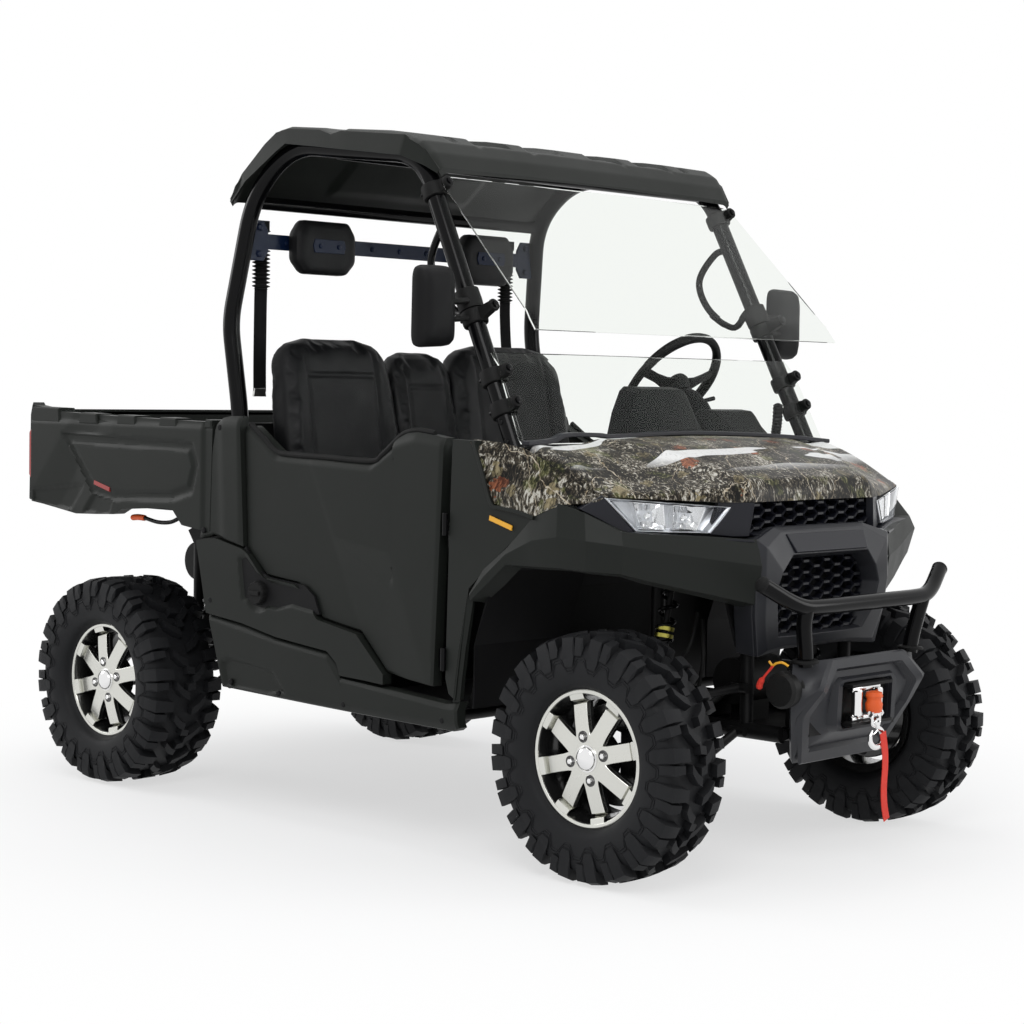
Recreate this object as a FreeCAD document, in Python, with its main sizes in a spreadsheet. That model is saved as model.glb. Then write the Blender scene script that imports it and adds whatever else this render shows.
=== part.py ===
import FreeCAD, Part
import math
import os
import Sketcher

from FreeCAD import Placement, Rotation, Vector

# Side by side utility vehicle: millimetres, +X to the front, +Y to the left, +Z up,
# origin on the ground under the middle of the whole machine.

SIZES = {
    # wheels
    "wheelbase": 1937,
    "tyre_radius": 315,
    "tyre_bead_radius": 160,
    "front_tyre_width": 205,
    "rear_tyre_width": 255,
    "front_rim_face": 667,
    "rear_rim_face": 698,
    "front_rim_width": 152,
    "rear_rim_width": 178,
    "rim_flange_radius": 169,
    "rim_flange": 6,
    "rim_wall": 5,
    "rim_dish": 28,
    "rim_spoke_thickness": 14,
    "rim_hub_radius": 62,
    "rim_spoke_width": 48,
    "rim_cap_radius": 34,
    "rim_cap_height": 24,
    "tyre_fit": 0.3,
    # overall
    "half_length": 1405,
    "body_half_width": 705,
    "panel_thickness": 35,
    "panel_gap": 7,
    "skin": 5,
    "overrun": 30,
    # doors
    "door_rear": -331,
    "door_front": 500,
    "door_bottom": 445,
    "door_top": 1108,
    "door_thickness": 38,
    "hinge_radius": 9,
    "hinge_length": 30,
    "hinge_clear": 5,
    "hinge_leaf": 42,
    "hinge_top": 872,
    "hinge_low": 520,
    # lower body
    "rocker_rear": -468,
    "rocker_front": 556,
    "rocker_bottom": 333,
    "rocker_top": 562,
    "quarter_rear": -520,
    "quarter_bottom": 520,
    "quarter_top": 1134,
    "fuel_cap_place": -241,
    "fuel_cap_height": 637,
    "fuel_cap_radius": 35,
    "fuel_cap_depth": 26,
    # front side panel and flare
    "side_panel_front": 812,
    "side_panel_bottom": 418,
    "side_panel_top_low": 893,
    "flare_peak": 905,
    "flare_peak_height": 929,
    "flare_corner": 1043,
    "flare_corner_half_width": 643,
    "flare_corner_height": 858,
    "flare_depth": 66,
    "flare_wall": 34,
    # front fascia
    "nose_front": 1222,
    "nose_half_width": 300,
    "nose_top": 864,
    "nose_bottom": 552,
    "nose_wall": 29,
    "upper_grille_top": 945,
    "upper_grille_half_width": 262,
    "upper_grille_front": 1166,
    "lower_grille_half_width": 224,
    "lower_grille_top": 810,
    "lower_grille_bottom": 603,
    "grille_thickness": 8,
    # headlamps
    "lamp_outer": 637,
    "lamp_top": 930,
    "lamp_bottom": 884,
    "lamp_front": 1150,
    "lamp_rear": 1000,
    "lamp_depth": 60,
    # bumper, guard and winch
    "bumper_front": 1378,
    "bumper_rear": 1230,
    "bumper_half_width": 270,
    "bumper_shoulder": 45,
    "bumper_top": 560,
    "bumper_bottom": 300,
    "bumper_window_half_width": 112,
    "bumper_window_top": 500,
    "bumper_window_bottom": 372,
    "bumper_wall": 26,
    "winch_plate_front": 1300,
    "winch_plate_inner": 110,
    "winch_plate_outer": 190,
    "guard_tube_radius": 21,
    "guard_front": 1335,
    "guard_height": 694,
    "guard_half_width": 383,
    "guard_bend_half_width": 300,
    "guard_post_half_width": 245,
    "guard_post_front": 1318,
    "winch_drum_radius": 30,
    "winch_motor_radius": 47,
    "winch_half_length": 330,
    "winch_place": 1290,
    "winch_height": 493,
    "fairlead_half_width": 92,
    "fairlead_height": 104,
    "fairlead_thickness": 22,
    "fairlead_middle": 436,
    "hook_radius": 24,
    "hook_wire": 12,
    "strap_width": 25,
    "strap_thickness": 2.4,
    "strap_length": 230,
    # hood
    "hood_front": 1166,
    "hood_front_height": 950,
    "hood_rear": 742,
    "hood_rear_height": 1084,
    "hood_half_width": 658,
    "hood_crown": 62,
    "hood_wall": 14,
    "hood_hinge_radius": 5,
    "hood_hinge_offset": 150,
    "hood_hinge_length": 20,
    "hood_side_rear": 566,
    # dash
    "dash_front": 716,
    "dash_rear": 480,
    "dash_top": 1072,
    "dash_bottom": 905,
    "dash_half_width": 600,
    "dash_wall": 30,
    "dash_hump_place": 620,
    "centre_hump_height": 150,
    "centre_hump_width": 270,
    "centre_hump_offset": 28,
    "driver_hump_height": 88,
    "driver_hump_width": 200,
    "driver_offset": 345,
    "dash_hump_depth": 120,
    # steering
    "steering_radius": 172,
    "steering_rim": 14,
    "steering_place": 392,
    "steering_height": 1250,
    "steering_tilt": 38,
    "steering_hub_radius": 42,
    "steering_hub_depth": 40,
    "column_radius": 24,
    "column_length": 250,
    "steering_gap": 0.3,
    "lever_radius": 13,
    "lever_height": 1195,
    "lever_place": 600,
    "lever_offset": 585,
    # windshields
    "windshield_half_width": 645,
    "windshield_thickness": 5,
    "upper_glass_top": 1785,
    "upper_glass_rear": 372,
    "upper_glass_bottom": 1424,
    "upper_glass_front": 727,
    "upper_glass_lip": 1376,
    "upper_glass_lip_front": 761,
    "lower_glass_top": 1320,
    "lower_glass_rear": 590,
    "lower_glass_fold": 1285,
    "lower_glass_fold_front": 622,
    "lower_glass_bottom": 1086,
    "lower_glass_front": 722,
    "clamp_radius": 34,
    "clamp_length": 38,
    "clamp_stem": 8,
    "upper_clamp_height": 1744,
    "prop_clamp_height": 1407,
    "prop_glass_height": 1462,
    "prop_reach": 40,
    "lower_clamp_top": 1253,
    "lower_clamp_low": 1171,
    # cage
    "cage_tube_radius": 25,
    "cage_bend": 120,
    "cage_base_half_width": 640,
    "cage_top_half_width": 603,
    "cage_front_foot": 783,
    "cage_front_foot_height": 870,
    "cage_front_top": 297,
    "cage_front_top_height": 1845,
    "cage_rear_top": -235,
    "cage_rear_top_height": 1900,
    "cage_rear_shoulder": -400,
    "cage_rear_shoulder_height": 1770,
    "cage_kink": -455,
    "cage_kink_height": 1405,
    "cage_waist": -405,
    "cage_waist_height": 1136,
    "cage_rear_foot": -405,
    "cage_rear_foot_height": 375,
    "headrest_bracket_width": 55,
    "headrest_bracket_height": 120,
    "header_radius": 19,
    # roof
    "roof_half_width": 650,
    "roof_rear": -484,
    "roof_front": 380,
    "roof_rear_height": 1768,
    "roof_peak_height": 1958,
    "roof_wall": 12,
    # headrests, bar, belts
    "headrest_bar_height": 1642,
    "headrest_bar_depth": 44,
    "headrest_bar_thickness": 8,
    "headrest_offset": 345,
    "headrest_width": 265,
    "headrest_height": 165,
    "headrest_depth": 62,
    "belt_offset": 520,
    "belt_width": 48,
    "belt_thickness": 2.4,
    "belt_boot_top": 1678,
    "belt_boot_bottom": 1505,
    "belt_bottom": 1195,
    # seats
    "seat_back_foot": -235,
    "seat_back_head": -330,
    "seat_back_depth": 92,
    "seat_back_top": 1370,
    "seat_middle_top": 1335,
    "seat_back_width": 440,
    "seat_middle_width": 280,
    "seat_offset": 370,
    "seat_cushion_front": 190,
    "seat_cushion_top": 800,
    # floor tub
    "floor_half_width": 600,
    "floor_wall": 8,
    "seat_base_rear": -430,
    "seat_base_front": 130,
    "seat_base_top": 700,
    "toe_board_foot": 500,
    "toe_board_head": 560,
    "toe_board_top": 700,
    "firewall": 640,
    "liner_rear": 572,
    "liner_bottom": 395,
    "liner_knee": 560,
    "liner_slope": 640,
    "liner_slope_height": 760,
    "liner_top_rear": 715,
    "liner_front": 900,
    "liner_inner": 305,
    "liner_outer": 662,
    # frame
    "rail_offset": 220,
    "rail_radius": 21,
    "rail_height": 360,
    "rail_front": 1240,
    "rail_rear": -1200,
    "outrigger_middle": 40,
    "outrigger_front": 470,
    "post_offset": 215,
    "skid_thickness": 4,
    "skid_front": 1120,
    "skid_rear": -1060,
    "frame_tube": 18,
    "cross_tube": 15,
    "seat_post": -520,
    "bed_rail_height": 770,
    "front_post_top": 820,
    "rack_housing_half_length": 120,
    "rack_housing_size": 34,
    "rack_gap": 0.3,
    "engine_mount_length": 40,
    "engine_mount_thickness": 14,
    "body_boss_radius": 11,
    "receiver_inner": 51,
    "receiver_outer": 64,
    "receiver_length": 160,
    "receiver_rear": -1360,
    "receiver_height": 430,
    "receiver_pin_radius": 8.25,
    "receiver_pin_setback": 50,
    # suspension
    "kingpin_offset": 490,
    "lower_ball_height": 238,
    "upper_ball_height": 432,
    "ball_radius": 19,
    "ball_height": 26,
    "pin_gap": 0.3,
    "arm_tube": 12,
    "arm_spread": 150,
    "arm_elbow_spread": 75,
    "arm_elbow_offset": 430,
    "upper_arm_inner_height": 470,
    "shock_radius": 27,
    "shock_rod_radius": 9,
    "shock_setback": 45,
    "shock_top_offset": 270,
    "shock_eye_radius": 12,
    "shock_foot_offset": 395,
    "knuckle_half_width": 20,
    "spindle_radius": 26,
    "hub_radius": 55,
    "hub_thickness": 16,
    "steer_arm": 100,
    "steer_arm_thickness": 9,
    "tie_rod_radius": 9,
    "tie_rod_height": 402,
    "tie_rod_offset": 470,
    "half_shaft_radius": 13,
    "diff_radius": 62,
    "diff_height": 458,
    "diff_half_width": 85,
    # engine, exhaust, radiator
    "engine_front": -480,
    "engine_rear": -860,
    "engine_half_width": 170,
    "engine_lift": 40,
    "engine_top": 690,
    "muffler_radius": 62,
    "muffler_place": -1190,
    "muffler_height": 640,
    "muffler_half_length": 170,
    "exhaust_pipe_radius": 20,
    "exhaust_pipe_offset": 90,
    "exhaust_pipe_height": 600,
    "radiator_depth": 36,
    "radiator_half_width": 185,
    "radiator_bottom": 600,
    "radiator_top": 830,
    # bed
    "bed_front": -452,
    "bed_rear": -1350,
    "bed_half_width": 705,
    "bed_top": 1157,
    "bed_bottom": 812,
    "bed_floor": 872,
    "bed_wall": 42,
    "bed_groove_depth": 6,
    "bed_groove_width": 30,
    "bed_groove_margin": 12,
    "bed_sill_rear": -1405,
    "bed_pivot_place": -1165,
    "bed_channel_half_width": 26,
    "tailgate_thickness": 34,
    "tailgate_bottom": 884,
    "tailgate_gap": 6,
    "tailgate_pivot_rise": 12,
    "tailgate_pin_radius": 8,
    "tailgate_pin_length": 22,
    "tailgate_sill_gap": 14,
    "tail_lamp_width": 34,
    "tail_lamp_top": 1074,
    "tail_lamp_bottom": 916,
    "tail_lamp_depth": 16,
    "latch_radius": 7,
    "latch_rear": -868,
    "latch_front": -660,
    "latch_offset": 650,
    "latch_height": 832,
    # mirrors
    "mirror_offset": 748,
    "mirror_place": 500,
    "mirror_height": 1435,
    "mirror_width": 130,
    "mirror_tall": 215,
    "mirror_depth": 52,
    "mirror_arm_radius": 9,
}

doc = FreeCAD.newDocument("side_by_side")
sheet = doc.addObject("Spreadsheet::Sheet", "Sizes")
for row, (name, number) in enumerate(SIZES.items(), start=1):
    sheet.set(f"A{row}", name)
    sheet.set(f"B{row}", str(number))
    sheet.setAlias(f"B{row}", name)
doc.recompute()

PARTS = []
RIGHT = -1
LEFT = 1


class Length:
    """A length read from the sheet, with the formula that a sketch binds to."""

    def __init__(self, value, formula):
        self.value = float(value)
        self.formula = formula

    def join(self, other, sign, value):
        """The length that a sign makes of this one and another."""
        right = other.formula if isinstance(other, Length) else repr(other)
        return Length(value, f"({self.formula} {sign} {right})")

    def __add__(self, other):
        return self.join(other, "+", self.value + number_of(other))

    def __sub__(self, other):
        return self.join(other, "-", self.value - number_of(other))

    def __mul__(self, other):
        return self.join(other, "*", self.value * number_of(other))

    def __truediv__(self, other):
        return self.join(other, "/", self.value / number_of(other))

    def __radd__(self, other):
        return self + other

    def __rmul__(self, other):
        return self * other

    def __neg__(self):
        return self * -1

    def __float__(self):
        return self.value


def number_of(length):
    """The plain number of a length or of a number."""
    return length.value if isinstance(length, Length) else float(length)


def formula_of(length):
    """The formula of a length or of a number."""
    return length.formula if isinstance(length, Length) else repr(float(length))


class Sheet:
    """The sheet's sizes by name."""

    def __getattr__(self, alias):
        return Length(getattr(sheet, alias), "Sizes." + alias)


s = Sheet()


def between(low, high, share):
    """The place at a share of the way from low to high."""
    return low + (high - low) * share


def placed(shares, x0, x1, z0, z1):
    """Outline points from shares of a box's two sides."""
    return [(between(x0, x1, across), between(z0, z1, up)) for across, up in shares]


def vector(x, y, z):
    """A point of plain numbers."""
    return Vector(number_of(x), number_of(y), number_of(z))


def origin_plane(body, role):
    """The body's own origin plane with this role."""
    return [item for item in body.Origin.OriginFeatures if item.Role == role][0]


def new_body(name):
    """A part design body that becomes one sub-part."""
    body = doc.addObject("PartDesign::Body", name)
    body.Label = name
    return body


def keep(item, name):
    """List a finished object as the sub-part of this name."""
    item.Label = name
    PARTS.append(item)
    return item


def closed_sketch(body, name, role, loops, offset=0):
    """A sketch of closed loops of points, each point bound to the sheet."""
    sketch = body.newObject("Sketcher::SketchObject", name)
    sketch.AttachmentSupport = (origin_plane(body, role), [""])
    sketch.MapMode = "FlatFace"
    sketch.setExpression("AttachmentOffset.Base.z", formula_of(offset))
    for loop in loops:
        first = sketch.GeometryCount
        count = len(loop)
        spots = [Vector(number_of(x), number_of(y), 0) for x, y in loop]
        lines = [Part.LineSegment(spots[i], spots[(i + 1) % count]) for i in range(count)]
        sketch.addGeometry(lines, False)
        joints = [Sketcher.Constraint("Coincident", first + i, 2, first + (i + 1) % count, 1)
                  for i in range(count)]
        sketch.addConstraint(joints)
        for i, (x, y) in enumerate(loop):
            for kind, length in (("DistanceX", x), ("DistanceY", y)):
                rule = Sketcher.Constraint(kind, -1, 1, first + i, 1, number_of(length))
                place = sketch.addConstraint(rule)
                sketch.setExpression(f"Constraints[{place}]", formula_of(length))
    return sketch


def pad(body, name, role, loops, start, length, backward=False):
    """A pad of closed loops that starts at an offset of the plane."""
    sketch = closed_sketch(body, name + "_sketch", role, loops, start)
    feature = body.newObject("PartDesign::Pad", name)
    feature.Profile = sketch
    feature.Reversed = backward
    feature.setExpression("Length", formula_of(length))
    return feature


def pocket(body, name, role, loops, start, length, backward=False):
    """A pocket of closed loops that starts at an offset of the plane."""
    sketch = closed_sketch(body, name + "_sketch", role, loops, start)
    feature = body.newObject("PartDesign::Pocket", name)
    feature.Profile = sketch
    feature.Reversed = backward
    feature.setExpression("Length", formula_of(length))
    return feature


def rectangle(x0, x1, y0, y1):
    """The four corners between two pairs of limits."""
    return [(x0, y0), (x1, y0), (x1, y1), (x0, y1)]


def side_plate(name, outline, side, outer, thickness):
    """An upright plate of the side view's outline, outer face at its distance from the middle."""
    body = new_body(name)
    start = -side * outer
    pad(body, name + "_pad", "XZ_Plane", [outline], start, thickness, side == RIGHT)
    return body


def across_profile(name, outline, half_width):
    """A side profile that runs across the machine."""
    body = new_body(name)
    pad(body, name + "_pad", "XZ_Plane", [outline], -half_width, half_width * 2)
    return body


def upright_cylinder(name, x, y, low, radius, height):
    """An upright round bar bound to the sheet."""
    item = doc.addObject("Part::Cylinder", name)
    for field, length in (("Radius", radius), ("Height", height), ("Placement.Base.x", x),
                          ("Placement.Base.y", y), ("Placement.Base.z", low)):
        item.setExpression(field, formula_of(length))
    return item


def fusion(name, pieces):
    """Several document objects joined in one."""
    item = doc.addObject("Part::MultiFuse", name)
    item.Shapes = pieces
    return item


def removal(name, base, tool):
    """One document object less another."""
    item = doc.addObject("Part::Cut", name)
    item.Base = base
    item.Tool = tool
    return item


def shape_feature(name, shape):
    """An object that holds a shape worked out from the sheet's sizes."""
    item = doc.addObject("Part::Feature", name)
    item.Shape = shape
    item.Label = name
    return item


def box(x0, x1, y0, y1, z0, z1):
    """A block between three pairs of limits."""
    low = vector(x0, y0, z0)
    high = vector(x1, y1, z1)
    size = high - low
    return Part.makeBox(size.x, size.y, size.z, low)


def rod(start, end, radius):
    """A round bar between two points."""
    run = end - start
    return Part.makeCylinder(number_of(radius), run.Length, start, run)


def bent_tube(points, radius, bend):
    """A round tube along straight runs joined by tangent arcs of one radius."""
    edges = []
    last = points[0]
    for before, corner, after in zip(points, points[1:], points[2:]):
        back = (before - corner).normalize()
        ahead = (after - corner).normalize()
        half = back.getAngle(ahead) / 2
        setback = bend / math.tan(half)
        middle = (back + ahead).normalize()
        centre = corner + middle * (bend / math.sin(half))
        first = corner + back * setback
        second = corner + ahead * setback
        top = centre - middle * bend
        edges.append(Part.LineSegment(last, first).toShape())
        edges.append(Part.Arc(first, top, second).toShape())
        last = second
    edges.append(Part.LineSegment(last, points[-1]).toShape())
    path = Part.Wire(edges)
    ring = Part.Wire(Part.makeCircle(number_of(radius), points[0], points[1] - points[0]))
    return path.makePipeShell([ring], True, False)


def fused(shapes):
    """One shape of several that touch or overlap."""
    whole = shapes[0].multiFuse(shapes[1:])
    return whole.removeSplitter()


def group(shapes):
    """Several solids that stay apart in one sub-part."""
    return Part.makeCompound(shapes)


def faceted_ring(profile, count, middle):
    """A ring of flat facets: a closed profile of (radius, across) pairs turned about a Y axis."""
    rings = []
    for step in range(count):
        angle = 2 * math.pi * step / count
        rings.append([Vector(middle.x + r * math.cos(angle), middle.y + across, middle.z + r * math.sin(angle))
                      for r, across in profile])
    faces = []
    for step in range(count):
        one, two = rings[step], rings[(step + 1) % count]
        for i in range(len(profile)):
            j = (i + 1) % len(profile)
            corners = [one[i], one[j], two[j], two[i], one[i]]
            faces.append(Part.Face(Part.makePolygon(corners)))
    solid = Part.Solid(Part.Shell(faces))
    if solid.Volume < 0:
        solid.reverse()
    return solid


def loft(sections, ruled=True):
    """A solid through closed polygons of points."""
    wires = [Part.makePolygon(points + [points[0]]) for points in sections]
    return Part.makeLoft(wires, True, ruled)



axle_front = s.wheelbase / 2
axle_rear = -s.wheelbase / 2
AXLES = {"front": axle_front, "rear": axle_rear}
SIDES = {"right": RIGHT, "left": LEFT}

# share of the tyre's height from flange to lug tips, and share of its half width
TYRE_PROFILE_SHARES = [(0.18, 0.94), (0.48, 1.0), (0.78, 0.97), (0.93, 0.90), (1.0, 0.78)]
TYRE_FACETS = 36
SPOKES = 8


def wheel_middle(end, side):
    """The middle of a wheel."""
    face = getattr(s, end + "_rim_face")
    width = getattr(s, end + "_rim_width")
    return vector(AXLES[end], (face - width / 2) * side, s.tyre_radius)


def tyre(end, side_name):
    """A tyre as a ring of flat facets from its beads out to the lug tips."""
    rim_half = float(getattr(s, end + "_rim_width")) / 2
    half = float(getattr(s, end + "_tyre_width")) / 2
    bead = rim_half - float(s.rim_flange) - float(s.tyre_fit)
    foot = float(s.tyre_bead_radius) / math.cos(math.pi / TYRE_FACETS)
    flange = (float(s.rim_flange_radius) + float(s.tyre_fit)) / math.cos(math.pi / TYRE_FACETS)
    rise = float(s.tyre_radius) - flange
    flank = [(foot, bead), (flange, bead)]
    flank += [(flange + rise * up, half * out) for up, out in TYRE_PROFILE_SHARES]
    profile = flank + [(radius, -across) for radius, across in reversed(flank)]
    name = f"tyre_{end}_{side_name}"
    ring = faceted_ring(profile, TYRE_FACETS, wheel_middle(end, SIDES[side_name]))
    return keep(shape_feature(name, ring), name)


def ring_along_y(outer, inner, start, length):
    """A round tube wall along +Y."""
    axis = Vector(0, 1, 0)
    whole = Part.makeCylinder(outer, length, Vector(0, start, 0), axis)
    return whole.cut(Part.makeCylinder(inner, length, Vector(0, start, 0), axis))


def rim(end, side_name):
    """An eight-spoke wheel: barrel with flanges, dished spokes, hub and domed cap."""
    half = float(getattr(s, end + "_rim_width")) / 2
    barrel = float(s.tyre_bead_radius) - float(s.tyre_fit)
    inner = barrel - float(s.rim_wall)
    flange = float(s.rim_flange)
    pieces = [ring_along_y(barrel, inner, -half, 2 * half)]
    pieces.append(ring_along_y(float(s.rim_flange_radius), inner, -half, flange))
    pieces.append(ring_along_y(float(s.rim_flange_radius), inner, half - flange, flange))
    thick = float(s.rim_spoke_thickness)
    face = half - float(s.rim_dish)
    width = float(s.rim_spoke_width)
    reach = (barrel + inner) / 2
    for turn in range(SPOKES):
        spoke = Part.makeBox(reach, thick, width, Vector(0, face - thick, -width / 2))
        pieces.append(spoke.rotate(Vector(), Vector(0, 1, 0), 360 / SPOKES * turn))
    forward = Vector(0, 1, 0)
    pieces.append(Part.makeCylinder(float(s.rim_hub_radius), thick, Vector(0, face - thick, 0), forward))
    cap = Part.makeCone(float(s.rim_cap_radius), float(s.rim_cap_radius) / 2, float(s.rim_cap_height),
                        Vector(0, face, 0), forward)
    pieces.append(cap)
    whole = fused(pieces)
    if SIDES[side_name] == RIGHT:
        whole.rotate(Vector(), Vector(0, 0, 1), 180)
    whole.translate(wheel_middle(end, SIDES[side_name]))
    name = f"rim_{end}_{side_name}"
    return keep(shape_feature(name, whole), name)


def hub_face(end):
    """Distance from the middle plane to the wheel's mounting face."""
    return float(getattr(s, end + "_rim_face")) - float(s.rim_dish) - float(s.rim_spoke_thickness)


def upright(end, side):
    """The solids of a knuckle or carrier: upright, spindle and wheel hub."""
    x = float(AXLES[end])
    y = float(s.kingpin_offset)
    half = float(s.knuckle_half_width)
    gap = float(s.pin_gap)
    low = float(s.lower_ball_height) + gap
    high = float(s.upper_ball_height) - gap
    centre = float(s.tyre_radius)
    face = hub_face(end)
    outward = Vector(0, 1, 0)
    pieces = [box(x - half, x + half, y - half, y + half, low, high)]
    pieces.append(rod(Vector(x, y, centre), Vector(x, face, centre), s.spindle_radius))
    thick = float(s.hub_thickness)
    pieces.append(Part.makeCylinder(float(s.hub_radius), thick, Vector(x, face - thick, centre), outward))
    return pieces


def to_side(shape, side):
    """A shape built on the left, moved over to its side."""
    return shape.mirror(Vector(), Vector(0, 1, 0)) if side == RIGHT else shape


def knuckle(side_name):
    """A steering knuckle with its steering arm behind the axle."""
    pieces = upright("front", LEFT)
    x = float(axle_front)
    y = float(s.kingpin_offset)
    half = float(s.knuckle_half_width)
    eye_top = float(s.tie_rod_height) + float(s.ball_height) / 2
    low = eye_top + float(s.rack_gap)
    high = low + float(s.steer_arm_thickness)
    inner = float(s.tie_rod_offset)
    arm = box(x - float(s.steer_arm), x, inner - half / 2, y, low, high)
    eye = Part.makeCylinder(float(s.ball_radius) * 0.8, high - low, Vector(x - float(s.steer_arm), inner, low))
    name = f"knuckle_{side_name}"
    whole = to_side(fused(pieces + [arm, eye]), SIDES[side_name])
    return keep(shape_feature(name, whole), name)


def lower_pivot():
    """How far out the lower arms' bushes lie, beside the rails."""
    return float(s.rail_offset) + float(s.rail_radius) + float(s.arm_tube) + float(s.pin_gap)


def upper_pivot():
    """How far out the upper arms' bushes lie, beside the posts."""
    return float(s.post_offset) + float(s.frame_tube) + float(s.arm_tube) + float(s.pin_gap)


def arm_pieces(end, pivot, inner_height, ball_low):
    """One left suspension arm: two bent legs from the frame to a ball eye on the kingpin line."""
    x = float(AXLES[end])
    ball_middle = ball_low + float(s.ball_height) / 2
    ball = Vector(x, float(s.kingpin_offset), ball_middle)
    pieces = [Part.makeCylinder(float(s.ball_radius), float(s.ball_height),
                                Vector(x, float(s.kingpin_offset), ball_low))]
    for way in (-1, 1):
        root = Vector(x + way * float(s.arm_spread), pivot, inner_height)
        elbow = Vector(x + way * float(s.arm_elbow_spread), float(s.arm_elbow_offset), ball_middle)
        pieces.append(rod(root, elbow, s.arm_tube))
        pieces.append(Part.makeSphere(float(s.arm_tube), elbow))
        pieces.append(rod(elbow, ball, s.arm_tube))
        bush = float(s.ball_height)
        pieces.append(rod(root - Vector(bush, 0, 0), root + Vector(bush, 0, 0), s.arm_tube))
    return pieces


def shock_foot(end):
    """The foot of a left shock, on the lower arm's cross tube."""
    way = -1 if end == "front" else 1
    pivot = lower_pivot()
    share = (float(s.shock_foot_offset) - pivot) / (float(s.arm_elbow_offset) - pivot)
    ball_middle = float(s.lower_ball_height) - float(s.ball_height) / 2
    height = float(s.rail_height) + (ball_middle - float(s.rail_height)) * share
    return Vector(float(AXLES[end]) + way * float(s.shock_setback), float(s.shock_foot_offset), height)


def suspension(end):
    """Upper and lower arms of both sides of one axle, with carriers at the rear."""
    lower = arm_pieces(end, lower_pivot(), float(s.rail_height), float(s.lower_ball_height) - float(s.ball_height))
    foot = shock_foot(end)
    x = float(AXLES[end])
    reach = float(s.arm_elbow_spread) + float(s.arm_tube)
    lower.append(rod(Vector(x - reach, foot.y, foot.z), Vector(x + reach, foot.y, foot.z), s.arm_tube))
    upper = arm_pieces(end, upper_pivot(), float(s.upper_arm_inner_height), float(s.upper_ball_height))
    solids = [fused(lower), fused(upper)]
    if end == "rear":
        solids.append(fused(upright("rear", LEFT)))
    both = solids + [to_side(solid, RIGHT) for solid in solids]
    name = f"{end}_suspension"
    return keep(shape_feature(name, group(both)), name)


def shocks():
    """Four coil shocks, plain cylinders on their rods."""
    solids = []
    for end in AXLES:
        foot = shock_foot(end)
        beam = float(s.front_post_top if end == "front" else s.bed_rail_height)
        eye = float(s.shock_eye_radius)
        head = Vector(foot.x, float(s.shock_top_offset), beam - float(s.cross_tube) - eye - float(s.pin_gap))
        run = (head - foot).normalize()
        start = foot + run * (float(s.arm_tube) + float(s.pin_gap))
        spring_start = start + run * float(s.shock_radius)
        spring_end = head - run * float(s.shock_radius)
        along = Vector(eye, 0, 0)
        whole = fused([rod(start, head, s.shock_rod_radius), rod(spring_start, spring_end, s.shock_radius),
                       rod(head - along, head + along, eye)])
        solids += [whole, to_side(whole, RIGHT)]
    return keep(shape_feature("shocks", group(solids)), "shocks")


def drive_shafts():
    """Front and rear final drives with their half shafts and the long shaft between them."""
    pieces = []
    height = float(s.diff_height)
    radius = float(s.diff_radius)
    half = float(s.diff_half_width)
    for end, axle in AXLES.items():
        x = float(axle)
        pieces.append(rod(Vector(x, -half, height), Vector(x, half, height), radius))
        pieces.append(box(x - radius / 2, x + radius / 2, -half / 2, half / 2, skid_top() + float(s.pin_gap), height))
        turning = float(s.knuckle_half_width) * math.sqrt(2)
        inner = float(s.kingpin_offset) - turning - float(s.half_shaft_radius) / 2
        for side in (RIGHT, LEFT):
            run_start = Vector(x, side * half / 2, height)
            run_end = Vector(x, side * inner, float(s.tyre_radius))
            pieces.append(rod(run_start, run_end, s.half_shaft_radius))
    engine_end = float(s.engine_rear) - float(s.pin_gap)
    pieces.append(rod(Vector(float(axle_rear), 0, height), Vector(engine_end, 0, height), s.half_shaft_radius))
    return keep(shape_feature("drive_shafts", fused(pieces)), "drive_shafts")


def tie_rod():
    """The steering rack bar with an eye under each steering arm."""
    x = float(axle_front) - float(s.steer_arm)
    height = float(s.tie_rod_height)
    end = float(s.tie_rod_offset)
    low = height - float(s.ball_height) / 2
    pieces = [rod(Vector(x, -end, height), Vector(x, end, height), s.tie_rod_radius)]
    for side in (RIGHT, LEFT):
        pieces.append(Part.makeCylinder(float(s.ball_radius) * 0.8, float(s.ball_height),
                                        Vector(x, side * end, low)))
    return keep(shape_feature("tie_rod", fused(pieces)), "tie_rod")


def skid_top():
    """The upper face of the skid plate, which lies in the rails' lower half."""
    return float(s.rail_height) - float(s.rail_radius) / 2


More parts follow.
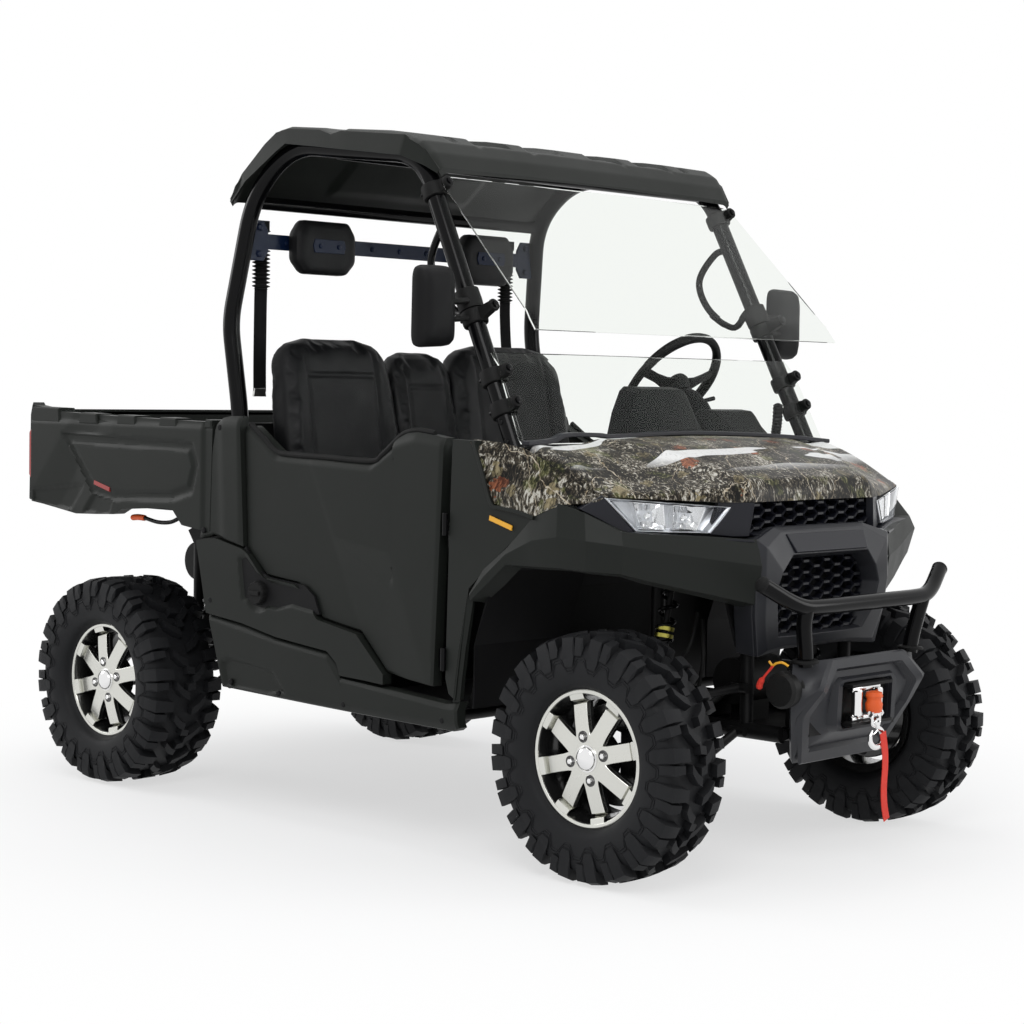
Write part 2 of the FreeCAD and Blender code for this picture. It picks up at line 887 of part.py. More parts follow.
def frame():
    """The welded tube frame: rails, skid plate, outriggers, posts, top rails and hitch receiver."""
    rail_y = float(s.rail_offset)
    post_y = float(s.post_offset)
    rail_z = float(s.rail_height)
    tube = s.frame_tube
    front, rear = float(s.rail_front), float(s.rail_rear)
    pieces = []
    spread = float(s.arm_spread)
    bed_rail = float(s.bed_rail_height)
    front_top = float(s.front_post_top)
    post_places = [(float(axle_front) + way * spread, front_top) for way in (-1, 1)]
    post_places += [(float(axle_rear) + way * spread, bed_rail) for way in (-1, 1)]
    post_places.append((float(s.seat_post), bed_rail))
    for side in (RIGHT, LEFT):
        pieces.append(rod(Vector(rear, side * rail_y, rail_z), Vector(front, side * rail_y, rail_z),
                          s.rail_radius))
        for x, top in post_places:
            pieces.append(rod(Vector(x, side * post_y, rail_z), Vector(x, side * post_y, top), tube))
        front_places = [x for x, top in post_places if x > 0]
        rear_places = [x for x, top in post_places if x < 0]
        over = float(tube) / 2
        pieces.append(rod(Vector(min(front_places) - over, side * post_y, front_top),
                          Vector(max(front_places) + over, side * post_y, front_top), s.rail_radius))
        pieces.append(rod(Vector(min(rear_places) - over, side * post_y, bed_rail),
                          Vector(max(rear_places) + over, side * post_y, bed_rail), s.rail_radius))
    cross = s.cross_tube
    for x, top in post_places:
        pieces.append(rod(Vector(x, -post_y, top), Vector(x, post_y, top), cross))
    for end in AXLES:
        foot = shock_foot(end)
        top = front_top if end == "front" else bed_rail
        reach = float(s.shock_top_offset) + float(s.shock_radius)
        pieces.append(rod(Vector(foot.x, -reach, top), Vector(foot.x, reach, top), cross))
    wide = float(s.body_half_width) - float(s.panel_thickness) - float(s.pin_gap)
    for x in (float(s.cage_rear_foot), float(s.outrigger_middle), float(s.outrigger_front), rear, front):
        reach = wide if rear < x < front else rail_y
        pieces.append(rod(Vector(x, -reach, rail_z), Vector(x, reach, rail_z), cross))
    foot_reach = float(s.body_half_width) - float(s.flare_wall) - float(s.pin_gap)
    foot_z = cowl_tube_height()
    foot_x = float(axle_front) - spread
    pieces.append(rod(Vector(foot_x, -foot_reach, foot_z), Vector(foot_x, foot_reach, foot_z), cross))
    mount = float(s.engine_mount_length)
    shelf = engine_bottom() - float(s.pin_gap)
    for x in (float(s.engine_front) - mount, float(s.engine_rear) + mount):
        pieces.append(box(x - mount / 2, x + mount / 2, -rail_y, rail_y, shelf - float(s.engine_mount_thickness),
                          shelf))
        for side in (RIGHT, LEFT):
            y = side * rail_y
            pieces.append(box(x - mount / 2, x + mount / 2, y - mount / 2, y + mount / 2, rail_z, shelf))
    winch_seat = float(s.winch_height) - float(s.winch_motor_radius) - float(s.pin_gap)
    for side in (RIGHT, LEFT):
        ends = sorted((side * float(s.winch_plate_inner), side * float(s.winch_plate_outer)))
        pieces.append(box(front - float(cross), s.winch_plate_front, ends[0], ends[1], rail_z, winch_seat))
    top = skid_top()
    pieces.append(box(s.skid_rear, s.skid_front, -rail_y, rail_y, top - float(s.skid_thickness), top))
    half = float(s.receiver_outer) / 2
    height = float(s.receiver_height)
    start = float(s.receiver_rear)
    stop = start + float(s.receiver_length)
    receiver = box(start, stop, -half, half, height - half, height + half)
    bracket = box(rear - float(s.rail_radius), stop, -half, half, rail_z, height)
    inner = float(s.receiver_inner) / 2
    bore = box(start, stop - float(s.skin), -inner, inner, height - inner, height + inner)
    pin_x = start + float(s.receiver_pin_setback)
    pin = rod(Vector(pin_x, -half, height), Vector(pin_x, half, height), s.receiver_pin_radius)
    whole = pieces[0].multiFuse(pieces[1:] + [receiver, bracket]).cut(bore).cut(pin)
    rack_x = float(axle_front) - float(s.steer_arm)
    rack = float(s.rack_housing_size) / 2
    long = float(s.rack_housing_half_length)
    housing = box(rack_x - rack, rack_x + rack, -long, long, float(s.tie_rod_height) - rack,
                  float(s.tie_rod_height) + rack)
    carrier = box(rack_x - rack, rack_x + rack, -rail_y, rail_y, rail_z - rack / 2,
                  float(s.tie_rod_height) - rack)
    bar = rod(Vector(rack_x, -rail_y, float(s.tie_rod_height)), Vector(rack_x, rail_y, float(s.tie_rod_height)),
              s.tie_rod_radius + s.rack_gap)
    whole = whole.fuse(carrier.fuse(housing)).cut(bar)
    return keep(shape_feature("frame", whole), "frame")


def cage_front_line():
    """The front pillar's direction, up from its foot."""
    foot = vector(s.cage_front_foot, s.cage_base_half_width, s.cage_front_foot_height)
    head = vector(s.cage_front_top, s.cage_top_half_width, s.cage_front_top_height)
    return foot, (head - foot).normalize()


def pillar_at(height):
    """The left front pillar's middle at a height."""
    foot, run = cage_front_line()
    return foot + run * ((height - foot.z) / run.z)


def cowl_tube_height():
    """The height of the cross tube that carries the feet of the front pillars."""
    foot, run = cage_front_line()
    drop = float(s.cage_tube_radius) * math.sqrt(1 - run.z ** 2)
    return foot.z - drop - float(s.cross_tube) - float(s.pin_gap)


def cage_side():
    """The left hoop of the cage: front pillar, roof rail and kinked rear pillar."""
    low = float(s.cage_base_half_width)
    high = float(s.cage_top_half_width)
    points = [
        vector(s.cage_front_foot, low, s.cage_front_foot_height),
        vector(s.cage_front_top, high, s.cage_front_top_height),
        vector(s.cage_rear_top, high, s.cage_rear_top_height),
        vector(s.cage_rear_shoulder, high, s.cage_rear_shoulder_height),
        vector(s.cage_kink, low, s.cage_kink_height),
        vector(s.cage_waist, low, s.cage_waist_height),
        vector(s.cage_rear_foot, low, s.cage_rear_foot_height),
    ]
    return bent_tube(points, s.cage_tube_radius, float(s.cage_bend))


def cage():
    """Both hoops, the front and rear headers and the flat bar that carries the headrests."""
    hoop = cage_side()
    high = float(s.cage_top_half_width)
    pieces = [hoop, to_side(hoop, RIGHT)]
    for x, z in ((s.cage_front_top, s.cage_front_top_height), (s.cage_rear_shoulder, s.cage_rear_shoulder_height)):
        drop = float(s.cage_tube_radius)
        pieces.append(rod(Vector(float(x), -high, float(z) - drop), Vector(float(x), high, float(z) - drop),
                          s.header_radius))
    bar_x = headrest_bar_face()
    half = float(s.headrest_bar_depth) / 2
    height = float(s.headrest_bar_height)
    thick = float(s.headrest_bar_thickness)
    pieces.append(box(bar_x - thick, bar_x, -high, high, height - half, height + half))
    wide = float(s.headrest_bracket_width)
    tall = float(s.headrest_bracket_height) / 2
    for side in (RIGHT, LEFT):
        edge = side * high
        inner = side * (high - wide - float(s.cage_tube_radius))
        pieces.append(box(bar_x - thick, bar_x, min(edge, inner), max(edge, inner), height - tall, height + tall))
    rail_run = float(s.cage_front_top) - float(s.cage_rear_top)
    for share in ROOF_STUD_SHARES:
        x = float(s.cage_rear_top) + rail_run * share
        z = float(s.cage_rear_top_height)
        z += (float(s.cage_front_top_height) - z) * share
        for side in (RIGHT, LEFT):
            radius = float(s.body_boss_radius)
            ceiling = min(roof_ceiling(x - radius), roof_ceiling(x + radius)) - float(s.pin_gap)
            pieces.append(rod(Vector(x, side * high, z), Vector(x, side * high, ceiling), radius))
    return keep(shape_feature("cage", fused(pieces)), "cage")


# places of the roof's studs along the cage's roof rails
ROOF_STUD_SHARES = [0.15, 0.8]


def roof_ceiling(x):
    """The height of the roof's underside at a place along the machine."""
    wall = float(s.roof_wall)
    start, stop = float(s.roof_rear) + wall, float(s.roof_front) - wall
    low, high = float(s.roof_rear_height) - wall, float(s.roof_peak_height) - wall
    places = [(start + (stop - start) * across, low + (high - low) * up) for across, up in ROOF_SHEET_SHARES]
    for (x0, z0), (x1, z1) in zip(places, places[1:]):
        if x0 <= x <= x1:
            return z0 + (z1 - z0) * (x - x0) / (x1 - x0)
    raise ValueError("a place beyond the roof")


def headrest_bar_face():
    """The front face of the headrest bar, on the rear pillars' middle line."""
    share = (float(s.headrest_bar_height) - float(s.cage_kink_height)) / (
        float(s.cage_rear_shoulder_height) - float(s.cage_kink_height))
    return float(s.cage_kink) + (float(s.cage_rear_shoulder) - float(s.cage_kink)) * share


# share of the roof's length and of its height, along the top from rear to front
ROOF_TOP_SHARES = [(0, 0), (0.27, 0.98), (0.34, 1.0), (0.486, 0.942), (0.88, 0.747), (0.969, 0.43), (1.0, 0.21)]
ROOF_LOW_SHARES = [(0.86, 0.39), (0.317, 0.715), (0.117, 0.215)]
# the same for the sheet between the ribs, which is sunk over the cab
ROOF_SHEET_SHARES = [(0, 0), (0.27, 0.98), (0.34, 1.0), (0.37, 0.915), (0.486, 0.868), (0.845, 0.69),
                     (0.87, 0.752), (0.88, 0.747), (0.969, 0.43), (1.0, 0.21)]
# the same for one rib's outline seen from the side
ROOF_RIB_SHARES = [(0.35, 0.95), (0.35, 0.992), (0.363, 0.989), (0.486, 0.94), (0.855, 0.757), (0.862, 0.70),
                   (0.845, 0.66), (0.486, 0.835), (0.372, 0.885)]
# each rib's middle and width as shares of the roof's half width
ROOF_RIB_PLACE_SHARES = [(0, 0.2), (0.36, 0.115), (-0.36, 0.115), (0.69, 0.108), (-0.69, 0.108)]


def roof():
    """The moulded roof: a sheet with a skirt all round and raised ribs over the cab."""
    body = new_body("roof")
    x0, x1 = s.roof_rear, s.roof_front
    z0, z1 = s.roof_rear_height, s.roof_peak_height
    outer = placed(ROOF_SHEET_SHARES + ROOF_LOW_SHARES, x0, x1, z0, z1)
    half = s.roof_half_width
    pad(body, "roof_pad", "XZ_Plane", [outer], -half, half * 2)
    wall = s.roof_wall
    inner = placed(ROOF_SHEET_SHARES, x0 + wall, x1 - wall, z0 - wall, z1 - wall)
    below = [(x1 - wall, z0 - s.overrun), (x0 + wall, z0 - s.overrun)]
    pocket(body, "roof_hollow", "XZ_Plane", [inner + below], -half + wall, half * 2 - wall * 2, True)
    for place, (middle, wide) in enumerate(ROOF_RIB_PLACE_SHARES):
        rib = placed(ROOF_RIB_SHARES, x0, x1, z0, z1)
        pad(body, f"roof_rib_{place}", "XZ_Plane", [rib], half * middle - half * wide / 2, half * wide)
    return keep(body, "roof")


# share of the door's length and height, from the top rear corner round the front
DOOR_SHARES = [(0, 1.0), (0.03, 1.0), (0.167, 0.89), (0.635, 0.87), (0.77, 0.975), (0.858, 1.0), (0.985, 0.985),
               (1.0, 0.95), (0.975, 0), (0.734, 0.029), (0.605, 0.176), (0.416, 0.211), (0.391, 0.244),
               (0.298, 0.347), (0.13, 0.366), (0.023, 0.478)]


def door(side_name):
    """A half door with its dipped top, cut-away rear corner and two hinge barrels."""
    outline = placed(DOOR_SHARES, s.door_rear, s.door_front, s.door_bottom, s.door_top)
    name = f"door_{side_name}"
    side = SIDES[side_name]
    panel = side_plate(name + "_panel", outline, side, s.body_half_width, s.door_thickness)
    notched = removal(name + "_notched", panel, hinge_notches(name, side, (0, 2)))
    return keep(fusion(name, [notched, hinge_barrels(name, side, (1,), -1, -s.pin_gap)]), name)


def hinge_notches(name, side, places):
    """Room round the other panel's hinge barrels."""
    notches = []
    for x, low in hinge_places(places):
        notches.append(upright_cylinder(f"{name}_notch_{len(notches)}", x, s.body_half_width * side,
                                        low - s.pin_gap, s.hinge_radius + s.hinge_clear,
                                        s.hinge_length + s.pin_gap * 2))
    return fusion(name + "_notches", notches)


def hinge_barrels(name, side, places, way, margin):
    """Hinge barrels at these places of three, each with a leaf rearward or forward to its panel."""
    pieces = []
    for x, low in hinge_places(places):
        low = low - margin
        high = low + s.hinge_length + margin * 2
        pieces.append(upright_cylinder(f"{name}_barrel_{len(pieces)}", x, s.body_half_width * side, low,
                                       s.hinge_radius, high - low))
        ends = sorted((float(x), float(x) + way * float(s.hinge_leaf)))
        outer = float(s.body_half_width)
        leaf = box(ends[0], ends[1], outer - float(s.hinge_radius), outer, low, high)
        pieces.append(shape_feature(f"{name}_leaf_{len(pieces)}", to_side(leaf, side)))
    return fusion(name + "_hinge", pieces)


def hinge_places(places):
    """The hinge line and the lower ends of these barrels of three, at both heights."""
    x = s.door_front + s.panel_gap / 2
    return [(x, middle + s.hinge_length * (place - 1.5)) for middle in (s.hinge_top, s.hinge_low)
            for place in places]


# share of the rear quarter's box, from its top rear corner round the door's cut-away corner
QUARTER_SHARES = [(0.14, 0.92), (0.2, 0.99), (0.34, 1.0), (0.375, 0.386), (0.545, 0.262), (0.81, 0.24), (0.96, 0.125),
                  (1.0, 0.08), (0.98, 0.01), (0.66, 0.02), (0.12, 0.08), (0, 0.42), (0.12, 0.45)]


def quarter(side_name):
    """The panel behind the door, down to the rocker and under the door's rear corner."""
    x1 = s.door_rear + s.panel_gap + (s.door_front - s.door_rear) * 0.42
    outline = placed(QUARTER_SHARES, s.quarter_rear, x1, s.quarter_bottom - s.panel_gap, s.quarter_top)
    name = f"quarter_{side_name}"
    panel = side_plate(name + "_panel", outline, SIDES[side_name], s.body_half_width, s.panel_thickness)
    pillar = vector(s.cage_rear_foot, s.cage_base_half_width, s.bed_bottom)
    boss = panel_boss(name + "_boss", pillar, SIDES[side_name])
    return keep(fusion(name, [panel, boss]), name)


def panel_boss(name, pillar, side):
    """A boss from a side panel's back to the pillar's tube."""
    start = pillar + Vector(0, float(s.cage_tube_radius) + float(s.pin_gap), 0)
    stop = Vector(pillar.x, float(s.body_half_width) - float(s.panel_thickness) / 2, pillar.z)
    return shape_feature(name, to_side(rod(start, stop, s.body_boss_radius), side))


# share of the rocker's length and height
ROCKER_SHARES = [(0.07, 0.09), (0.26, 0.065), (0.65, 0.02), (0.98, 0), (1.0, 0.05), (0.99, 0.36), (0.955, 0.33),
                 (0.56, 0.45), (0.547, 0.58), (0.508, 0.71), (0.295, 0.80), (0, 0.90), (0.03, 0.4)]


def rocker(side_name):
    """The sill panel along the bottom with its foot step."""
    outline = placed(ROCKER_SHARES, s.rocker_rear, s.rocker_front, s.rocker_bottom, s.rocker_top - s.panel_gap)
    name = f"rocker_{side_name}"
    return keep(side_plate(name, outline, SIDES[side_name], s.body_half_width, s.panel_thickness), name)


# share of the front side panel's box, from the door gap's top forwards
SIDE_PANEL_SHARES = [(0.06, 1.0), (0.17, 0.995), (0.49, 0.755), (1.0, 0.703), (0.68, 0.585), (0.27, 0.435),
                     (0.135, 0), (0, 0.06)]
HOOD_SIDE_SHARES = [(0, 1.0), (0.205, 0.19), (0.57, 0.01), (0.78, 0.19), (1.0, 0.31), (0.8, 0.56), (0.42, 0.9),
                    (0.1, 1.0)]


def front_fender(side_name):
    """The side panel in front of the door and the faceted flare over the wheel."""
    side = SIDES[side_name]
    body = new_body(f"fender_{side_name}_panel")
    outline = placed(SIDE_PANEL_SHARES, s.door_front + s.panel_gap, s.side_panel_front, s.side_panel_bottom,
                     s.door_top - s.panel_gap * 2)
    pad(body, "panel", "XZ_Plane", [outline], -side * s.body_half_width, s.panel_thickness, side == RIGHT)
    wide = float(s.body_half_width)
    wall = float(s.flare_wall)
    drop = float(s.flare_depth)
    inward = Vector(0, -wall, 0)
    back = Vector(-wall, 0, 0)
    lip_x = float(s.rocker_front)
    corner_y = float(s.flare_corner_half_width)
    stations = [
        (Vector(lip_x - drop / 4, wide, float(s.side_panel_bottom)),
         Vector(lip_x + drop / 4, wide, float(s.side_panel_bottom)), inward),
        (Vector(lip_x + drop / 2, wide, float(s.side_panel_bottom) + drop * 4.5),
         Vector(lip_x + drop * 1.1, wide, float(s.side_panel_bottom) + drop * 4.4), inward),
        (Vector(float(s.side_panel_front) - drop * 1.45, wide, float(s.flare_peak_height) - drop * 1.6),
         Vector(float(s.side_panel_front) - drop * 1.4, wide, float(s.flare_peak_height) - drop * 2.2), inward),
        (Vector(float(s.flare_peak), wide, float(s.flare_peak_height)),
         Vector(float(s.flare_peak), wide, float(s.flare_peak_height) - drop * 2.15), inward),
        (Vector(float(s.flare_corner), corner_y, float(s.flare_corner_height)),
         Vector(float(s.flare_corner), corner_y, float(s.flare_corner_height) - drop * 1.3), inward + back),
        (Vector(float(s.nose_front) - wall, float(s.nose_half_width), float(s.nose_top) - drop / 2),
         Vector(float(s.nose_front) - wall, float(s.nose_half_width), float(s.nose_top) - drop * 2.1), back),
    ]
    quads = [[top, bottom, bottom + depth, top + depth] for top, bottom, depth in stations]
    flare = shape_feature(f"fender_{side_name}_flare", to_side(loft(quads), side))
    name = f"fender_{side_name}"
    joined = fusion(name + "_joined", [body, flare])
    notched = removal(name + "_notched", joined, hinge_notches(name, side, (1,)))
    return keep(fusion(name, [notched, hinge_barrels(name, side, (0, 2), 1, s.pin_gap * 0)]), name)


def hood_side(side_name):
    """The fixed panel beside the hood, above the front fender."""
    x1 = s.flare_corner - s.panel_thickness
    outline = placed(HOOD_SIDE_SHARES, s.hood_side_rear, x1, s.side_panel_top_low, s.door_top - s.panel_gap * 2)
    name = f"hood_side_{side_name}"
    panel = side_plate(name + "_panel", outline, SIDES[side_name], s.body_half_width, s.panel_thickness)
    boss = panel_boss(name + "_boss", pillar_at(float(s.hood_front_height)), SIDES[side_name])
    return keep(fusion(name, [panel, boss]), name)


# the hood's cross-sections from front to rear: share of its length, of its half width,
# of the rise to its rear edge, and of its crown
HOOD_STATION_SHARES = [(0, 0.46, 0, 0.9), (0.24, 0.76, 0.04, 1.3), (0.41, 1.0, 0.10, 1.4), (0.7, 1.0, 0.5, 1.15),
                       (1.0, 1.0, 0.9, 0.45)]
# share of the half width and of the crown's height along one cross-section
HOOD_SECTION_SHARES = [(-1, 0), (-0.96, 0.42), (-0.62, 0.9), (0, 1.0), (0.62, 0.9), (0.96, 0.42), (1, 0)]


def hood():
    """The hinged hood: a crowned shell lofted through cross-sections."""
    body = new_body("hood_panel")
    sketches = []
    for place, (along, wide, rise, crown) in enumerate(HOOD_STATION_SHARES):
        x = between(s.hood_front, s.hood_rear, along)
        half = s.hood_half_width * wide
        low = between(s.hood_front_height, s.hood_rear_height, rise)
        high = s.hood_crown * crown
        outer = [(half * y, low + high * z) for y, z in HOOD_SECTION_SHARES]
        inner = [((half - s.hood_wall) * y, low + high * z - s.hood_wall * z)
                 for y, z in reversed(HOOD_SECTION_SHARES)]
        sketches.append(closed_sketch(body, f"hood_section_{place}", "YZ_Plane", [outer + inner], x))
    feature = body.newObject("PartDesign::AdditiveLoft", "hood_loft")
    feature.Profile = sketches[0]
    feature.Sections = sketches[1:]
    feature.Ruled = True
    return keep(fusion("hood", [body, shape_feature("hood_hinges", group(hood_hinges((0,), hood_leaf_top())))]),
                "hood")


def hood_leaf_top():
    """The middle of the hood's wall above its hinges."""
    along, wide, rise, crown = HOOD_STATION_SHARES[0]
    share = float(s.hood_hinge_offset) / (float(s.hood_half_width) * wide)
    (y0, z0), (y1, z1) = HOOD_SECTION_SHARES[3:5]
    height = z0 + (z1 - z0) * (share - y0) / (y1 - y0)
    return float(s.hood_front_height) + (float(s.hood_crown) * crown - float(s.hood_wall) / 2) * height


def hood_hinges(places, leaf_end):
    """Hinge barrels under the hood's front edge, with leaves up to the hood or down to the fascia."""
    radius = float(s.hood_hinge_radius)
    x = float(s.hood_front) - radius
    z = hood_hinge_height()
    long = float(s.hood_hinge_length)
    pieces = []
    for side in (RIGHT, LEFT):
        for place in places:
            y = side * float(s.hood_hinge_offset) + long * place
            trim = float(s.pin_gap) if place == 0 else 0
            low, high = y - long / 2 + trim, y + long / 2 - trim
            barrel = rod(Vector(x, low, z), Vector(x, high, z), radius)
            ends = sorted((z, leaf_end))
            pieces.append(barrel.fuse(box(x - radius * 0.8, x + radius * 0.8, low, high, ends[0], ends[1])))
    return pieces


def fascia_leaf_end():
    """How far down the fascia's hinge leaves reach."""
    return hood_hinge_height() - float(s.hood_hinge_radius) * 2


def hood_hinge_height():
    """The hood hinge's height, in the gap between hood and fascia."""
    return float(s.hood_front_height) - float(s.hood_hinge_radius) - float(s.pin_gap) * 3


def dash():
    """The dashboard with two instrument humps, the steering column and the parking brake lever."""
    half = float(s.dash_half_width)
    body = new_body("dash_body")
    outline = [(s.dash_front, s.dash_top), (s.dash_rear, s.dash_top - s.dash_wall / 2),
               (s.dash_rear + s.dash_wall, s.dash_bottom), (s.dash_front - s.dash_wall, s.dash_bottom)]
    pad(body, "dash_pad", "XZ_Plane", [outline], -s.dash_half_width, s.dash_half_width * 2)
    solids = []
    top = float(s.dash_top) - float(s.dash_wall)
    place = float(s.dash_hump_place)
    deep = float(s.dash_hump_depth) / 2
    humps = [(float(s.centre_hump_offset), float(s.centre_hump_width), float(s.centre_hump_height)),
             (float(s.driver_offset), float(s.driver_hump_width), float(s.driver_hump_height))]
    for middle, width, height in humps:
        foot = [Vector(place - deep, middle - width / 2, top), Vector(place + deep, middle - width / 2, top),
                Vector(place + deep, middle + width / 2, top), Vector(place - deep, middle + width / 2, top)]
        peak = top + float(s.dash_wall) + height
        head = [Vector(place - deep, middle - width * 0.36, peak), Vector(place, middle - width * 0.36, peak),
                Vector(place, middle + width * 0.36, peak), Vector(place - deep, middle + width * 0.36, peak)]
        solids.append(loft([foot, head]))
    axis = steering_axis()
    start = steering_middle() - axis * (float(s.steering_hub_depth) + float(s.steering_gap))
    solids.append(rod(start, start - axis * float(s.column_length), s.column_radius))
    lever_foot = vector(s.lever_place, s.lever_offset, s.dash_top - s.dash_wall)
    solids.append(rod(lever_foot, vector(s.lever_place, s.lever_offset, s.lever_height), s.lever_radius))
    extra = shape_feature("dash_humps", fused(solids) if len(solids) > 1 else solids[0])
    whole = doc.addObject("Part::MultiFuse", "dash")
    whole.Shapes = [body, extra]
    return keep(whole, "dash")


def steering_axis():
    """The direction from the column up to the driver."""
    tilt = math.radians(float(s.steering_tilt))
    return Vector(-math.cos(tilt), 0, math.sin(tilt))


def steering_middle():
    """The middle of the steering wheel's ring."""
    return vector(s.steering_place, s.driver_offset, s.steering_height)


def steering_wheel():
    """A three-spoke steering wheel."""
    ring = Part.makeTorus(float(s.steering_radius), float(s.steering_rim))
    deep = float(s.steering_hub_depth)
    hub = Part.makeCylinder(float(s.steering_hub_radius), deep, Vector(0, 0, -deep))
    pieces = [ring, hub]
    wide = float(s.steering_rim)
    for turn in (0, 120, 240):
        spoke = Part.makeBox(float(s.steering_radius), wide * 2, wide, Vector(0, -wide, -wide / 2))
        pieces.append(spoke.rotate(Vector(), Vector(0, 0, 1), turn))
    whole = fused(pieces)
    whole.rotate(Vector(), Vector(0, 1, 0), -(90 - float(s.steering_tilt)))
    whole.translate(steering_middle())
    return keep(shape_feature("steering_wheel", whole), "steering_wheel")


def windshield_upper():
    """The upper clear panel, swung out at its foot, with a lip along its lower edge."""
    t = s.windshield_thickness
    outline = [(s.upper_glass_rear, s.upper_glass_top), (s.upper_glass_front, s.upper_glass_bottom),
               (s.upper_glass_lip_front, s.upper_glass_lip), (s.upper_glass_lip_front + t, s.upper_glass_lip + t),
               (s.upper_glass_front + t, s.upper_glass_bottom + t), (s.upper_glass_rear + t, s.upper_glass_top + t)]
    return keep(across_profile("windshield_upper", outline, s.windshield_half_width), "windshield_upper")


def windshield_lower():
    """The lower clear panel, folded near its top edge."""
    t = s.windshield_thickness
    outline = [(s.lower_glass_rear, s.lower_glass_top), (s.lower_glass_fold_front, s.lower_glass_fold),
               (s.lower_glass_front, s.lower_glass_bottom), (s.lower_glass_front + t, s.lower_glass_bottom),
               (s.lower_glass_fold_front + t, s.lower_glass_fold + t / 2),
               (s.lower_glass_rear + t, s.lower_glass_top + t / 2)]
    return keep(across_profile("windshield_lower", outline, s.windshield_half_width), "windshield_lower")


def front_fascia():
    """The nose: a bezel round the upper grille over a keystone round the lower one."""
    body = new_body("fascia_nose")
    wide = s.upper_grille_half_width
    nose = [(-wide * 1.25, s.nose_top), (-wide * 1.25, s.upper_grille_top - s.panel_gap),
            (wide * 1.25, s.upper_grille_top - s.panel_gap), (wide * 1.25, s.nose_top),
            (s.nose_half_width, s.nose_top - s.flare_depth / 2), (s.nose_half_width, s.lower_grille_top * 0.82),
            (s.nose_half_width * 0.88, s.nose_bottom), (-s.nose_half_width * 0.88, s.nose_bottom),
            (-s.nose_half_width, s.lower_grille_top * 0.82), (-s.nose_half_width, s.nose_top - s.flare_depth / 2)]
    pad(body, "nose", "YZ_Plane", [nose], s.upper_grille_front - s.nose_wall, s.nose_wall * 1.8)
    window = [(-wide, s.nose_top + s.panel_gap), (-wide * 0.97, s.upper_grille_top - s.panel_gap * 2),
              (wide * 0.97, s.upper_grille_top - s.panel_gap * 2), (wide, s.nose_top + s.panel_gap)]
    pocket(body, "upper_window", "YZ_Plane", [window], s.upper_grille_front - s.nose_wall * 2, s.nose_wall * 5, True)
    low = s.lower_grille_half_width
    keystone = [(-low * 0.73, s.lower_grille_top), (low * 0.73, s.lower_grille_top), (low, s.lower_grille_top * 0.896),
                (low * 0.81, s.lower_grille_bottom), (-low * 0.81, s.lower_grille_bottom),
                (-low, s.lower_grille_top * 0.896)]
    pocket(body, "lower_window", "YZ_Plane", [keystone], s.upper_grille_front - s.nose_wall * 2, s.nose_wall * 5, True)
    hinges = shape_feature("fascia_hinges", group(hood_hinges((-1, 1), fascia_leaf_end())))
    return keep(fusion("fascia", [body, hinges]), "fascia")


def grille():
    """The two mesh grilles, set into the fascia's windows."""
    body = new_body("grille")
    gap = s.tyre_fit
    wide = s.upper_grille_half_width - gap
    start = s.upper_grille_front - s.nose_wall / 2
    top = [(-wide, s.nose_top + s.panel_gap + gap), (-wide * 0.97, s.upper_grille_top - s.panel_gap * 2 - gap),
           (wide * 0.97, s.upper_grille_top - s.panel_gap * 2 - gap), (wide, s.nose_top + s.panel_gap + gap)]
    pad(body, "upper_mesh", "YZ_Plane", [top], start, s.grille_thickness)
    low_body = new_body("grille_low")
    low = s.lower_grille_half_width - gap
    keystone = [(-low * 0.73, s.lower_grille_top - gap), (low * 0.73, s.lower_grille_top - gap),
                (low, s.lower_grille_top * 0.896), (low * 0.81, s.lower_grille_bottom + gap),
                (-low * 0.81, s.lower_grille_bottom + gap), (-low, s.lower_grille_top * 0.896)]
    pad(low_body, "lower_mesh", "YZ_Plane", [keystone], start, s.grille_thickness)
    both = doc.addObject("Part::Compound", "grille_pair")
    both.Links = [body, low_body]
    body.Label = "grille_upper"
    return keep(both, "grille")


# length of a lamp's lower edge as a share of its upper edge
LAMP_FOOT_SHARE = 0.72


def headlamps():
    """Two lamps, each a clear-fronted case between the hood and the flare."""
    inner = s.upper_grille_half_width * 1.25 + s.pin_gap
    outer_top = vector(s.lamp_rear, s.lamp_outer, s.lamp_top)
    inner_top = vector(s.lamp_front, inner, s.lamp_top)
    inner_low = vector(s.lamp_front, inner + s.panel_thickness, s.lamp_bottom)
    outer_low = inner_low + (outer_top - inner_top) * LAMP_FOOT_SHARE
    face = [outer_top, inner_top, inner_low, outer_low]
    back = Vector(-float(s.lamp_depth), 0, 0)
    solid = loft([face, [point + back for point in face]])
    return keep(shape_feature("headlamps", group([solid, to_side(solid, RIGHT)])), "headlamps")


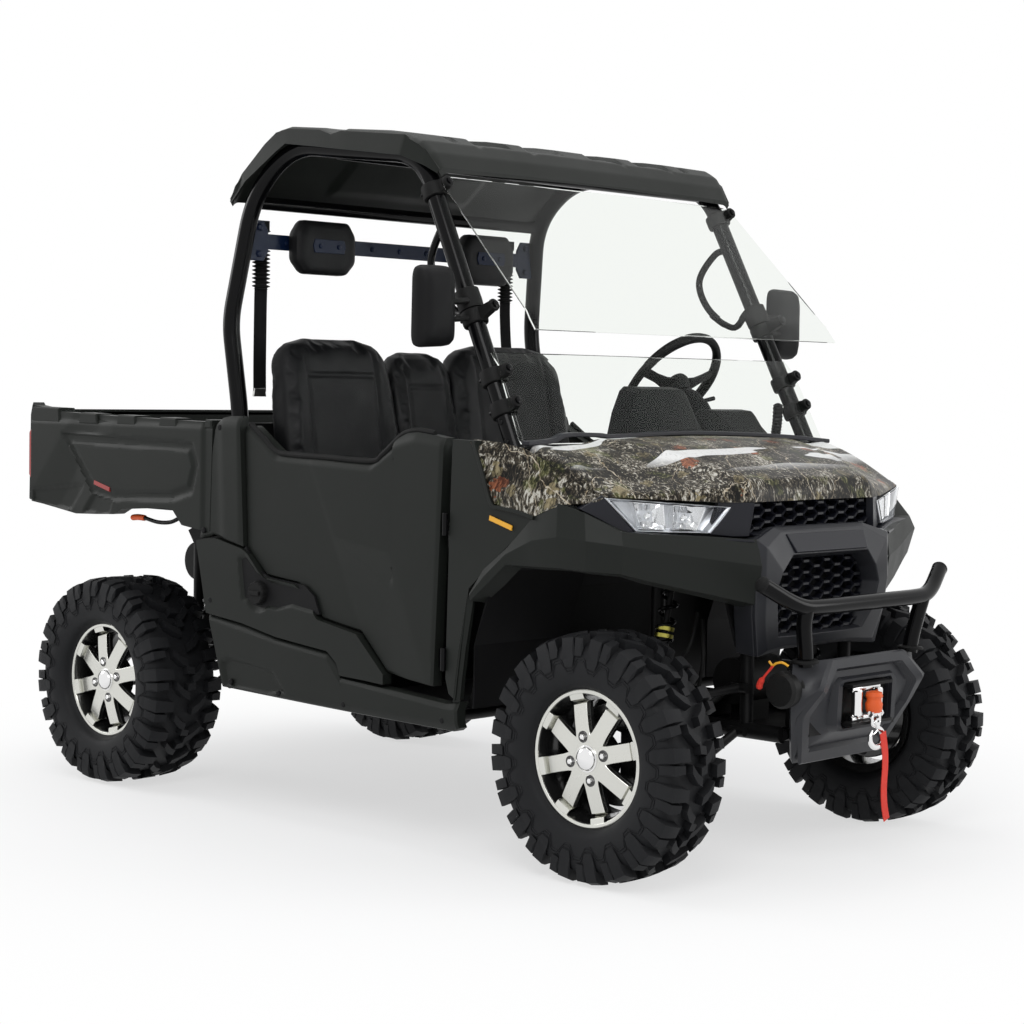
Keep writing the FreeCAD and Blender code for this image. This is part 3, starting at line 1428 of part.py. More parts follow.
def bumper():
    """The moulded winch cover with its window, open behind."""
    body = new_body("bumper")
    half = s.bumper_half_width

    def ring(margin, wide, cut):
        low, high = s.bumper_bottom + margin, s.bumper_top - margin
        return [(-wide + cut, low), (wide - cut, low), (wide, low + cut), (wide, high - cut * 1.5),
                (wide - cut, high), (-wide + cut, high), (-wide, high - cut * 1.5), (-wide, low + cut)]

    pad(body, "cover", "YZ_Plane", [ring(s.skin * 0, half, s.bumper_shoulder)], s.bumper_rear, s.bumper_front - s.bumper_rear)
    depth = s.bumper_front - s.bumper_rear - s.bumper_wall
    inner = ring(s.bumper_wall, s.rail_offset + s.rail_radius + s.pin_gap, s.bumper_wall / 2)
    pocket(body, "hollow", "YZ_Plane", [inner], s.bumper_rear, depth, True)
    wide = s.bumper_window_half_width
    window = rectangle(-wide, wide, s.bumper_window_bottom, s.bumper_window_top)
    pocket(body, "window", "YZ_Plane", [window], s.bumper_rear, s.bumper_front - s.bumper_rear + s.overrun, True)
    reach = s.winch_motor_radius + s.panel_gap
    notch = rectangle(s.bumper_rear - s.overrun, s.winch_place + reach, s.winch_height - reach,
                      s.winch_height + reach)
    pocket(body, "motor_notch", "XZ_Plane", [notch], -half - s.overrun, half * 2 + s.overrun * 2, True)
    return keep(body, "bumper")


def brush_guard():
    """The bent guard tube on two posts that stand in the bumper."""
    y = float(s.guard_half_width)
    bend_y = float(s.guard_bend_half_width)
    front = float(s.guard_front)
    height = float(s.guard_height)
    radius = float(s.guard_tube_radius)
    back = radius * 2
    points = [Vector(front - back, -y, height + back), Vector(front, -bend_y, height), Vector(front, bend_y, height),
              Vector(front - back, y, height + back)]
    pieces = [bent_tube(points, radius, back)]
    post_y = float(s.guard_post_half_width)
    for side in (RIGHT, LEFT):
        foot = Vector(float(s.guard_post_front), side * (post_y - radius), float(s.bumper_top) - float(s.bumper_wall))
        pieces.append(rod(foot, Vector(front, side * post_y, height), radius))
    whole = fused(pieces).cut(box(s.bumper_rear, s.bumper_front, -s.guard_half_width, s.guard_half_width,
                                  s.bumper_bottom, s.bumper_top))
    return keep(shape_feature("brush_guard", whole), "brush_guard")


def winch():
    """The winch: drum between motor and gearbox, its fairlead in the bumper's window and its hook."""
    x = float(s.winch_place)
    height = float(s.winch_height)
    long = float(s.winch_half_length)
    motor = s.winch_motor_radius
    inner = float(s.fairlead_half_width)
    pieces = [rod(Vector(x, -inner, height), Vector(x, inner, height), s.winch_drum_radius)]
    for side in (RIGHT, LEFT):
        pieces.append(rod(Vector(x, side * inner, height), Vector(x, side * long, height), motor))
    middle = float(s.fairlead_middle)
    tall = float(s.fairlead_height) / 2
    face = float(s.bumper_front) - float(s.bumper_wall)
    thick = float(s.fairlead_thickness)
    pieces.append(box(face - thick, face, -inner, inner, middle - tall, middle + tall))
    pieces.append(box(x, face - thick, -inner, inner, middle - thick, middle + thick))
    hook = float(s.hook_radius)
    front = float(s.half_length)
    wire = float(s.hook_wire)
    pieces.append(box(face, front - wire, -hook, hook, middle - hook / 2, middle + hook / 2))
    pieces.append(box(front - wire, front, -hook, hook, middle - hook * 3, middle + hook / 2))
    return keep(shape_feature("winch", fused(pieces)), "winch")


def hook_strap():
    """The short pull strap that hangs from the hook."""
    wide = float(s.strap_width) / 2
    thick = float(s.strap_thickness)
    top = float(s.fairlead_middle) - float(s.hook_radius) * 3
    face = float(s.half_length) - float(s.hook_wire) / 2
    strap = box(face - thick / 2, face + thick / 2, -wide, wide, top - float(s.strap_length), top)
    return keep(shape_feature("hook_strap", strap), "hook_strap")


def floor():
    """The floor tub: seat box, foot well, toe board and firewall, one folded sheet."""
    w = s.floor_wall
    low = s.rail_height + s.rail_radius + s.pin_gap
    high = s.dash_bottom - s.pin_gap
    outline = [
        (s.seat_base_rear, low), (s.seat_base_rear, s.seat_base_top), (s.seat_base_front, s.seat_base_top),
        (s.seat_base_front, low + w), (s.toe_board_foot, low + w),
        (s.toe_board_head, s.toe_board_top), (s.firewall, high), (s.firewall + w, high),
        (s.toe_board_head + w, s.toe_board_top - w), (s.toe_board_foot + w, low),
        (s.seat_base_front - w, low), (s.seat_base_front - w, s.seat_base_top - w),
        (s.seat_base_rear + w, s.seat_base_top - w), (s.seat_base_rear + w, low),
    ]
    return keep(across_profile("floor", outline, s.floor_half_width), "floor")


def seat_cushions():
    """Three seat pads side by side on the seat box."""
    solids = []
    for middle, width in seat_places():
        solids.append(box(s.seat_back_foot, s.seat_cushion_front, middle - width / 2, middle + width / 2,
                          s.seat_base_top + s.pin_gap, s.seat_cushion_top))
    return keep(shape_feature("seat_cushions", group(solids)), "seat_cushions")


def seat_places():
    """Middle and width of each seat, from right to left."""
    wide = float(s.seat_back_width)
    middle = float(s.seat_middle_width)
    offset = float(s.seat_offset)
    return [(-offset, wide), (0.0, middle), (offset, wide)]


def seat_backs():
    """Three leaning back pads."""
    solids = []
    foot_x = float(s.seat_back_foot) - float(s.pin_gap)
    head_x = float(s.seat_back_head)
    deep = float(s.seat_back_depth)
    low = float(s.seat_base_top) + float(s.pin_gap)
    for middle, width in seat_places():
        high = float(s.seat_back_top if middle else s.seat_middle_top)
        side = [Vector(foot_x, middle - width / 2, low), Vector(foot_x - deep, middle - width / 2, low),
                Vector(head_x - deep / 2, middle - width / 2, high), Vector(head_x, middle - width / 2, high)]
        solids.append(loft([side, [point + Vector(0, width, 0) for point in side]]))
    return keep(shape_feature("seat_backs", group(solids)), "seat_backs")


def headrests():
    """Two head pads on the headrest bar."""
    face = headrest_bar_face() + float(s.pin_gap)
    wide = float(s.headrest_width) / 2
    tall = float(s.headrest_height) / 2
    height = float(s.headrest_bar_height)
    solids = []
    for side in (RIGHT, LEFT):
        middle = side * float(s.headrest_offset)
        solids.append(box(face, face + float(s.headrest_depth), middle - wide, middle + wide, height - tall,
                          height + tall))
    return keep(shape_feature("headrests", group(solids)), "headrests")


def seat_belts():
    """The outer belts: a boot at the bracket and webbing down to the latch tongue."""
    face = headrest_bar_face() + float(s.pin_gap)
    half = float(s.belt_width) / 2
    thick = float(s.belt_thickness)
    solids = []
    for side in (RIGHT, LEFT):
        middle = side * float(s.belt_offset)
        boot = box(face, face + half, middle - half, middle + half, s.belt_boot_bottom, s.belt_boot_top)
        web = box(face + half / 2, face + half / 2 + thick, middle - half, middle + half, s.belt_bottom,
                  s.belt_boot_bottom)
        solids.append(boot.fuse(web))
    return keep(shape_feature("seat_belts", group(solids)), "seat_belts")


def mirrors():
    """Two mirrors on short arms from the front pillars."""
    solids = []
    x = float(s.mirror_place)
    wide = float(s.mirror_width) / 2
    tall = float(s.mirror_tall) / 2
    middle = float(s.mirror_offset)
    height = float(s.mirror_height)
    deep = float(s.mirror_depth)
    back = [Vector(x, middle - wide, height - tall), Vector(x, middle + wide, height - tall),
            Vector(x, middle + wide, height + tall), Vector(x, middle - wide, height + tall)]
    front = [Vector(x + deep, middle + (point.y - middle) * 0.7, height + (point.z - height) * 0.8) for point in back]
    pillar = pillar_at(height)
    start = pillar + Vector(0, float(s.cage_tube_radius) + float(s.pin_gap), 0)
    arm = rod(start, Vector(pillar.x, middle, height), s.mirror_arm_radius)
    housing = loft([back, front]).fuse(arm)
    return keep(shape_feature("mirrors", group([housing, to_side(housing, RIGHT)])), "mirrors")


def engine_bottom():
    """The engine's underside, on its mounts above the rails."""
    return float(s.rail_height) + float(s.engine_lift) + float(s.pin_gap)


def engine():
    """The engine and gearbox as one plain block behind the seats."""
    half = s.engine_half_width
    block = box(s.engine_rear, s.engine_front, -half, half, engine_bottom(), s.engine_top)
    return keep(shape_feature("engine", block), "engine")


def exhaust():
    """The muffler, laid across behind the rear axle."""
    long = float(s.muffler_half_length)
    x, z = float(s.muffler_place), float(s.muffler_height)
    pipe_y = -float(s.exhaust_pipe_offset)
    engine_end = Vector(float(s.engine_rear) - float(s.pin_gap), pipe_y, float(s.exhaust_pipe_height))
    pipe = rod(engine_end, Vector(x, pipe_y, engine_end.z), s.exhaust_pipe_radius)
    whole = fused([rod(Vector(x, -long, z), Vector(x, long, z), s.muffler_radius), pipe])
    return keep(shape_feature("exhaust", whole), "exhaust")


def radiator():
    """The radiator behind the lower grille."""
    half = s.radiator_half_width
    front = axle_front + s.arm_spread - s.cross_tube - s.pin_gap
    core = box(front - s.radiator_depth, front, -half, half, s.radiator_bottom, s.radiator_top)
    return keep(shape_feature("radiator", core), "radiator")


def fuel_cap():
    """The fuel cap on the right rear quarter."""
    y = -(float(s.body_half_width))
    start = Vector(float(s.fuel_cap_place), y, float(s.fuel_cap_height))
    cap = Part.makeCylinder(float(s.fuel_cap_radius), float(s.fuel_cap_depth) / 2, start, Vector(0, -1, 0))
    return keep(shape_feature("fuel_cap", cap), "fuel_cap")


# share of the bed side's length and height, from the rear bottom along the underside
BED_SIDE_SHARES = [(0, 0.09), (0.27, 0.015), (0.485, 0.03), (0.53, 0.12), (0.745, 0.13), (0.8, 0.04), (0.84, 0),
                   (0.985, 0), (1.0, 0.82), (0.99, 0.88), (0, 1.0)]
# the same for the groove round the side's raised field: its outer and its inner edge
BED_FIELD_SHARES = [(0.178, 0.73), (0.896, 0.696), (0.924, 0.516), (0.896, 0.27), (0.79, 0.197), (0.468, 0.162),
                    (0.35, 0.209), (0.217, 0.632)]
BED_ISLAND_SHARES = [(0.228, 0.649), (0.877, 0.626), (0.896, 0.501), (0.874, 0.328), (0.78, 0.261), (0.473, 0.232),
                     (0.368, 0.27)]
BED_FLOOR_GROOVES = 9


def bed():
    """The dump bed: a deep tub open at the tailgate, with channels that rest on the frame."""
    body = new_body("bed_tub")
    half = s.bed_half_width
    outline = placed(BED_SIDE_SHARES, s.bed_rear, s.bed_front, s.bed_bottom, s.bed_top)
    sill_top = s.tailgate_bottom - s.tailgate_sill_gap
    shaped = [(s.bed_sill_rear, sill_top), (s.bed_sill_rear, s.bed_bottom + s.bed_wall)]
    shaped += outline[:-1] + [(s.bed_rear, s.bed_top), (s.bed_rear, sill_top)]
    pad(body, "tub", "XZ_Plane", [shaped], -half, half * 2)
    floor_rear = s.bed_rear + s.tailgate_thickness + s.tailgate_gap
    hollow = [(s.bed_rear - s.overrun, sill_top), (floor_rear, sill_top), (floor_rear, s.bed_floor),
              (s.bed_front - s.bed_wall, s.bed_floor), (s.bed_front - s.bed_wall, s.bed_top + s.overrun),
              (s.bed_rear - s.overrun, s.bed_top + s.overrun)]
    inner = half - s.bed_wall
    pocket(body, "hollow", "XZ_Plane", [hollow], -inner, inner * 2, True)
    field, island = (placed(shares, s.bed_rear, s.bed_front, s.bed_bottom, s.bed_top)
                     for shares in (BED_FIELD_SHARES, BED_ISLAND_SHARES))
    deep = s.bed_groove_depth
    pocket(body, "left_field", "XZ_Plane", [field, island], -half - s.overrun, deep + s.overrun, True)
    pocket(body, "right_field", "XZ_Plane", [field, island], half - deep, deep + s.overrun, True)
    floor_run = s.bed_front - s.bed_wall - floor_rear
    grooves = []
    for place in range(BED_FLOOR_GROOVES):
        start = floor_rear + floor_run * (place + 1) / (BED_FLOOR_GROOVES + 1) - s.bed_groove_width / 2
        grooves.append(rectangle(start, start + s.bed_groove_width, -inner + s.bed_groove_margin,
                                 inner - s.bed_groove_margin))
    pocket(body, "floor_grooves", "XY_Plane", grooves, s.bed_floor + s.overrun, deep + s.overrun)
    channels = []
    low = float(s.bed_rail_height) + float(s.rail_radius) + float(s.pin_gap)
    wide = float(s.bed_channel_half_width)
    for side in (RIGHT, LEFT):
        y = side * float(s.post_offset)
        channels.append(box(s.bed_pivot_place, s.bed_front - s.bed_wall, y - wide, y + wide, low,
                            s.bed_floor - s.bed_groove_depth - s.skin))
    for side in (RIGHT, LEFT):
        channels.append(to_side(tailgate_pin(s.tailgate_pin_radius), side))
    rails = shape_feature("bed_channels", group(channels))
    return keep(fusion("bed", [body, rails]), "bed")


def tailgate_pin(radius):
    """The left hinge pin at the tailgate's foot."""
    x, z = tailgate_pivot()
    wall = float(s.bed_half_width) - float(s.bed_wall)
    return rod(Vector(x, wall - float(s.tailgate_pin_length), z), Vector(x, wall + float(s.bed_wall) / 2, z), radius)


def tailgate_pivot():
    """Where the tailgate's hinge line lies, seen from the side."""
    x = float(s.bed_rear) + float(s.tailgate_thickness) / 2
    return x, float(s.tailgate_bottom) + float(s.tailgate_pivot_rise)


def tailgate():
    """The tailgate between the bed's sides, hinged along its foot."""
    gap = float(s.tailgate_gap)
    half = float(s.bed_half_width) - float(s.bed_wall) - gap
    rear = float(s.bed_rear)
    gate = box(rear, rear + float(s.tailgate_thickness), -half, half, s.tailgate_bottom, s.bed_top)
    for side in (RIGHT, LEFT):
        gate = gate.cut(to_side(tailgate_pin(float(s.tailgate_pin_radius) + float(s.pin_gap)), side))
    return keep(shape_feature("tailgate", gate), "tailgate")


def bed_latch():
    """The bed's release lever, hung under the bed's right side."""
    y, z = -float(s.latch_offset), float(s.latch_height)
    rear, front = float(s.latch_rear), float(s.latch_front)
    pieces = [rod(Vector(rear, y, z), Vector(front, y, z), s.latch_radius)]
    hang = rear + float(s.latch_radius) * 2
    share = 0.12
    top = float(s.bed_bottom) + (float(s.bed_top) - float(s.bed_bottom)) * share
    pieces.append(rod(Vector(hang, y, z), Vector(hang, y, top), s.latch_radius))
    return keep(shape_feature("bed_latch", fused(pieces)), "bed_latch")


def wheel_liners():
    """The inner fenders behind and over the front wheels."""
    thick = s.skin
    height = cowl_tube_height() - float(s.cross_tube) - float(s.pin_gap)
    outline = [(s.liner_rear, s.liner_bottom), (s.liner_rear, s.liner_knee), (s.liner_slope, s.liner_slope_height),
               (s.liner_top_rear, height), (s.liner_front, height), (s.liner_front, height - float(thick)),
               (s.liner_top_rear + thick, height - float(thick)), (s.liner_slope + thick, s.liner_slope_height - thick),
               (s.liner_rear + thick, s.liner_knee), (s.liner_rear + thick, s.liner_bottom)]
    inner, outer = float(s.liner_inner), float(s.liner_outer)
    points = [Vector(number_of(x), inner, number_of(z)) for x, z in outline]
    solid = loft([points, [point + Vector(0, outer - inner, 0) for point in points]])
    return keep(shape_feature("wheel_liners", group([solid, to_side(solid, RIGHT)])), "wheel_liners")


def windshield_clamps():
    """Clamps that hold both clear panels to the front pillars, with the upper panel's props."""
    thick = float(s.pin_gap)
    upper = (vector(s.upper_glass_rear, 0, s.upper_glass_top), vector(s.upper_glass_front, 0, s.upper_glass_bottom))
    lower = (vector(s.lower_glass_fold_front, 0, s.lower_glass_fold), vector(s.lower_glass_front, 0,
                                                                            s.lower_glass_bottom))
    solids = []
    for height, panel in ((s.upper_clamp_height, upper), (s.lower_clamp_top, lower), (s.lower_clamp_low, lower)):
        pillar = pillar_at(float(height))
        normal, distance = glass_normal(panel, pillar)
        solids.append(clamp(pillar, [pillar + normal * (distance - thick)]))
    pillar = pillar_at(float(s.prop_clamp_height))
    share = (upper[0].z - float(s.prop_glass_height)) / (upper[0].z - upper[1].z)
    foot = upper[0] + (upper[1] - upper[0]) * share
    foot.y = pillar.y
    normal, distance = glass_normal(upper, pillar)
    solids.append(clamp(pillar, [foot - normal * float(s.prop_reach), foot - normal * thick]))
    both = solids + [to_side(solid, RIGHT) for solid in solids]
    return keep(shape_feature("windshield_clamps", group(both)), "windshield_clamps")


def glass_normal(panel, pillar):
    """The forward normal of a panel's back face and its distance from a pillar's middle."""
    run = (panel[1] - panel[0]).normalize()
    normal = Vector(-run.z, 0, run.x)
    apart = panel[0] - pillar
    return normal, apart.x * normal.x + apart.z * normal.z


def clamp(pillar, route):
    """A split ring round the left front pillar with a stem along a route to the glass."""
    foot, run = cage_front_line()
    long = float(s.clamp_length)
    start = pillar - run * (long / 2)
    ring = rod(start, start + run * long, s.clamp_radius)
    stem = float(s.clamp_stem)
    last = pillar
    for point in route:
        ring = ring.fuse(rod(last, point, stem))
        if point is not route[-1]:
            ring = ring.fuse(Part.makeSphere(stem, point))
        last = point
    reach = run * (long * 2)
    return ring.cut(rod(pillar - reach, pillar + reach, float(s.cage_tube_radius) + float(s.pin_gap)))


def tail_lamps():
    """Two upright lamps on the bed's rear corners."""
    rear = float(s.bed_rear)
    outer = float(s.bed_half_width)
    lamp = box(rear - float(s.tail_lamp_depth), rear, outer - float(s.tail_lamp_width), outer, s.tail_lamp_bottom,
               s.tail_lamp_top)
    return keep(shape_feature("tail_lamps", group([lamp, to_side(lamp, RIGHT)])), "tail_lamps")


def build():
    """Build every sub-part."""
    for end in AXLES:
        for side_name in SIDES:
            tyre(end, side_name)
            rim(end, side_name)
        suspension(end)
    for side_name in SIDES:
        knuckle(side_name)
        door(side_name)
        quarter(side_name)
        rocker(side_name)
        front_fender(side_name)
        hood_side(side_name)
    for piece in (shocks, drive_shafts, tie_rod, frame, cage, roof, hood, dash, steering_wheel, windshield_upper,
                  windshield_lower, front_fascia, grille, headlamps, bumper, brush_guard, winch, hook_strap, floor,
                  seat_cushions, seat_backs, headrests, seat_belts, mirrors, engine, exhaust, radiator, fuel_cap,
                  bed, tailgate, tail_lamps, bed_latch, wheel_liners, windshield_clamps):
        piece()


build()
doc.recompute()

faults = [item.Name for item in doc.Objects if "Invalid" in item.State or "Error" in item.State]
if faults:
    raise RuntimeError("objects that failed: " + ", ".join(faults))
for item in PARTS:
    if item.Shape.isNull() or not item.Shape.isValid() or item.Shape.Volume <= 0:
        raise RuntimeError("sub-part without a sound solid: " + item.Label)

os.makedirs("parts", exist_ok=True)
for item in PARTS:
    item.Shape.exportStep(f"parts/{item.Label}.step")
    print(item.Label, len(item.Shape.Solids), round(item.Shape.Volume / 1e6, 3))
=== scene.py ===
"""Finishes of a side by side utility vehicle around its construction model, laid out as an add-on."""
import math

import bpy
import numpy as np
from mathutils import Matrix, Vector


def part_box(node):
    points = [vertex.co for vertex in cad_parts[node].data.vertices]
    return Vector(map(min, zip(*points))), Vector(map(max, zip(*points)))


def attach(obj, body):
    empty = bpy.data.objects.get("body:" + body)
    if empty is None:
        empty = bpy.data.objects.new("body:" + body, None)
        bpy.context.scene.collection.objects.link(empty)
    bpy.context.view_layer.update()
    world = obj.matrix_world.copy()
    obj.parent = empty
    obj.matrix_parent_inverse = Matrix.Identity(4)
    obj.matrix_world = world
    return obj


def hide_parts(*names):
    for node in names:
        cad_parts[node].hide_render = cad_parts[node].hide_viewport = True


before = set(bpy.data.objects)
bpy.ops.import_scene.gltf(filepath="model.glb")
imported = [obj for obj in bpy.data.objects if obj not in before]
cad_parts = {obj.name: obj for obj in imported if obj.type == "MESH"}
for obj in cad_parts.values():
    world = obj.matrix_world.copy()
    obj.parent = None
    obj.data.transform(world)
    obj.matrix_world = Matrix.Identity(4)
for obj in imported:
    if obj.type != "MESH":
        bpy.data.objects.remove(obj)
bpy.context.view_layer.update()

bl_info = {
    "name": "Side by side vehicle finishes",
    "version": (1, 0, 0),
    "blender": (4, 5, 0),
    "location": "View3D > Sidebar > Vehicle",
    "description": "Dresses the construction model of a three-seat side by side vehicle",
    "category": "Object",
}

RIGHT = -1.0
LEFT = 1.0
SIDES = {"right": RIGHT, "left": LEFT}
CHASSIS = "chassis"

# the outer plane of the side panels, from the middle, and how thick moulded panels and clear sheets are
SIDE_PLANE = 0.705
DOOR_THICK = 0.036
PANEL_THICK = 0.034
SHEET_THICK = 0.0045


# Arrays and meshes


class Skin:
    """The points and faces of one piece, gathered part by part. Closed parts are turned to face outward."""

    def __init__(self):
        self.points = []
        self.faces = []
        self.count = 0

    def add(self, points, faces, closed=True):
        """Adds points (n, 3) and faces, lists of point numbers. A closed part whose signed volume is
        negative is turned round: the sum over triangles of a . (b x c) is six times the volume."""
        points = np.asarray(points, float).reshape(-1, 3)
        faces = [list(face) for face in faces]
        if closed:
            corners = np.array([(face[0], face[i], face[i + 1]) for face in faces
                                for i in range(1, len(face) - 1)])
            middle = points.mean(axis=0)
            a, b, c = (points[corners[:, k]] - middle for k in range(3))
            if np.einsum("ij,ij->i", a, np.cross(b, c)).sum() < 0:
                faces = [face[::-1] for face in faces]
        self.faces += [[number + self.count for number in face] for face in faces]
        self.points.append(points)
        self.count += len(points)
        return self

    def solid(self, rings):
        """A closed solid through rings (n, k, 3) of k points each, its ends closed by one face each."""
        rings = np.asarray(rings, float)
        n, k = rings.shape[:2]
        faces = strip_faces(n, k, across=True)
        faces += [list(range(k)), list(range((n - 1) * k, n * k))[::-1]]
        return self.add(rings.reshape(-1, 3), faces)

    def ring(self, rings):
        """A closed ring of rings (n, k, 3): the last joins the first, as in a torus."""
        n, k = np.asarray(rings).shape[:2]
        return self.add(rings, strip_faces(n, k, around=True, across=True))

    def shell(self, outer, inner):
        """A closed shell between two grids (n, m, 3) of the same size, joined round their edges."""
        n, m = np.asarray(outer).shape[:2]
        size = n * m
        front = strip_faces(n, m)
        back = [[number + size for number in face[::-1]] for face in front]
        rim = np.concatenate([np.arange(m), np.arange(2 * m, size, m) - 1,
                              np.arange(size - 1, size - m - 1, -1), np.arange(size - 2 * m, 0, -m)])
        after = np.roll(rim, -1)
        edge = [[a, b, b + size, a + size] for a, b in zip(rim.tolist(), after.tolist()) if a != b]
        return self.add(np.concatenate([np.reshape(outer, (-1, 3)), np.reshape(inner, (-1, 3))]),
                        front + back + edge)

    def both_sides(self):
        """The same parts again, mirrored in the middle plane."""
        points = np.concatenate(self.points) * (1, -1, 1)
        self.faces += [[number + self.count for number in face[::-1]] for face in self.faces]
        self.points.append(points)
        self.count *= 2
        return self


def full_turn(steps):
    """The angles of a full turn in even steps."""
    return np.linspace(0, 2 * np.pi, steps, endpoint=False)


def unit(vector):
    """The vector at length 1."""
    return vector / np.linalg.norm(vector)


def around_axle(angle):
    """Two unit vectors at an angle about the line across: outward, and along the turn."""
    return (np.array([math.cos(angle), 0, math.sin(angle)]), np.array([-math.sin(angle), 0, math.cos(angle)]))


def strip_faces(n, m, around=False, across=False):
    """Quads between the neighbours of an n by m grid, row by row."""
    rows = np.arange(n if around else n - 1)
    cols = np.arange(m if across else m - 1)
    i, j = np.meshgrid(rows, cols, indexing="ij")
    i2, j2 = (i + 1) % n, (j + 1) % m
    quads = np.stack([i * m + j, i2 * m + j, i2 * m + j2, i * m + j2], axis=-1)
    return quads.reshape(-1, 4).tolist()


def smoothed(points, steps):
    """Points on a polyline at even shares of its point numbers, as a Catmull-Rom curve: between points b
    and c with neighbours a and d it is the cubic through b and c whose slopes there are (c - a) / 2 and
    (d - b) / 2."""
    points = np.asarray(points, float)
    padded = np.concatenate([[2 * points[0] - points[1]], points, [2 * points[-1] - points[-2]]])
    t = np.linspace(0, len(points) - 1, steps)
    i = np.minimum(t.astype(int), len(points) - 2)
    f = (t - i)[:, None]
    a, b, c, d = (padded[i + k] for k in range(4))
    return b + 0.5 * f * (c - a + f * (2 * a - 5 * b + 4 * c - d + f * (3 * (b - c) + d - a)))


def along(points, places):
    """Points on a polyline at these shares, 0 to 1, of its length."""
    points = np.asarray(points, float)
    length = np.concatenate([[0], np.cumsum(np.linalg.norm(np.diff(points, axis=0), axis=1))])
    return np.stack([np.interp(np.asarray(places) * length[-1], length, points[:, k])
                     for k in range(points.shape[1])], axis=-1)


def rounded(points, radius, steps=6):
    """A polyline with each corner cut by a quadratic arc: (1-t)^2 a + 2t(1-t) corner + t^2 b, where a and b
    lie the radius before and after the corner, or a bit under half way where the run is short."""
    points = np.asarray(points, float)
    out = [points[:1]]
    t = np.linspace(0, 1, steps)[:, None]
    for before, corner, after in zip(points, points[1:], points[2:]):
        back, ahead = before - corner, after - corner
        a = corner + back * min(radius / np.linalg.norm(back), 0.49)
        b = corner + ahead * min(radius / np.linalg.norm(ahead), 0.49)
        out.append((1 - t) ** 2 * a + 2 * t * (1 - t) * corner + t ** 2 * b)
    out.append(points[-1:])
    return np.concatenate(out)


def frames_along(path):
    """For each point of a path (n, 3), a pair of unit vectors across it, carried along without twist:
    each pair is the one before less its part along the new direction."""
    path = np.asarray(path, float)
    run = np.gradient(path, axis=0)
    run /= np.linalg.norm(run, axis=1)[:, None]
    start = np.eye(3)[np.argmin(np.abs(run[0]))]
    sides = []
    for direction in run:
        start = start - direction * start.dot(direction)
        start = unit(start)
        sides.append(start)
    side = np.array(sides)
    return side, np.cross(run, side)


def tube(skin, path, radius, steps=16):
    """A round bar along a path: path + radius (cos a side + sin a up) for a from 0 to a full turn."""
    path = np.asarray(path, float)
    side, up = frames_along(path)
    turn = full_turn(steps)
    radius = np.broadcast_to(np.asarray(radius, float), len(path))[:, None, None]
    rings = path[:, None] + radius * (np.cos(turn)[None, :, None] * side[:, None]
                                      + np.sin(turn)[None, :, None] * up[:, None])
    return skin.solid(rings)


def ribbon(skin, path, width, thickness, across):
    """A flat strap along a path: a rectangle, width along the vector across, carried from point to point."""
    path = np.asarray(path, float)
    run = np.gradient(path, axis=0)
    wide = np.broadcast_to(np.asarray(across, float), path.shape)
    wide = wide - run * (np.einsum("ij,ij->i", wide, run) / np.einsum("ij,ij->i", run, run))[:, None]
    wide = wide / np.linalg.norm(wide, axis=1)[:, None] * width / 2
    out = np.cross(run, wide)
    out = out / np.linalg.norm(out, axis=1)[:, None] * thickness / 2
    return skin.solid(np.stack([path - wide - out, path + wide - out, path + wide + out, path - wide + out],
                               axis=1))


def spun(profile, middle, axis, steps):
    """A profile of (radius, along) pairs turned about an axis through a point, as points (steps, n, 3):
    middle + along axis + radius (cos a side + sin a up)."""
    profile = np.asarray(profile, float)
    axis = unit(np.asarray(axis, float))
    side = np.eye(3)[np.argmin(np.abs(axis))]
    side = unit(side - axis * side.dot(axis))
    up = np.cross(axis, side)
    turn = full_turn(steps)
    spokes = np.cos(turn)[:, None] * side + np.sin(turn)[:, None] * up
    return (np.asarray(middle, float) + profile[None, :, 1, None] * axis
            + profile[None, :, 0, None] * spokes[:, None])


def revolved(skin, profile, middle, axis=(0, 1, 0), steps=48):
    """A ring: a closed profile turned about an axis."""
    return skin.ring(spun(profile, middle, axis, steps))


def turned(skin, profile, middle, axis=(0, 1, 0), steps=48):
    """A solid: a profile that starts and ends at radius 0, turned about an axis."""
    points = spun(profile, middle, axis, steps)
    inner = points[:, 1:-1]
    k = inner.shape[1]
    faces = strip_faces(steps, k, around=True)
    low, high = steps * k, steps * k + 1
    for i in range(steps):
        j = (i + 1) % steps
        faces += [[low, j * k, i * k], [high, i * k + k - 1, j * k + k - 1]]
    return skin.add(np.concatenate([inner.reshape(-1, 3), points[0, [0, -1]]]), faces)


def rod(skin, start, end, radius, steps=16):
    """A round bar between two points with slightly rounded ends."""
    start, end = np.asarray(start, float), np.asarray(end, float)
    long = np.linalg.norm(end - start)
    soft = min(radius, long / 2) * 0.15
    profile = [(0, 0), (radius - soft, 0), (radius, soft), (radius, long - soft),
               (radius - soft, long), (0, long)]
    return turned(skin, profile, start, end - start, steps)


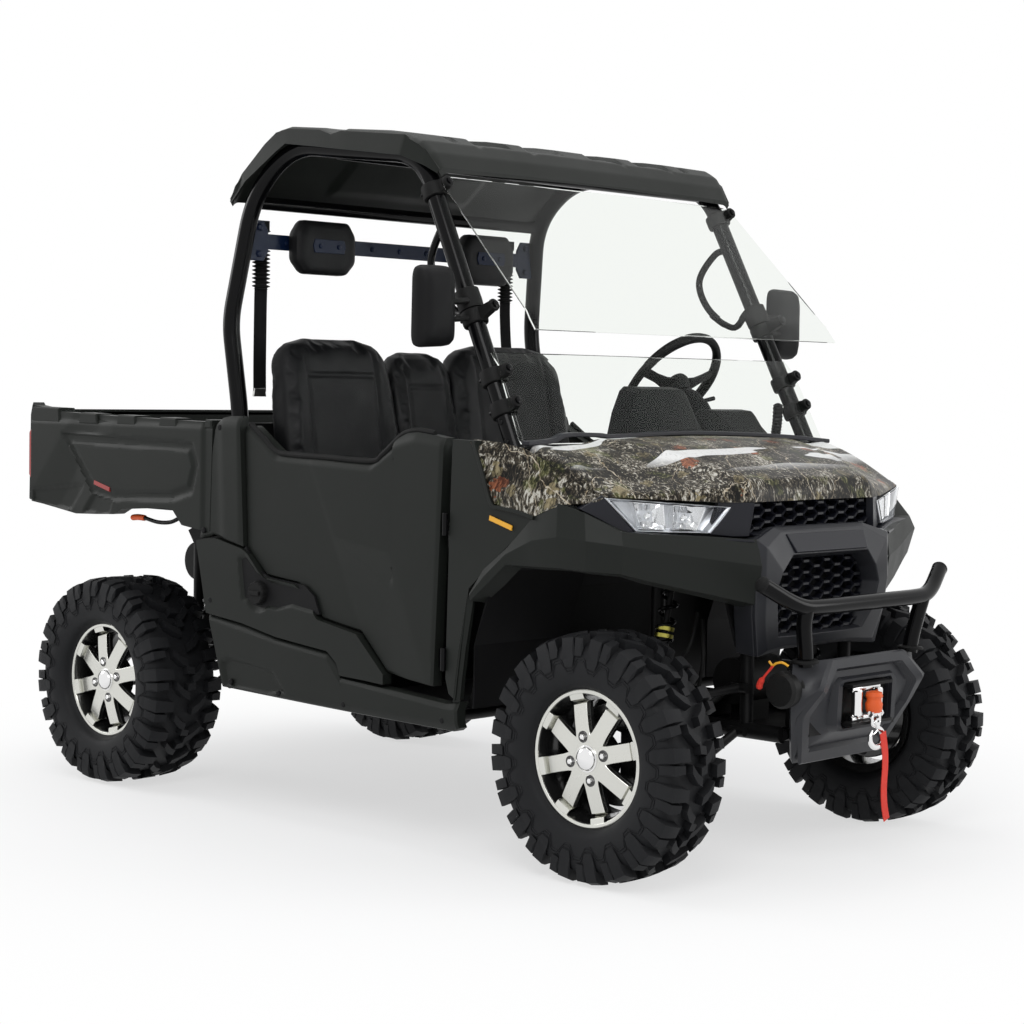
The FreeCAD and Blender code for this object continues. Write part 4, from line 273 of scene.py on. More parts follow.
def prism(skin, outline, low, high, axis="y", soft=0.0):
    """An outline of (a, b) pairs carried along an axis from low to high, its rims drawn in by soft: the
    point moves along the mean of its two edges' inward normals."""
    outline = np.asarray(outline, float)
    ahead = np.roll(outline, -1, axis=0) - outline
    ahead /= np.linalg.norm(ahead, axis=1)[:, None]
    back = np.roll(ahead, 1, axis=0)
    area = np.sum(outline[:, 0] * np.roll(outline[:, 1], -1) - np.roll(outline[:, 0], -1) * outline[:, 1])
    sign = 1.0 if area > 0 else -1.0
    normal = np.stack([-(ahead[:, 1] + back[:, 1]), ahead[:, 0] + back[:, 0]], axis=1) * sign
    scale = np.maximum(np.einsum("ij,ij->i", normal, normal) / 2, 0.3)
    inset = outline + normal / scale[:, None] * soft
    levels = [(inset, low), (outline, low + soft), (outline, high - soft), (inset, high)] if soft else \
        [(outline, low), (outline, high)]
    order = {"x": (2, 0, 1), "y": (0, 2, 1), "z": (0, 1, 2)}[axis]
    rings = []
    for flat, level in levels:
        points = np.concatenate([flat, np.full((len(flat), 1), level)], axis=1)
        rings.append(points[:, order])
    return skin.solid(rings)


def slab(skin, outline, side, near, far, soft=0.0):
    """A prism of (x, z) pairs on one side of the vehicle, between two places across."""
    return prism(skin, outline, *sorted((side * near, side * far)), soft=soft)


def mirrored(corners, middle=0.0):
    """An outline with equal halves from its left corners (across, up), from one end to the other: it starts
    at the right corner that matches the first one."""
    left = [(middle + y, z) for y, z in corners]
    right = [(middle - y, z) for y, z in corners]
    return right[:1] + left + right[:0:-1]


def facet_depth(x, z, creases, soft=0.004):
    """The depth of a faceted face: for each crease, its slope times how far the point lies on the right of
    the line from a to b, rounded near the line as (d + sqrt(d^2 + soft^2)) / 2."""
    depth = np.zeros_like(x)
    for (ax, az), (bx, bz), slope in creases:
        long = math.hypot(bx - ax, bz - az)
        beyond = ((x - ax) * (bz - az) - (z - az) * (bx - ax)) / long
        depth += slope * (beyond + np.sqrt(beyond ** 2 + soft ** 2)) / 2
    return depth


def step_depth(x, z, outline, depth, soft=0.006):
    """The depth of a recess with sloping walls: depth times the share, 0 to 1, of how far the point lies
    inside the outline, where the wall is soft wide."""
    outline = np.asarray(outline, float)
    ends = np.roll(outline, -1, axis=0)
    inside = np.zeros(x.shape, bool)
    near = np.full(x.shape, np.inf)
    for (ax, az), (bx, bz) in zip(outline, ends):
        crosses = (az > z) != (bz > z)
        with np.errstate(divide="ignore", invalid="ignore"):
            inside ^= crosses & (x < (bx - ax) * (z - az) / (bz - az) + ax)
        run_x, run_z = bx - ax, bz - az
        share = np.clip(((x - ax) * run_x + (z - az) * run_z) / (run_x ** 2 + run_z ** 2), 0, 1)
        near = np.minimum(near, np.hypot(x - ax - share * run_x, z - az - share * run_z))
    signed = np.where(inside, near, -near)
    share = np.clip(signed / soft + 0.5, 0, 1)
    return depth * share * share * (3 - 2 * share)


def piece(name, skin, kind, replaces=(), body=CHASSIS, crisp=32.0, bevel=0.0, segments=2, rounding=0):
    """Makes the object in a kind of finish: smooth faces with sharp edges past an angle in degrees, then
    bevel and subdivision if asked."""
    mesh = bpy.data.meshes.new(name)
    mesh.from_pydata(np.concatenate(skin.points).tolist(), [], skin.faces)
    mesh.validate()
    mesh.shade_smooth()
    mesh.set_sharp_from_angle(angle=math.radians(crisp))
    item = bpy.data.objects.new(name, mesh)
    bpy.context.scene.collection.objects.link(item)
    mesh.materials.append(FINISHES[kind])
    if bevel:
        modifier = item.modifiers.new("edges", "BEVEL")
        modifier.width = bevel
        modifier.segments = segments
        modifier.limit_method = "ANGLE"
        modifier.angle_limit = math.radians(crisp)
        modifier.harden_normals = True
    if rounding:
        modifier = item.modifiers.new("rounding", "SUBSURF")
        modifier.levels = modifier.render_levels = rounding
    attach(item, body)
    if replaces:
        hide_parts(*replaces)
    return item


# Finishes: node groups for effects that several materials share


def group_of(name, inputs, outputs):
    """A shader node group with named float or colour sockets. Returns it with its input and output nodes."""
    tree = bpy.data.node_groups.new(name, "ShaderNodeTree")
    for label, kind, value in inputs:
        tree.interface.new_socket(name=label, in_out="INPUT", socket_type=kind).default_value = value
    for label, kind in outputs:
        tree.interface.new_socket(name=label, in_out="OUTPUT", socket_type=kind)
    return tree, tree.nodes.new("NodeGroupInput"), tree.nodes.new("NodeGroupOutput")


def texture_group(name, scale, outputs=("Height", "Patches")):
    """A group with one Scale input and float outputs. Returns it with its scale, its outputs' sockets and
    the place on the object."""
    tree, start, end = group_of(name, [("Scale", "NodeSocketFloat", scale)],
                                [(label, "NodeSocketFloat") for label in outputs])
    return tree, start.outputs["Scale"], end.inputs, node(tree, "ShaderNodeTexCoord").outputs["Object"]


def node(tree, kind, links=(), **values):
    """A node with its settings and input values, and links to it as (input, output socket) pairs."""
    item = tree.nodes.new(kind)
    for field, value in values.items():
        if hasattr(item, field):
            setattr(item, field, value)
        else:
            item.inputs[field.replace("_", " ")].default_value = value
    for slot, source in links:
        tree.links.new(source, item.inputs[slot])
    return item


def maths(tree, operation, *values):
    """The result of a Math node on numbers and output sockets."""
    item = node(tree, "ShaderNodeMath", operation=operation)
    for slot, value in zip(item.inputs, values):
        if isinstance(value, float):
            slot.default_value = value
        else:
            tree.links.new(value, slot)
    return item.outputs[0]


def noise_of(tree, place, **values):
    """The share, 0 to 1, of a noise read at a place."""
    return node(tree, "ShaderNodeTexNoise", [("Vector", place)], **values).outputs["Fac"]


def turned_place(tree, place, rotation, scale):
    """A place turned and scaled."""
    return node(tree, "ShaderNodeMapping", [("Vector", place)], Rotation=rotation, Scale=scale).outputs[0]


def mix_of(tree, share, first, second):
    """The colour that lies at a share between two colours."""
    return node(tree, "ShaderNodeMix", [("Factor", share), (6, first), (7, second)],
                data_type="RGBA").outputs[2]


def ramp_of(tree, share, stops):
    """The colour output of a ramp through (place, colour) stops, read at a share."""
    item = node(tree, "ShaderNodeValToRGB", [("Fac", share)])
    ramp = item.color_ramp
    for spot, colour in stops[1:-1]:
        ramp.elements.new(spot)
    for element, (spot, colour) in zip(ramp.elements, stops):
        element.position = spot
        element.color = (*colour, 1)
    return item.outputs["Color"]


def share_of(tree, value, low, high, most):
    """A value's share between two levels, from 0 up to the most it may be."""
    return node(tree, "ShaderNodeMapRange", [("Value", value)], From_Min=low, From_Max=high,
                To_Max=most).outputs["Result"]


def surface_mix(tree, end, share, first, second):
    """Joins two shaders by a share, as the surface of an output node."""
    mix = node(tree, "ShaderNodeMixShader", [(0, share), (1, first.outputs[0]), (2, second.outputs[0])])
    tree.links.new(mix.outputs[0], end.inputs["Surface"])


def build_grain():
    """Moulded grain: two sizes of noise on the object's coordinates, as a height, and a slow share."""
    tree, scale, ends, place = texture_group("Moulded grain", 400.0)
    fine = node(tree, "ShaderNodeTexNoise", [("Vector", place), ("Scale", scale)], Detail=3.0)
    tree.links.new(fine.outputs["Fac"], ends["Height"])
    tree.links.new(noise_of(tree, place, Scale=5.0, Detail=4.0, Roughness=0.6), ends["Patches"])
    return tree


def build_leather():
    """Soft grain of cells with creases between them, as a height."""
    tree, scale, ends, place = texture_group("Leather grain", 260.0)
    cells = node(tree, "ShaderNodeTexVoronoi", [("Vector", place), ("Scale", scale)], feature="SMOOTH_F1")
    tree.links.new(cells.outputs["Distance"], ends["Height"])
    tree.links.new(noise_of(tree, place, Scale=9.0, Detail=5.0), ends["Patches"])
    return tree


def build_weave():
    """Webbing: crossed waves along the object's own X and Z as a height."""
    tree, scale, ends, place = texture_group("Webbing weave", 400.0, ("Height",))
    waves = [node(tree, "ShaderNodeTexWave", [("Vector", place), ("Scale", scale)], bands_direction=way)
             for way in ("Z", "DIAGONAL")]
    tree.links.new(maths(tree, "MULTIPLY", *(wave.outputs["Fac"] for wave in waves)), ends["Height"])
    return tree


def build_dust():
    """Dust: a share that grows on faces that look up, broken by noise, mixed over a colour."""
    tree, start, end = group_of("Light dust", [("Color", "NodeSocketColor", (0.03, 0.03, 0.03, 1)),
                                               ("Dust", "NodeSocketColor", (0.25, 0.24, 0.22, 1)),
                                               ("Amount", "NodeSocketFloat", 0.1)],
                                [("Color", "NodeSocketColor")])
    place = node(tree, "ShaderNodeTexCoord").outputs
    facing = node(tree, "ShaderNodeSeparateXYZ", [("Vector", place["Normal"])])
    up = node(tree, "ShaderNodeMapRange", [("Value", facing.outputs["Z"])], From_Min=-0.4)
    patches = maths(tree, "MULTIPLY", up.outputs["Result"],
                    noise_of(tree, place["Object"], Scale=7.0, Detail=6.0))
    share = maths(tree, "MULTIPLY", patches, start.outputs["Amount"])
    tree.links.new(mix_of(tree, share, start.outputs["Color"], start.outputs["Dust"]), end.inputs["Color"])
    return tree


# the print's colours, and the painted reflection's, as (level, colour) stops from dark to light
BARK_TONES = ((0.41, (0.0015, 0.0015, 0.001)), (0.485, (0.014, 0.011, 0.007)), (0.535, (0.055, 0.044, 0.029)),
              (0.585, (0.20, 0.178, 0.138)), (0.65, (0.56, 0.54, 0.48)))
MOSS_TONES = ((0.42, (0.010, 0.013, 0.003)), (0.60, (0.16, 0.165, 0.05)))
RUST_TONES = ((0.42, (0.060, 0.017, 0.008)), (0.62, (0.33, 0.115, 0.055)))
OCHRE_TONES = ((0.42, (0.038, 0.030, 0.014)), (0.62, (0.27, 0.225, 0.13)))
TWIG_TONES = ((0.35, (0.16, 0.115, 0.06)), (0.62, (0.52, 0.46, 0.36)))
# painted reflection: near-white tones for the pale bands on the print's top faces, standing in for the lamps'
# light reflected there
PAINTED_SHEEN_TONES = ((0.34, (0.56, 0.55, 0.53)), (0.46, (0.78, 0.78, 0.77)))

# leaves: cells in a metre, turn, share of the cells that show, tones. Twigs: turn, waves in a metre, width
LEAVES = ((13.0, 0.7, 0.22, RUST_TONES), (19.0, -0.4, 0.30, OCHRE_TONES))
TWIGS = ((0.5, 2.6, 0.010), (-0.9, 2.1, 0.014))


def build_woodland():
    """Woodland print: dense upright bark streaks from black to pale grey, rust and ochre leaf cells with
    ragged edges, mossy patches, a few thin tan twigs, and pale drifts across the top."""
    tree, start, end = group_of("Woodland print", [("Scale", "NodeSocketFloat", 1.0)],
                                [("Color", "NodeSocketColor")])
    place = node(tree, "ShaderNodeTexCoord").outputs["Object"]
    space = node(tree, "ShaderNodeVectorMath", [(0, place), ("Scale", start.outputs["Scale"])],
                 operation="SCALE").outputs[0]
    bend = node(tree, "ShaderNodeTexNoise", [("Vector", space)], Scale=14.0, Detail=3.0)
    warped = node(tree, "ShaderNodeMix", [(4, space), (5, bend.outputs["Color"])], data_type="VECTOR",
                  Factor=0.05).outputs[1]
    streaks = turned_place(tree, warped, (0.25, 0.35, 0.0), (150.0, 150.0, 38.0))
    bark = noise_of(tree, streaks, Scale=1.0, Detail=5.0, Roughness=0.68)
    lift = maths(tree, "MULTIPLY_ADD", noise_of(tree, space, Scale=11.0, Detail=4.0), 0.45, -0.225)
    depth = maths(tree, "ADD", bark, lift)
    mossy = share_of(tree, noise_of(tree, space, Scale=17.0, Detail=5.0), 0.58, 0.64, 0.6)
    last = mix_of(tree, mossy, ramp_of(tree, depth, BARK_TONES), ramp_of(tree, depth, MOSS_TONES))
    ragged = noise_of(tree, space, Scale=85.0, Detail=2.0)
    edge = maths(tree, "MULTIPLY", ragged, 0.60)
    for scale, turn, rare, tones in LEAVES:
        cells = node(tree, "ShaderNodeTexVoronoi",
                     [("Vector", turned_place(tree, warped, (turn, 0.0, turn), (scale, scale, scale)))],
                     feature="F1", Scale=1.0)
        leaf = maths(tree, "LESS_THAN", maths(tree, "ADD", cells.outputs["Distance"], edge), 0.60)
        picked = node(tree, "ShaderNodeSeparateColor", [("Color", cells.outputs["Color"])]).outputs["Red"]
        leaves = maths(tree, "MULTIPLY", leaf, maths(tree, "LESS_THAN", picked, rare))
        last = mix_of(tree, leaves, last, ramp_of(tree, depth, tones))
    for turn, scale, wide in TWIGS:
        lines = node(tree, "ShaderNodeMapping", [("Vector", warped)], Rotation=(turn * 0.4, 0.6, turn))
        twig = node(tree, "ShaderNodeTexWave", [("Vector", lines.outputs[0])], Scale=scale, Distortion=5.0,
                    Detail=2.0, Detail_Scale=1.1, wave_profile="SAW")
        near = maths(tree, "LESS_THAN", twig.outputs["Fac"], wide)
        last = mix_of(tree, near, last, ramp_of(tree, ragged, TWIG_TONES))
    # painted reflection: pale bands of stretched noise, laid only where the surface lies high and inside the
    # side edges, that is on the top faces
    painted_sheen_noise = noise_of(tree, turned_place(tree, space, (0.0, 0.0, 0.34), (17.0, 2.6, 6.0)), Scale=1.0,
                     Detail=0.6, Roughness=0.40, Distortion=0.35)
    parts = node(tree, "ShaderNodeSeparateXYZ", [("Vector", place)]).outputs
    upper = share_of(tree, parts["Z"], 1.025, 1.055, 1.0)
    inner = share_of(tree, maths(tree, "ABSOLUTE", parts["Y"]), 0.650, 0.620, 1.0)
    painted_sheen = maths(tree, "MULTIPLY", maths(tree, "MULTIPLY", upper, inner),
                    share_of(tree, painted_sheen_noise, 0.566, 0.575, 0.95))
    last = mix_of(tree, painted_sheen, last, ramp_of(tree, bark, PAINTED_SHEEN_TONES))
    tree.links.new(last, end.inputs["Color"])
    return tree


SHARED = {}


def shared(name):
    """The shared group of this name, made the first time it is wanted."""
    makers = {"grain": build_grain, "leather": build_leather, "weave": build_weave, "dust": build_dust,
              "woodland": build_woodland}
    if name not in SHARED:
        SHARED[name] = makers[name]()
    return SHARED[name]


def shared_node(tree, name, **values):
    """A shared group's node in a material, with its input values."""
    item = node(tree, "ShaderNodeGroup")
    item.node_tree = shared(name)
    for label, value in values.items():
        item.inputs[label].default_value = value
    return item


def material_of(name, **values):
    """A new material, its node tree and its Principled shader with these input values."""
    material = bpy.data.materials.new(name)
    material.use_nodes = True
    shader = material.node_tree.nodes["Principled BSDF"]
    for label, value in values.items():
        shader.inputs[label.replace("_", " ")].default_value = value
    return material, material.node_tree, shader


def finish(name, colour, roughness, texture=None, scale=400.0, height=0.0, patches=0.0, dust=0.0,
           specular=0.5, metallic=0.0, coat=0.0):
    """A material: Principled with a shared texture as bump and as roughness patches, and dust over its
    colour."""
    material, tree, shader = material_of(name, Base_Color=(*colour, 1), Roughness=roughness,
                                         Metallic=metallic, Coat_Weight=coat, Specular_IOR_Level=specular)
    if texture:
        surface = shared_node(tree, texture, Scale=scale)
        bump = node(tree, "ShaderNodeBump", [("Height", surface.outputs["Height"])],
                    Distance=height, Strength=1.0)
        tree.links.new(bump.outputs["Normal"], shader.inputs["Normal"])
        if patches:
            spread = node(tree, "ShaderNodeMapRange", [("Value", surface.outputs["Patches"])], From_Min=0.3,
                          From_Max=0.7, To_Min=roughness - patches, To_Max=roughness + patches)
            tree.links.new(spread.outputs["Result"], shader.inputs["Roughness"])
    if dust:
        layer = shared_node(tree, "dust", Color=(*colour, 1), Amount=dust)
        tree.links.new(layer.outputs["Color"], shader.inputs["Base Color"])
    return material


def clear_finish(name, tint, roughness, bend):
    """Clear sheet: full transmission that lets the lamps' light through, with its index of refraction."""
    material, tree, shader = material_of(name, Base_Color=(*tint, 1), Roughness=roughness,
                                         Transmission_Weight=1.0, IOR=bend)
    through = node(tree, "ShaderNodeBsdfTransparent", Color=(0.93, 0.95, 0.95, 1))
    shadow = node(tree, "ShaderNodeLightPath").outputs["Is Shadow Ray"]
    surface_mix(tree, tree.nodes["Material Output"], shadow, shader, through)
    return material


FINISHES = {}

# label, colour, roughness, texture, its scale and height, roughness patches, dust, specular, metallic, coat
SOLID_FINISHES = {
    "charcoal": ("Charcoal plastic", (0.0108, 0.0125, 0.0108), 0.48, "grain", 900.0, 0.00012, 0.05,
                 0.012, 0.17),
    "nose": ("Nose plastic", (0.0160, 0.0168, 0.0205), 0.40, "grain", 900.0, 0.00010, 0.05, 0.015, 0.3),
    "trim": ("Black trim plastic", (0.0055, 0.0055, 0.006), 0.6, "grain", 700.0, 0.0002, 0.06, 0.01, 0.14),
    "satin_trim": ("Satin bezel plastic", (0.0075, 0.008, 0.0125), 0.34, "grain", 900.0, 0.00006, 0.04,
                   0.0, 0.28),
    "tube": ("Gloss black tube", (0.0028, 0.0028, 0.0032), 0.16, "grain", 120.0, 0.00003, 0.03, 0.0, 0.12),
    "chassis": ("Chassis paint", (0.0045, 0.0045, 0.0048), 0.45, "grain", 200.0, 0.0001, 0.08, 0.02, 0.15),
    "tyre": ("Tyre rubber", (0.0085, 0.0089, 0.0102), 0.62, "grain", 520.0, 0.0003, 0.08, 0.02, 0.2),
    "machined": ("Machined aluminium", (0.66, 0.66, 0.62), 0.27, "grain", 1400.0, 0.00003, 0.05, 0.0,
                 0.5, 1.0),
    "wheel_black": ("Gloss black wheel", (0.008, 0.008, 0.008), 0.2, "grain", 200.0, 0.00003, 0.04, 0.0, 0.5,
                    0.0, 0.4),
    "chrome": ("Chrome", (0.82, 0.82, 0.82), 0.08, "grain", 80.0, 0.00002, 0.03, 0.0, 0.5, 1.0),
    "steel": ("Zinc steel", (0.42, 0.42, 0.41), 0.38, "grain", 300.0, 0.0001, 0.1, 0.0, 0.5, 1.0),
    "iron": ("Cast housing", (0.012, 0.012, 0.012), 0.55, "grain", 260.0, 0.0004, 0.1, 0.02, 0.2, 0.3),
    "seat": ("Seat vinyl", (0.0048, 0.0050, 0.0056), 0.48, "leather", 330.0, 0.00035, 0.08, 0.006, 0.16),
    "seat_side": ("Seat side vinyl", (0.0065, 0.0066, 0.0072), 0.52, "leather", 500.0, 0.0003, 0.08,
                  0.006, 0.16),
    "webbing": ("Black webbing", (0.0055, 0.0055, 0.006), 0.75, "weave", 420.0, 0.0004, 0.0, 0.0, 0.15),
    "zinc_ring": ("Yellow zinc ring", (0.44, 0.40, 0.09), 0.35, "grain", 300.0, 0.0001, 0.08, 0.0, 0.5, 1.0),
    "lamp_silver": ("Lamp bezel", (0.58, 0.59, 0.61), 0.30, "grain", 500.0, 0.00004, 0.04, 0.0, 0.5, 0.7),
    "strap": ("Red webbing", (0.85, 0.045, 0.025), 0.65, "weave", 420.0, 0.0004),
    "orange": ("Orange rubber", (0.78, 0.11, 0.015), 0.5, "grain", 300.0, 0.0002, 0.05),
    "amber": ("Amber reflector", (0.85, 0.42, 0.03), 0.25, "grain", 500.0, 0.0002),
    "red_lens": ("Red lens", (0.33, 0.012, 0.01), 0.18, "grain", 300.0, 0.0001, 0.0, 0.0, 0.5, 0.0, 0.5),
    "white_lens": ("Reversing lens", (0.6, 0.58, 0.56), 0.2, "grain", 300.0, 0.0001),
    "rubber": ("Soft rubber", (0.0055, 0.0055, 0.0055), 0.62, "grain", 420.0, 0.0003, 0.06, 0.0, 0.16),
    "bar": ("Blue-black bar", (0.004, 0.010, 0.032), 0.34, "grain", 300.0, 0.00005, 0.04, 0.0, 0.14),
    "mirror": ("Mirror glass", (0.75, 0.77, 0.8), 0.02, "grain", 5.0, 0.00001, 0.0, 0.0, 0.5, 1.0),
}
CLEAR_FINISHES = {
    "clear": ("Clear sheet", (0.90, 0.925, 0.895), 0.0, 1.10),
    "lens": ("Lamp lens", (0.95, 0.96, 0.97), 0.01, 1.12),
}


def build_finishes():
    """Every material of the vehicle, by name."""
    FINISHES.update({kind: finish(*values) for kind, values in SOLID_FINISHES.items()})
    FINISHES.update({kind: clear_finish(*values) for kind, values in CLEAR_FINISHES.items()})
    printed = finish("Camouflage print", (0.2, 0.18, 0.12), 0.42, specular=0.14, coat=0.06)
    tree = printed.node_tree
    shader = tree.nodes["Principled BSDF"]
    shader.inputs["Coat Roughness"].default_value = 0.1
    tree.links.new(shared_node(tree, "woodland").outputs["Color"], shader.inputs["Base Color"])
    FINISHES["camouflage"] = printed


def plain_nodes(names, kind):
    """Gives construction nodes a finish."""
    for name in names:
        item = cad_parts[name]
        item.data.materials.clear()
        item.data.materials.append(FINISHES[kind])


# Sizes that a user would change


class VehicleSizes(bpy.types.PropertyGroup):
    """Sizes and colours of the finishes."""

    tyre_radius: bpy.props.FloatProperty(name="Tyre radius", description="Out to the tips of the lugs",
                                         default=0.315, unit="LENGTH")
    carcass_radius: bpy.props.FloatProperty(name="Carcass radius",
                                            description="Between the lugs, at the crown", default=0.292,
                                            unit="LENGTH")
    rim_radius: bpy.props.FloatProperty(name="Rim radius", description="Out to the rim's lip", default=0.1735,
                                        unit="LENGTH")
    lug_count: bpy.props.IntProperty(name="Lugs", description="Shoulder lugs on each side of a tyre",
                                     default=20)
    spoke_count: bpy.props.IntProperty(name="Spokes", description="Spokes of a rim", default=8)
    hook_side: bpy.props.FloatProperty(name="Hook offset", description="How far left the hook hangs",
                                       default=-0.02, unit="LENGTH")
    lamp_strength: bpy.props.FloatProperty(name="Studio light",
                                           description="Strength of the key lamp in watts", default=95.0)
    floor_colour: bpy.props.FloatVectorProperty(name="Floor", description="Colour of floor and backdrop",
                                                subtype="COLOR", default=(0.9, 0.9, 0.9))


def sizes():
    """The sizes kept with the scene."""
    return bpy.context.scene.vehicle_sizes


# Wheels


# each axle: x, the tyre's middle across, half its width, and the rim's face
WHEEL_ENDS = {"front": (0.9685, 0.591, 0.1025, 0.667), "rear": (-0.9685, 0.609, 0.1275, 0.698)}
HUB_HEIGHT = 0.315
FIRST_SPOKE = math.radians(14)
NUTS = 4
NUT_CIRCLE = 0.055
STEPS_PER_LUG = 16

# the sidewall's shape: shares of the way from the bead out to the crown, and of the tyre's half width
SIDEWALL_SHARES = [(0.10, 0.875), (0.24, 0.945), (0.44, 0.985), (0.64, 0.975), (0.80, 0.930), (0.91, 0.84),
                   (0.975, 0.66), (0.995, 0.42)]


def tyre_profile(half, flat):
    """The carcass from bead to bead as radius and place across: a smooth line from the bead, level with the
    rim's face, through the sidewall's shares to the crown, and the same mirrored."""
    s = sizes()
    rise = s.carcass_radius - s.rim_radius
    line = [(s.rim_radius - 0.004, flat - 0.012), (s.rim_radius - 0.0005, flat - 0.003),
            (s.rim_radius + 0.003, flat + 0.001)]
    line += [(s.rim_radius + rise * up, half * wide) for up, wide in SIDEWALL_SHARES]
    line.append((s.carcass_radius, 0.0))
    side = along(smoothed(line, 120), np.linspace(0, 1, 33))
    return np.concatenate([side[:, 0], side[-2::-1, 0]]), np.concatenate([side[:, 1], -side[-2::-1, 1]])


def wave_of(angle, pitch):
    """A triangle wave from 0 to 1 and back over one pitch of the turn."""
    share = (angle / pitch) % 1.0
    return 1 - np.abs(2 * share - 1)


def build_tyre(end, side_name):
    """A tyre: the carcass turned about the axle with raised zigzag lines, and staggered lugs of three
    kinds."""
    s = sizes()
    side = SIDES[side_name]
    x, y, half, face = WHEEL_ENDS[end]
    middle = np.array([x, side * y, HUB_HEIGHT])
    steps = s.lug_count * STEPS_PER_LUG
    radius, wide = tyre_profile(half, face - y)
    turn = full_turn(steps)
    pitch = 2 * np.pi / s.lug_count
    circle = np.stack([np.cos(turn), np.zeros(steps), np.sin(turn)], axis=-1)
    axle = np.array([0.0, 1.0, 0.0])
    outer = circle[:, None] * radius[None, :, None] + axle * wide[None, :, None]
    hollow = slice(len(radius) - 3, 1, -5)
    inner = circle[:, None] * (radius[None, hollow, None] - 0.012) + axle * (wide[None, hollow, None] * 0.86)
    skin = Skin().ring(np.concatenate([outer, inner], axis=1) + middle)
    half_count = len(radius) // 2 + 1
    for way in (-1, 1):
        for low, high, flat_share in ((0.42, 0.66, 0.62), (0.36, 0.60, 0.50)):
            wave = np.clip((wave_of(turn + (pitch / 2 if way < 0 else 0.0), pitch) - 0.5)
                           / (1 - flat_share) + 0.5, 0, 1)
            r = s.rim_radius + (s.carcass_radius - s.rim_radius) * (low + (high - low) * wave)
            w = np.interp(r, radius[:half_count], wide[:half_count])
            corners = [circle * (r + across)[:, None] + axle * (way * (w + up))[:, None]
                       for across, up in ((-0.0024, -0.001), (0.0024, -0.001), (0.0012, 0.0018),
                                          (-0.0012, 0.0018))]
            skin.ring(np.stack(corners, axis=1) + middle)
    lug_kinds = lug_shapes(half)
    for way in (-1, 1):
        for kind, (stations, offset) in enumerate(lug_kinds):
            for number in range(s.lug_count):
                if kind == 3 and number % 2:
                    continue
                angle = pitch * (number + offset + (0.5 if way < 0 else 0.0))
                skin.solid(lug_rings(stations, angle, way) + middle)
    name = f"tyre_{end}_{side_name}"
    body = f"wheel_{end}_{side_name}"
    piece(name + "_tread", skin, "tyre", [name], body=body, crisp=34.0)


def lug_shapes(half):
    """Each kind of lug as stations (offset from the middle, base radius, top radius, start and end angle as
    lengths along the crown), and its place as a share of the pitch."""
    s = sizes()
    top, base = s.tyre_radius, s.carcass_radius - 0.006
    crown = top - 0.001
    long_shoulder = [(0.50 * half, base, crown, -0.022, 0.014),
                     (0.78 * half, base - 0.002, crown - 0.003, -0.021, 0.019),
                     (0.965 * half, base - 0.012, crown - 0.011, -0.022, 0.021),
                     (1.02 * half, base - 0.040, crown - 0.036, -0.021, 0.021),
                     (1.015 * half, base - 0.056, crown - 0.066, -0.015, 0.016)]
    short_shoulder = [(0.66 * half, base, crown - 0.003, -0.002, 0.024),
                      (0.95 * half, base - 0.010, crown - 0.012, -0.006, 0.026),
                      (1.005 * half, base - 0.028, crown - 0.034, -0.003, 0.023)]
    inner_bar = [(0.06 * half, base, top, -0.030, -0.002), (0.24 * half, base, top, -0.020, 0.010),
                 (0.43 * half, base, top - 0.001, 0.004, 0.032)]
    centre = [(-0.10 * half, base, top, -0.012, 0.014), (0.12 * half, base, top, -0.008, 0.020)]
    return [(long_shoulder, 0.0), (short_shoulder, 0.5), (inner_bar, 0.42), (centre, 0.0)]


def lug_rings(stations, angle, way):
    """Rings of four corners, base start, base end, top end, top start, with the top drawn in at both ends."""
    draw, lean, crown = 0.0035, 0.001, 0.30
    rings = []
    for place, base, top, start, stop in stations:
        corners = []
        for radius, along_crown, raised in ((base, start, 0), (base, stop, 0), (top, stop - draw, 1),
                                            (top, start + draw, 1)):
            a = angle + along_crown / crown
            corners.append((radius * math.cos(a), way * (place - raised * lean), radius * math.sin(a)))
        rings.append(corners)
    return np.array(rings)


def spoke_rings(angle, face, out):
    """A spoke's rings from hub to lip: half width 21.5 mm and more near the hub, as 21.5 + 6 exp(-(r - 50)
    / 9) in mm, its face dished slightly and turned back at its end."""
    places = np.array([0.040, 0.052, 0.058, 0.064, 0.072, 0.085, 0.105, 0.125, 0.1365, 0.1415])
    half = 0.0215 + 0.0060 * np.exp(-(places - 0.050) / 0.009) + 0.0008 * (places - 0.05) / 0.09
    front = face - 0.004 - 0.010 * ((places - 0.04) / 0.10) ** 2
    front[-1] -= 0.010
    back = front - 0.013
    radial, cross = around_axle(angle)
    soft = 0.0016
    rings = []
    for r, h, f, b in zip(places, half, front, back):
        rings.append([radial * r + cross * c + np.array([0, out * y, 0]) for c, y in
                      ((-h, b), (h, b), (h, f - soft), (h - soft, f), (-h + soft, f), (-h, f - soft))])
    return np.array(rings)


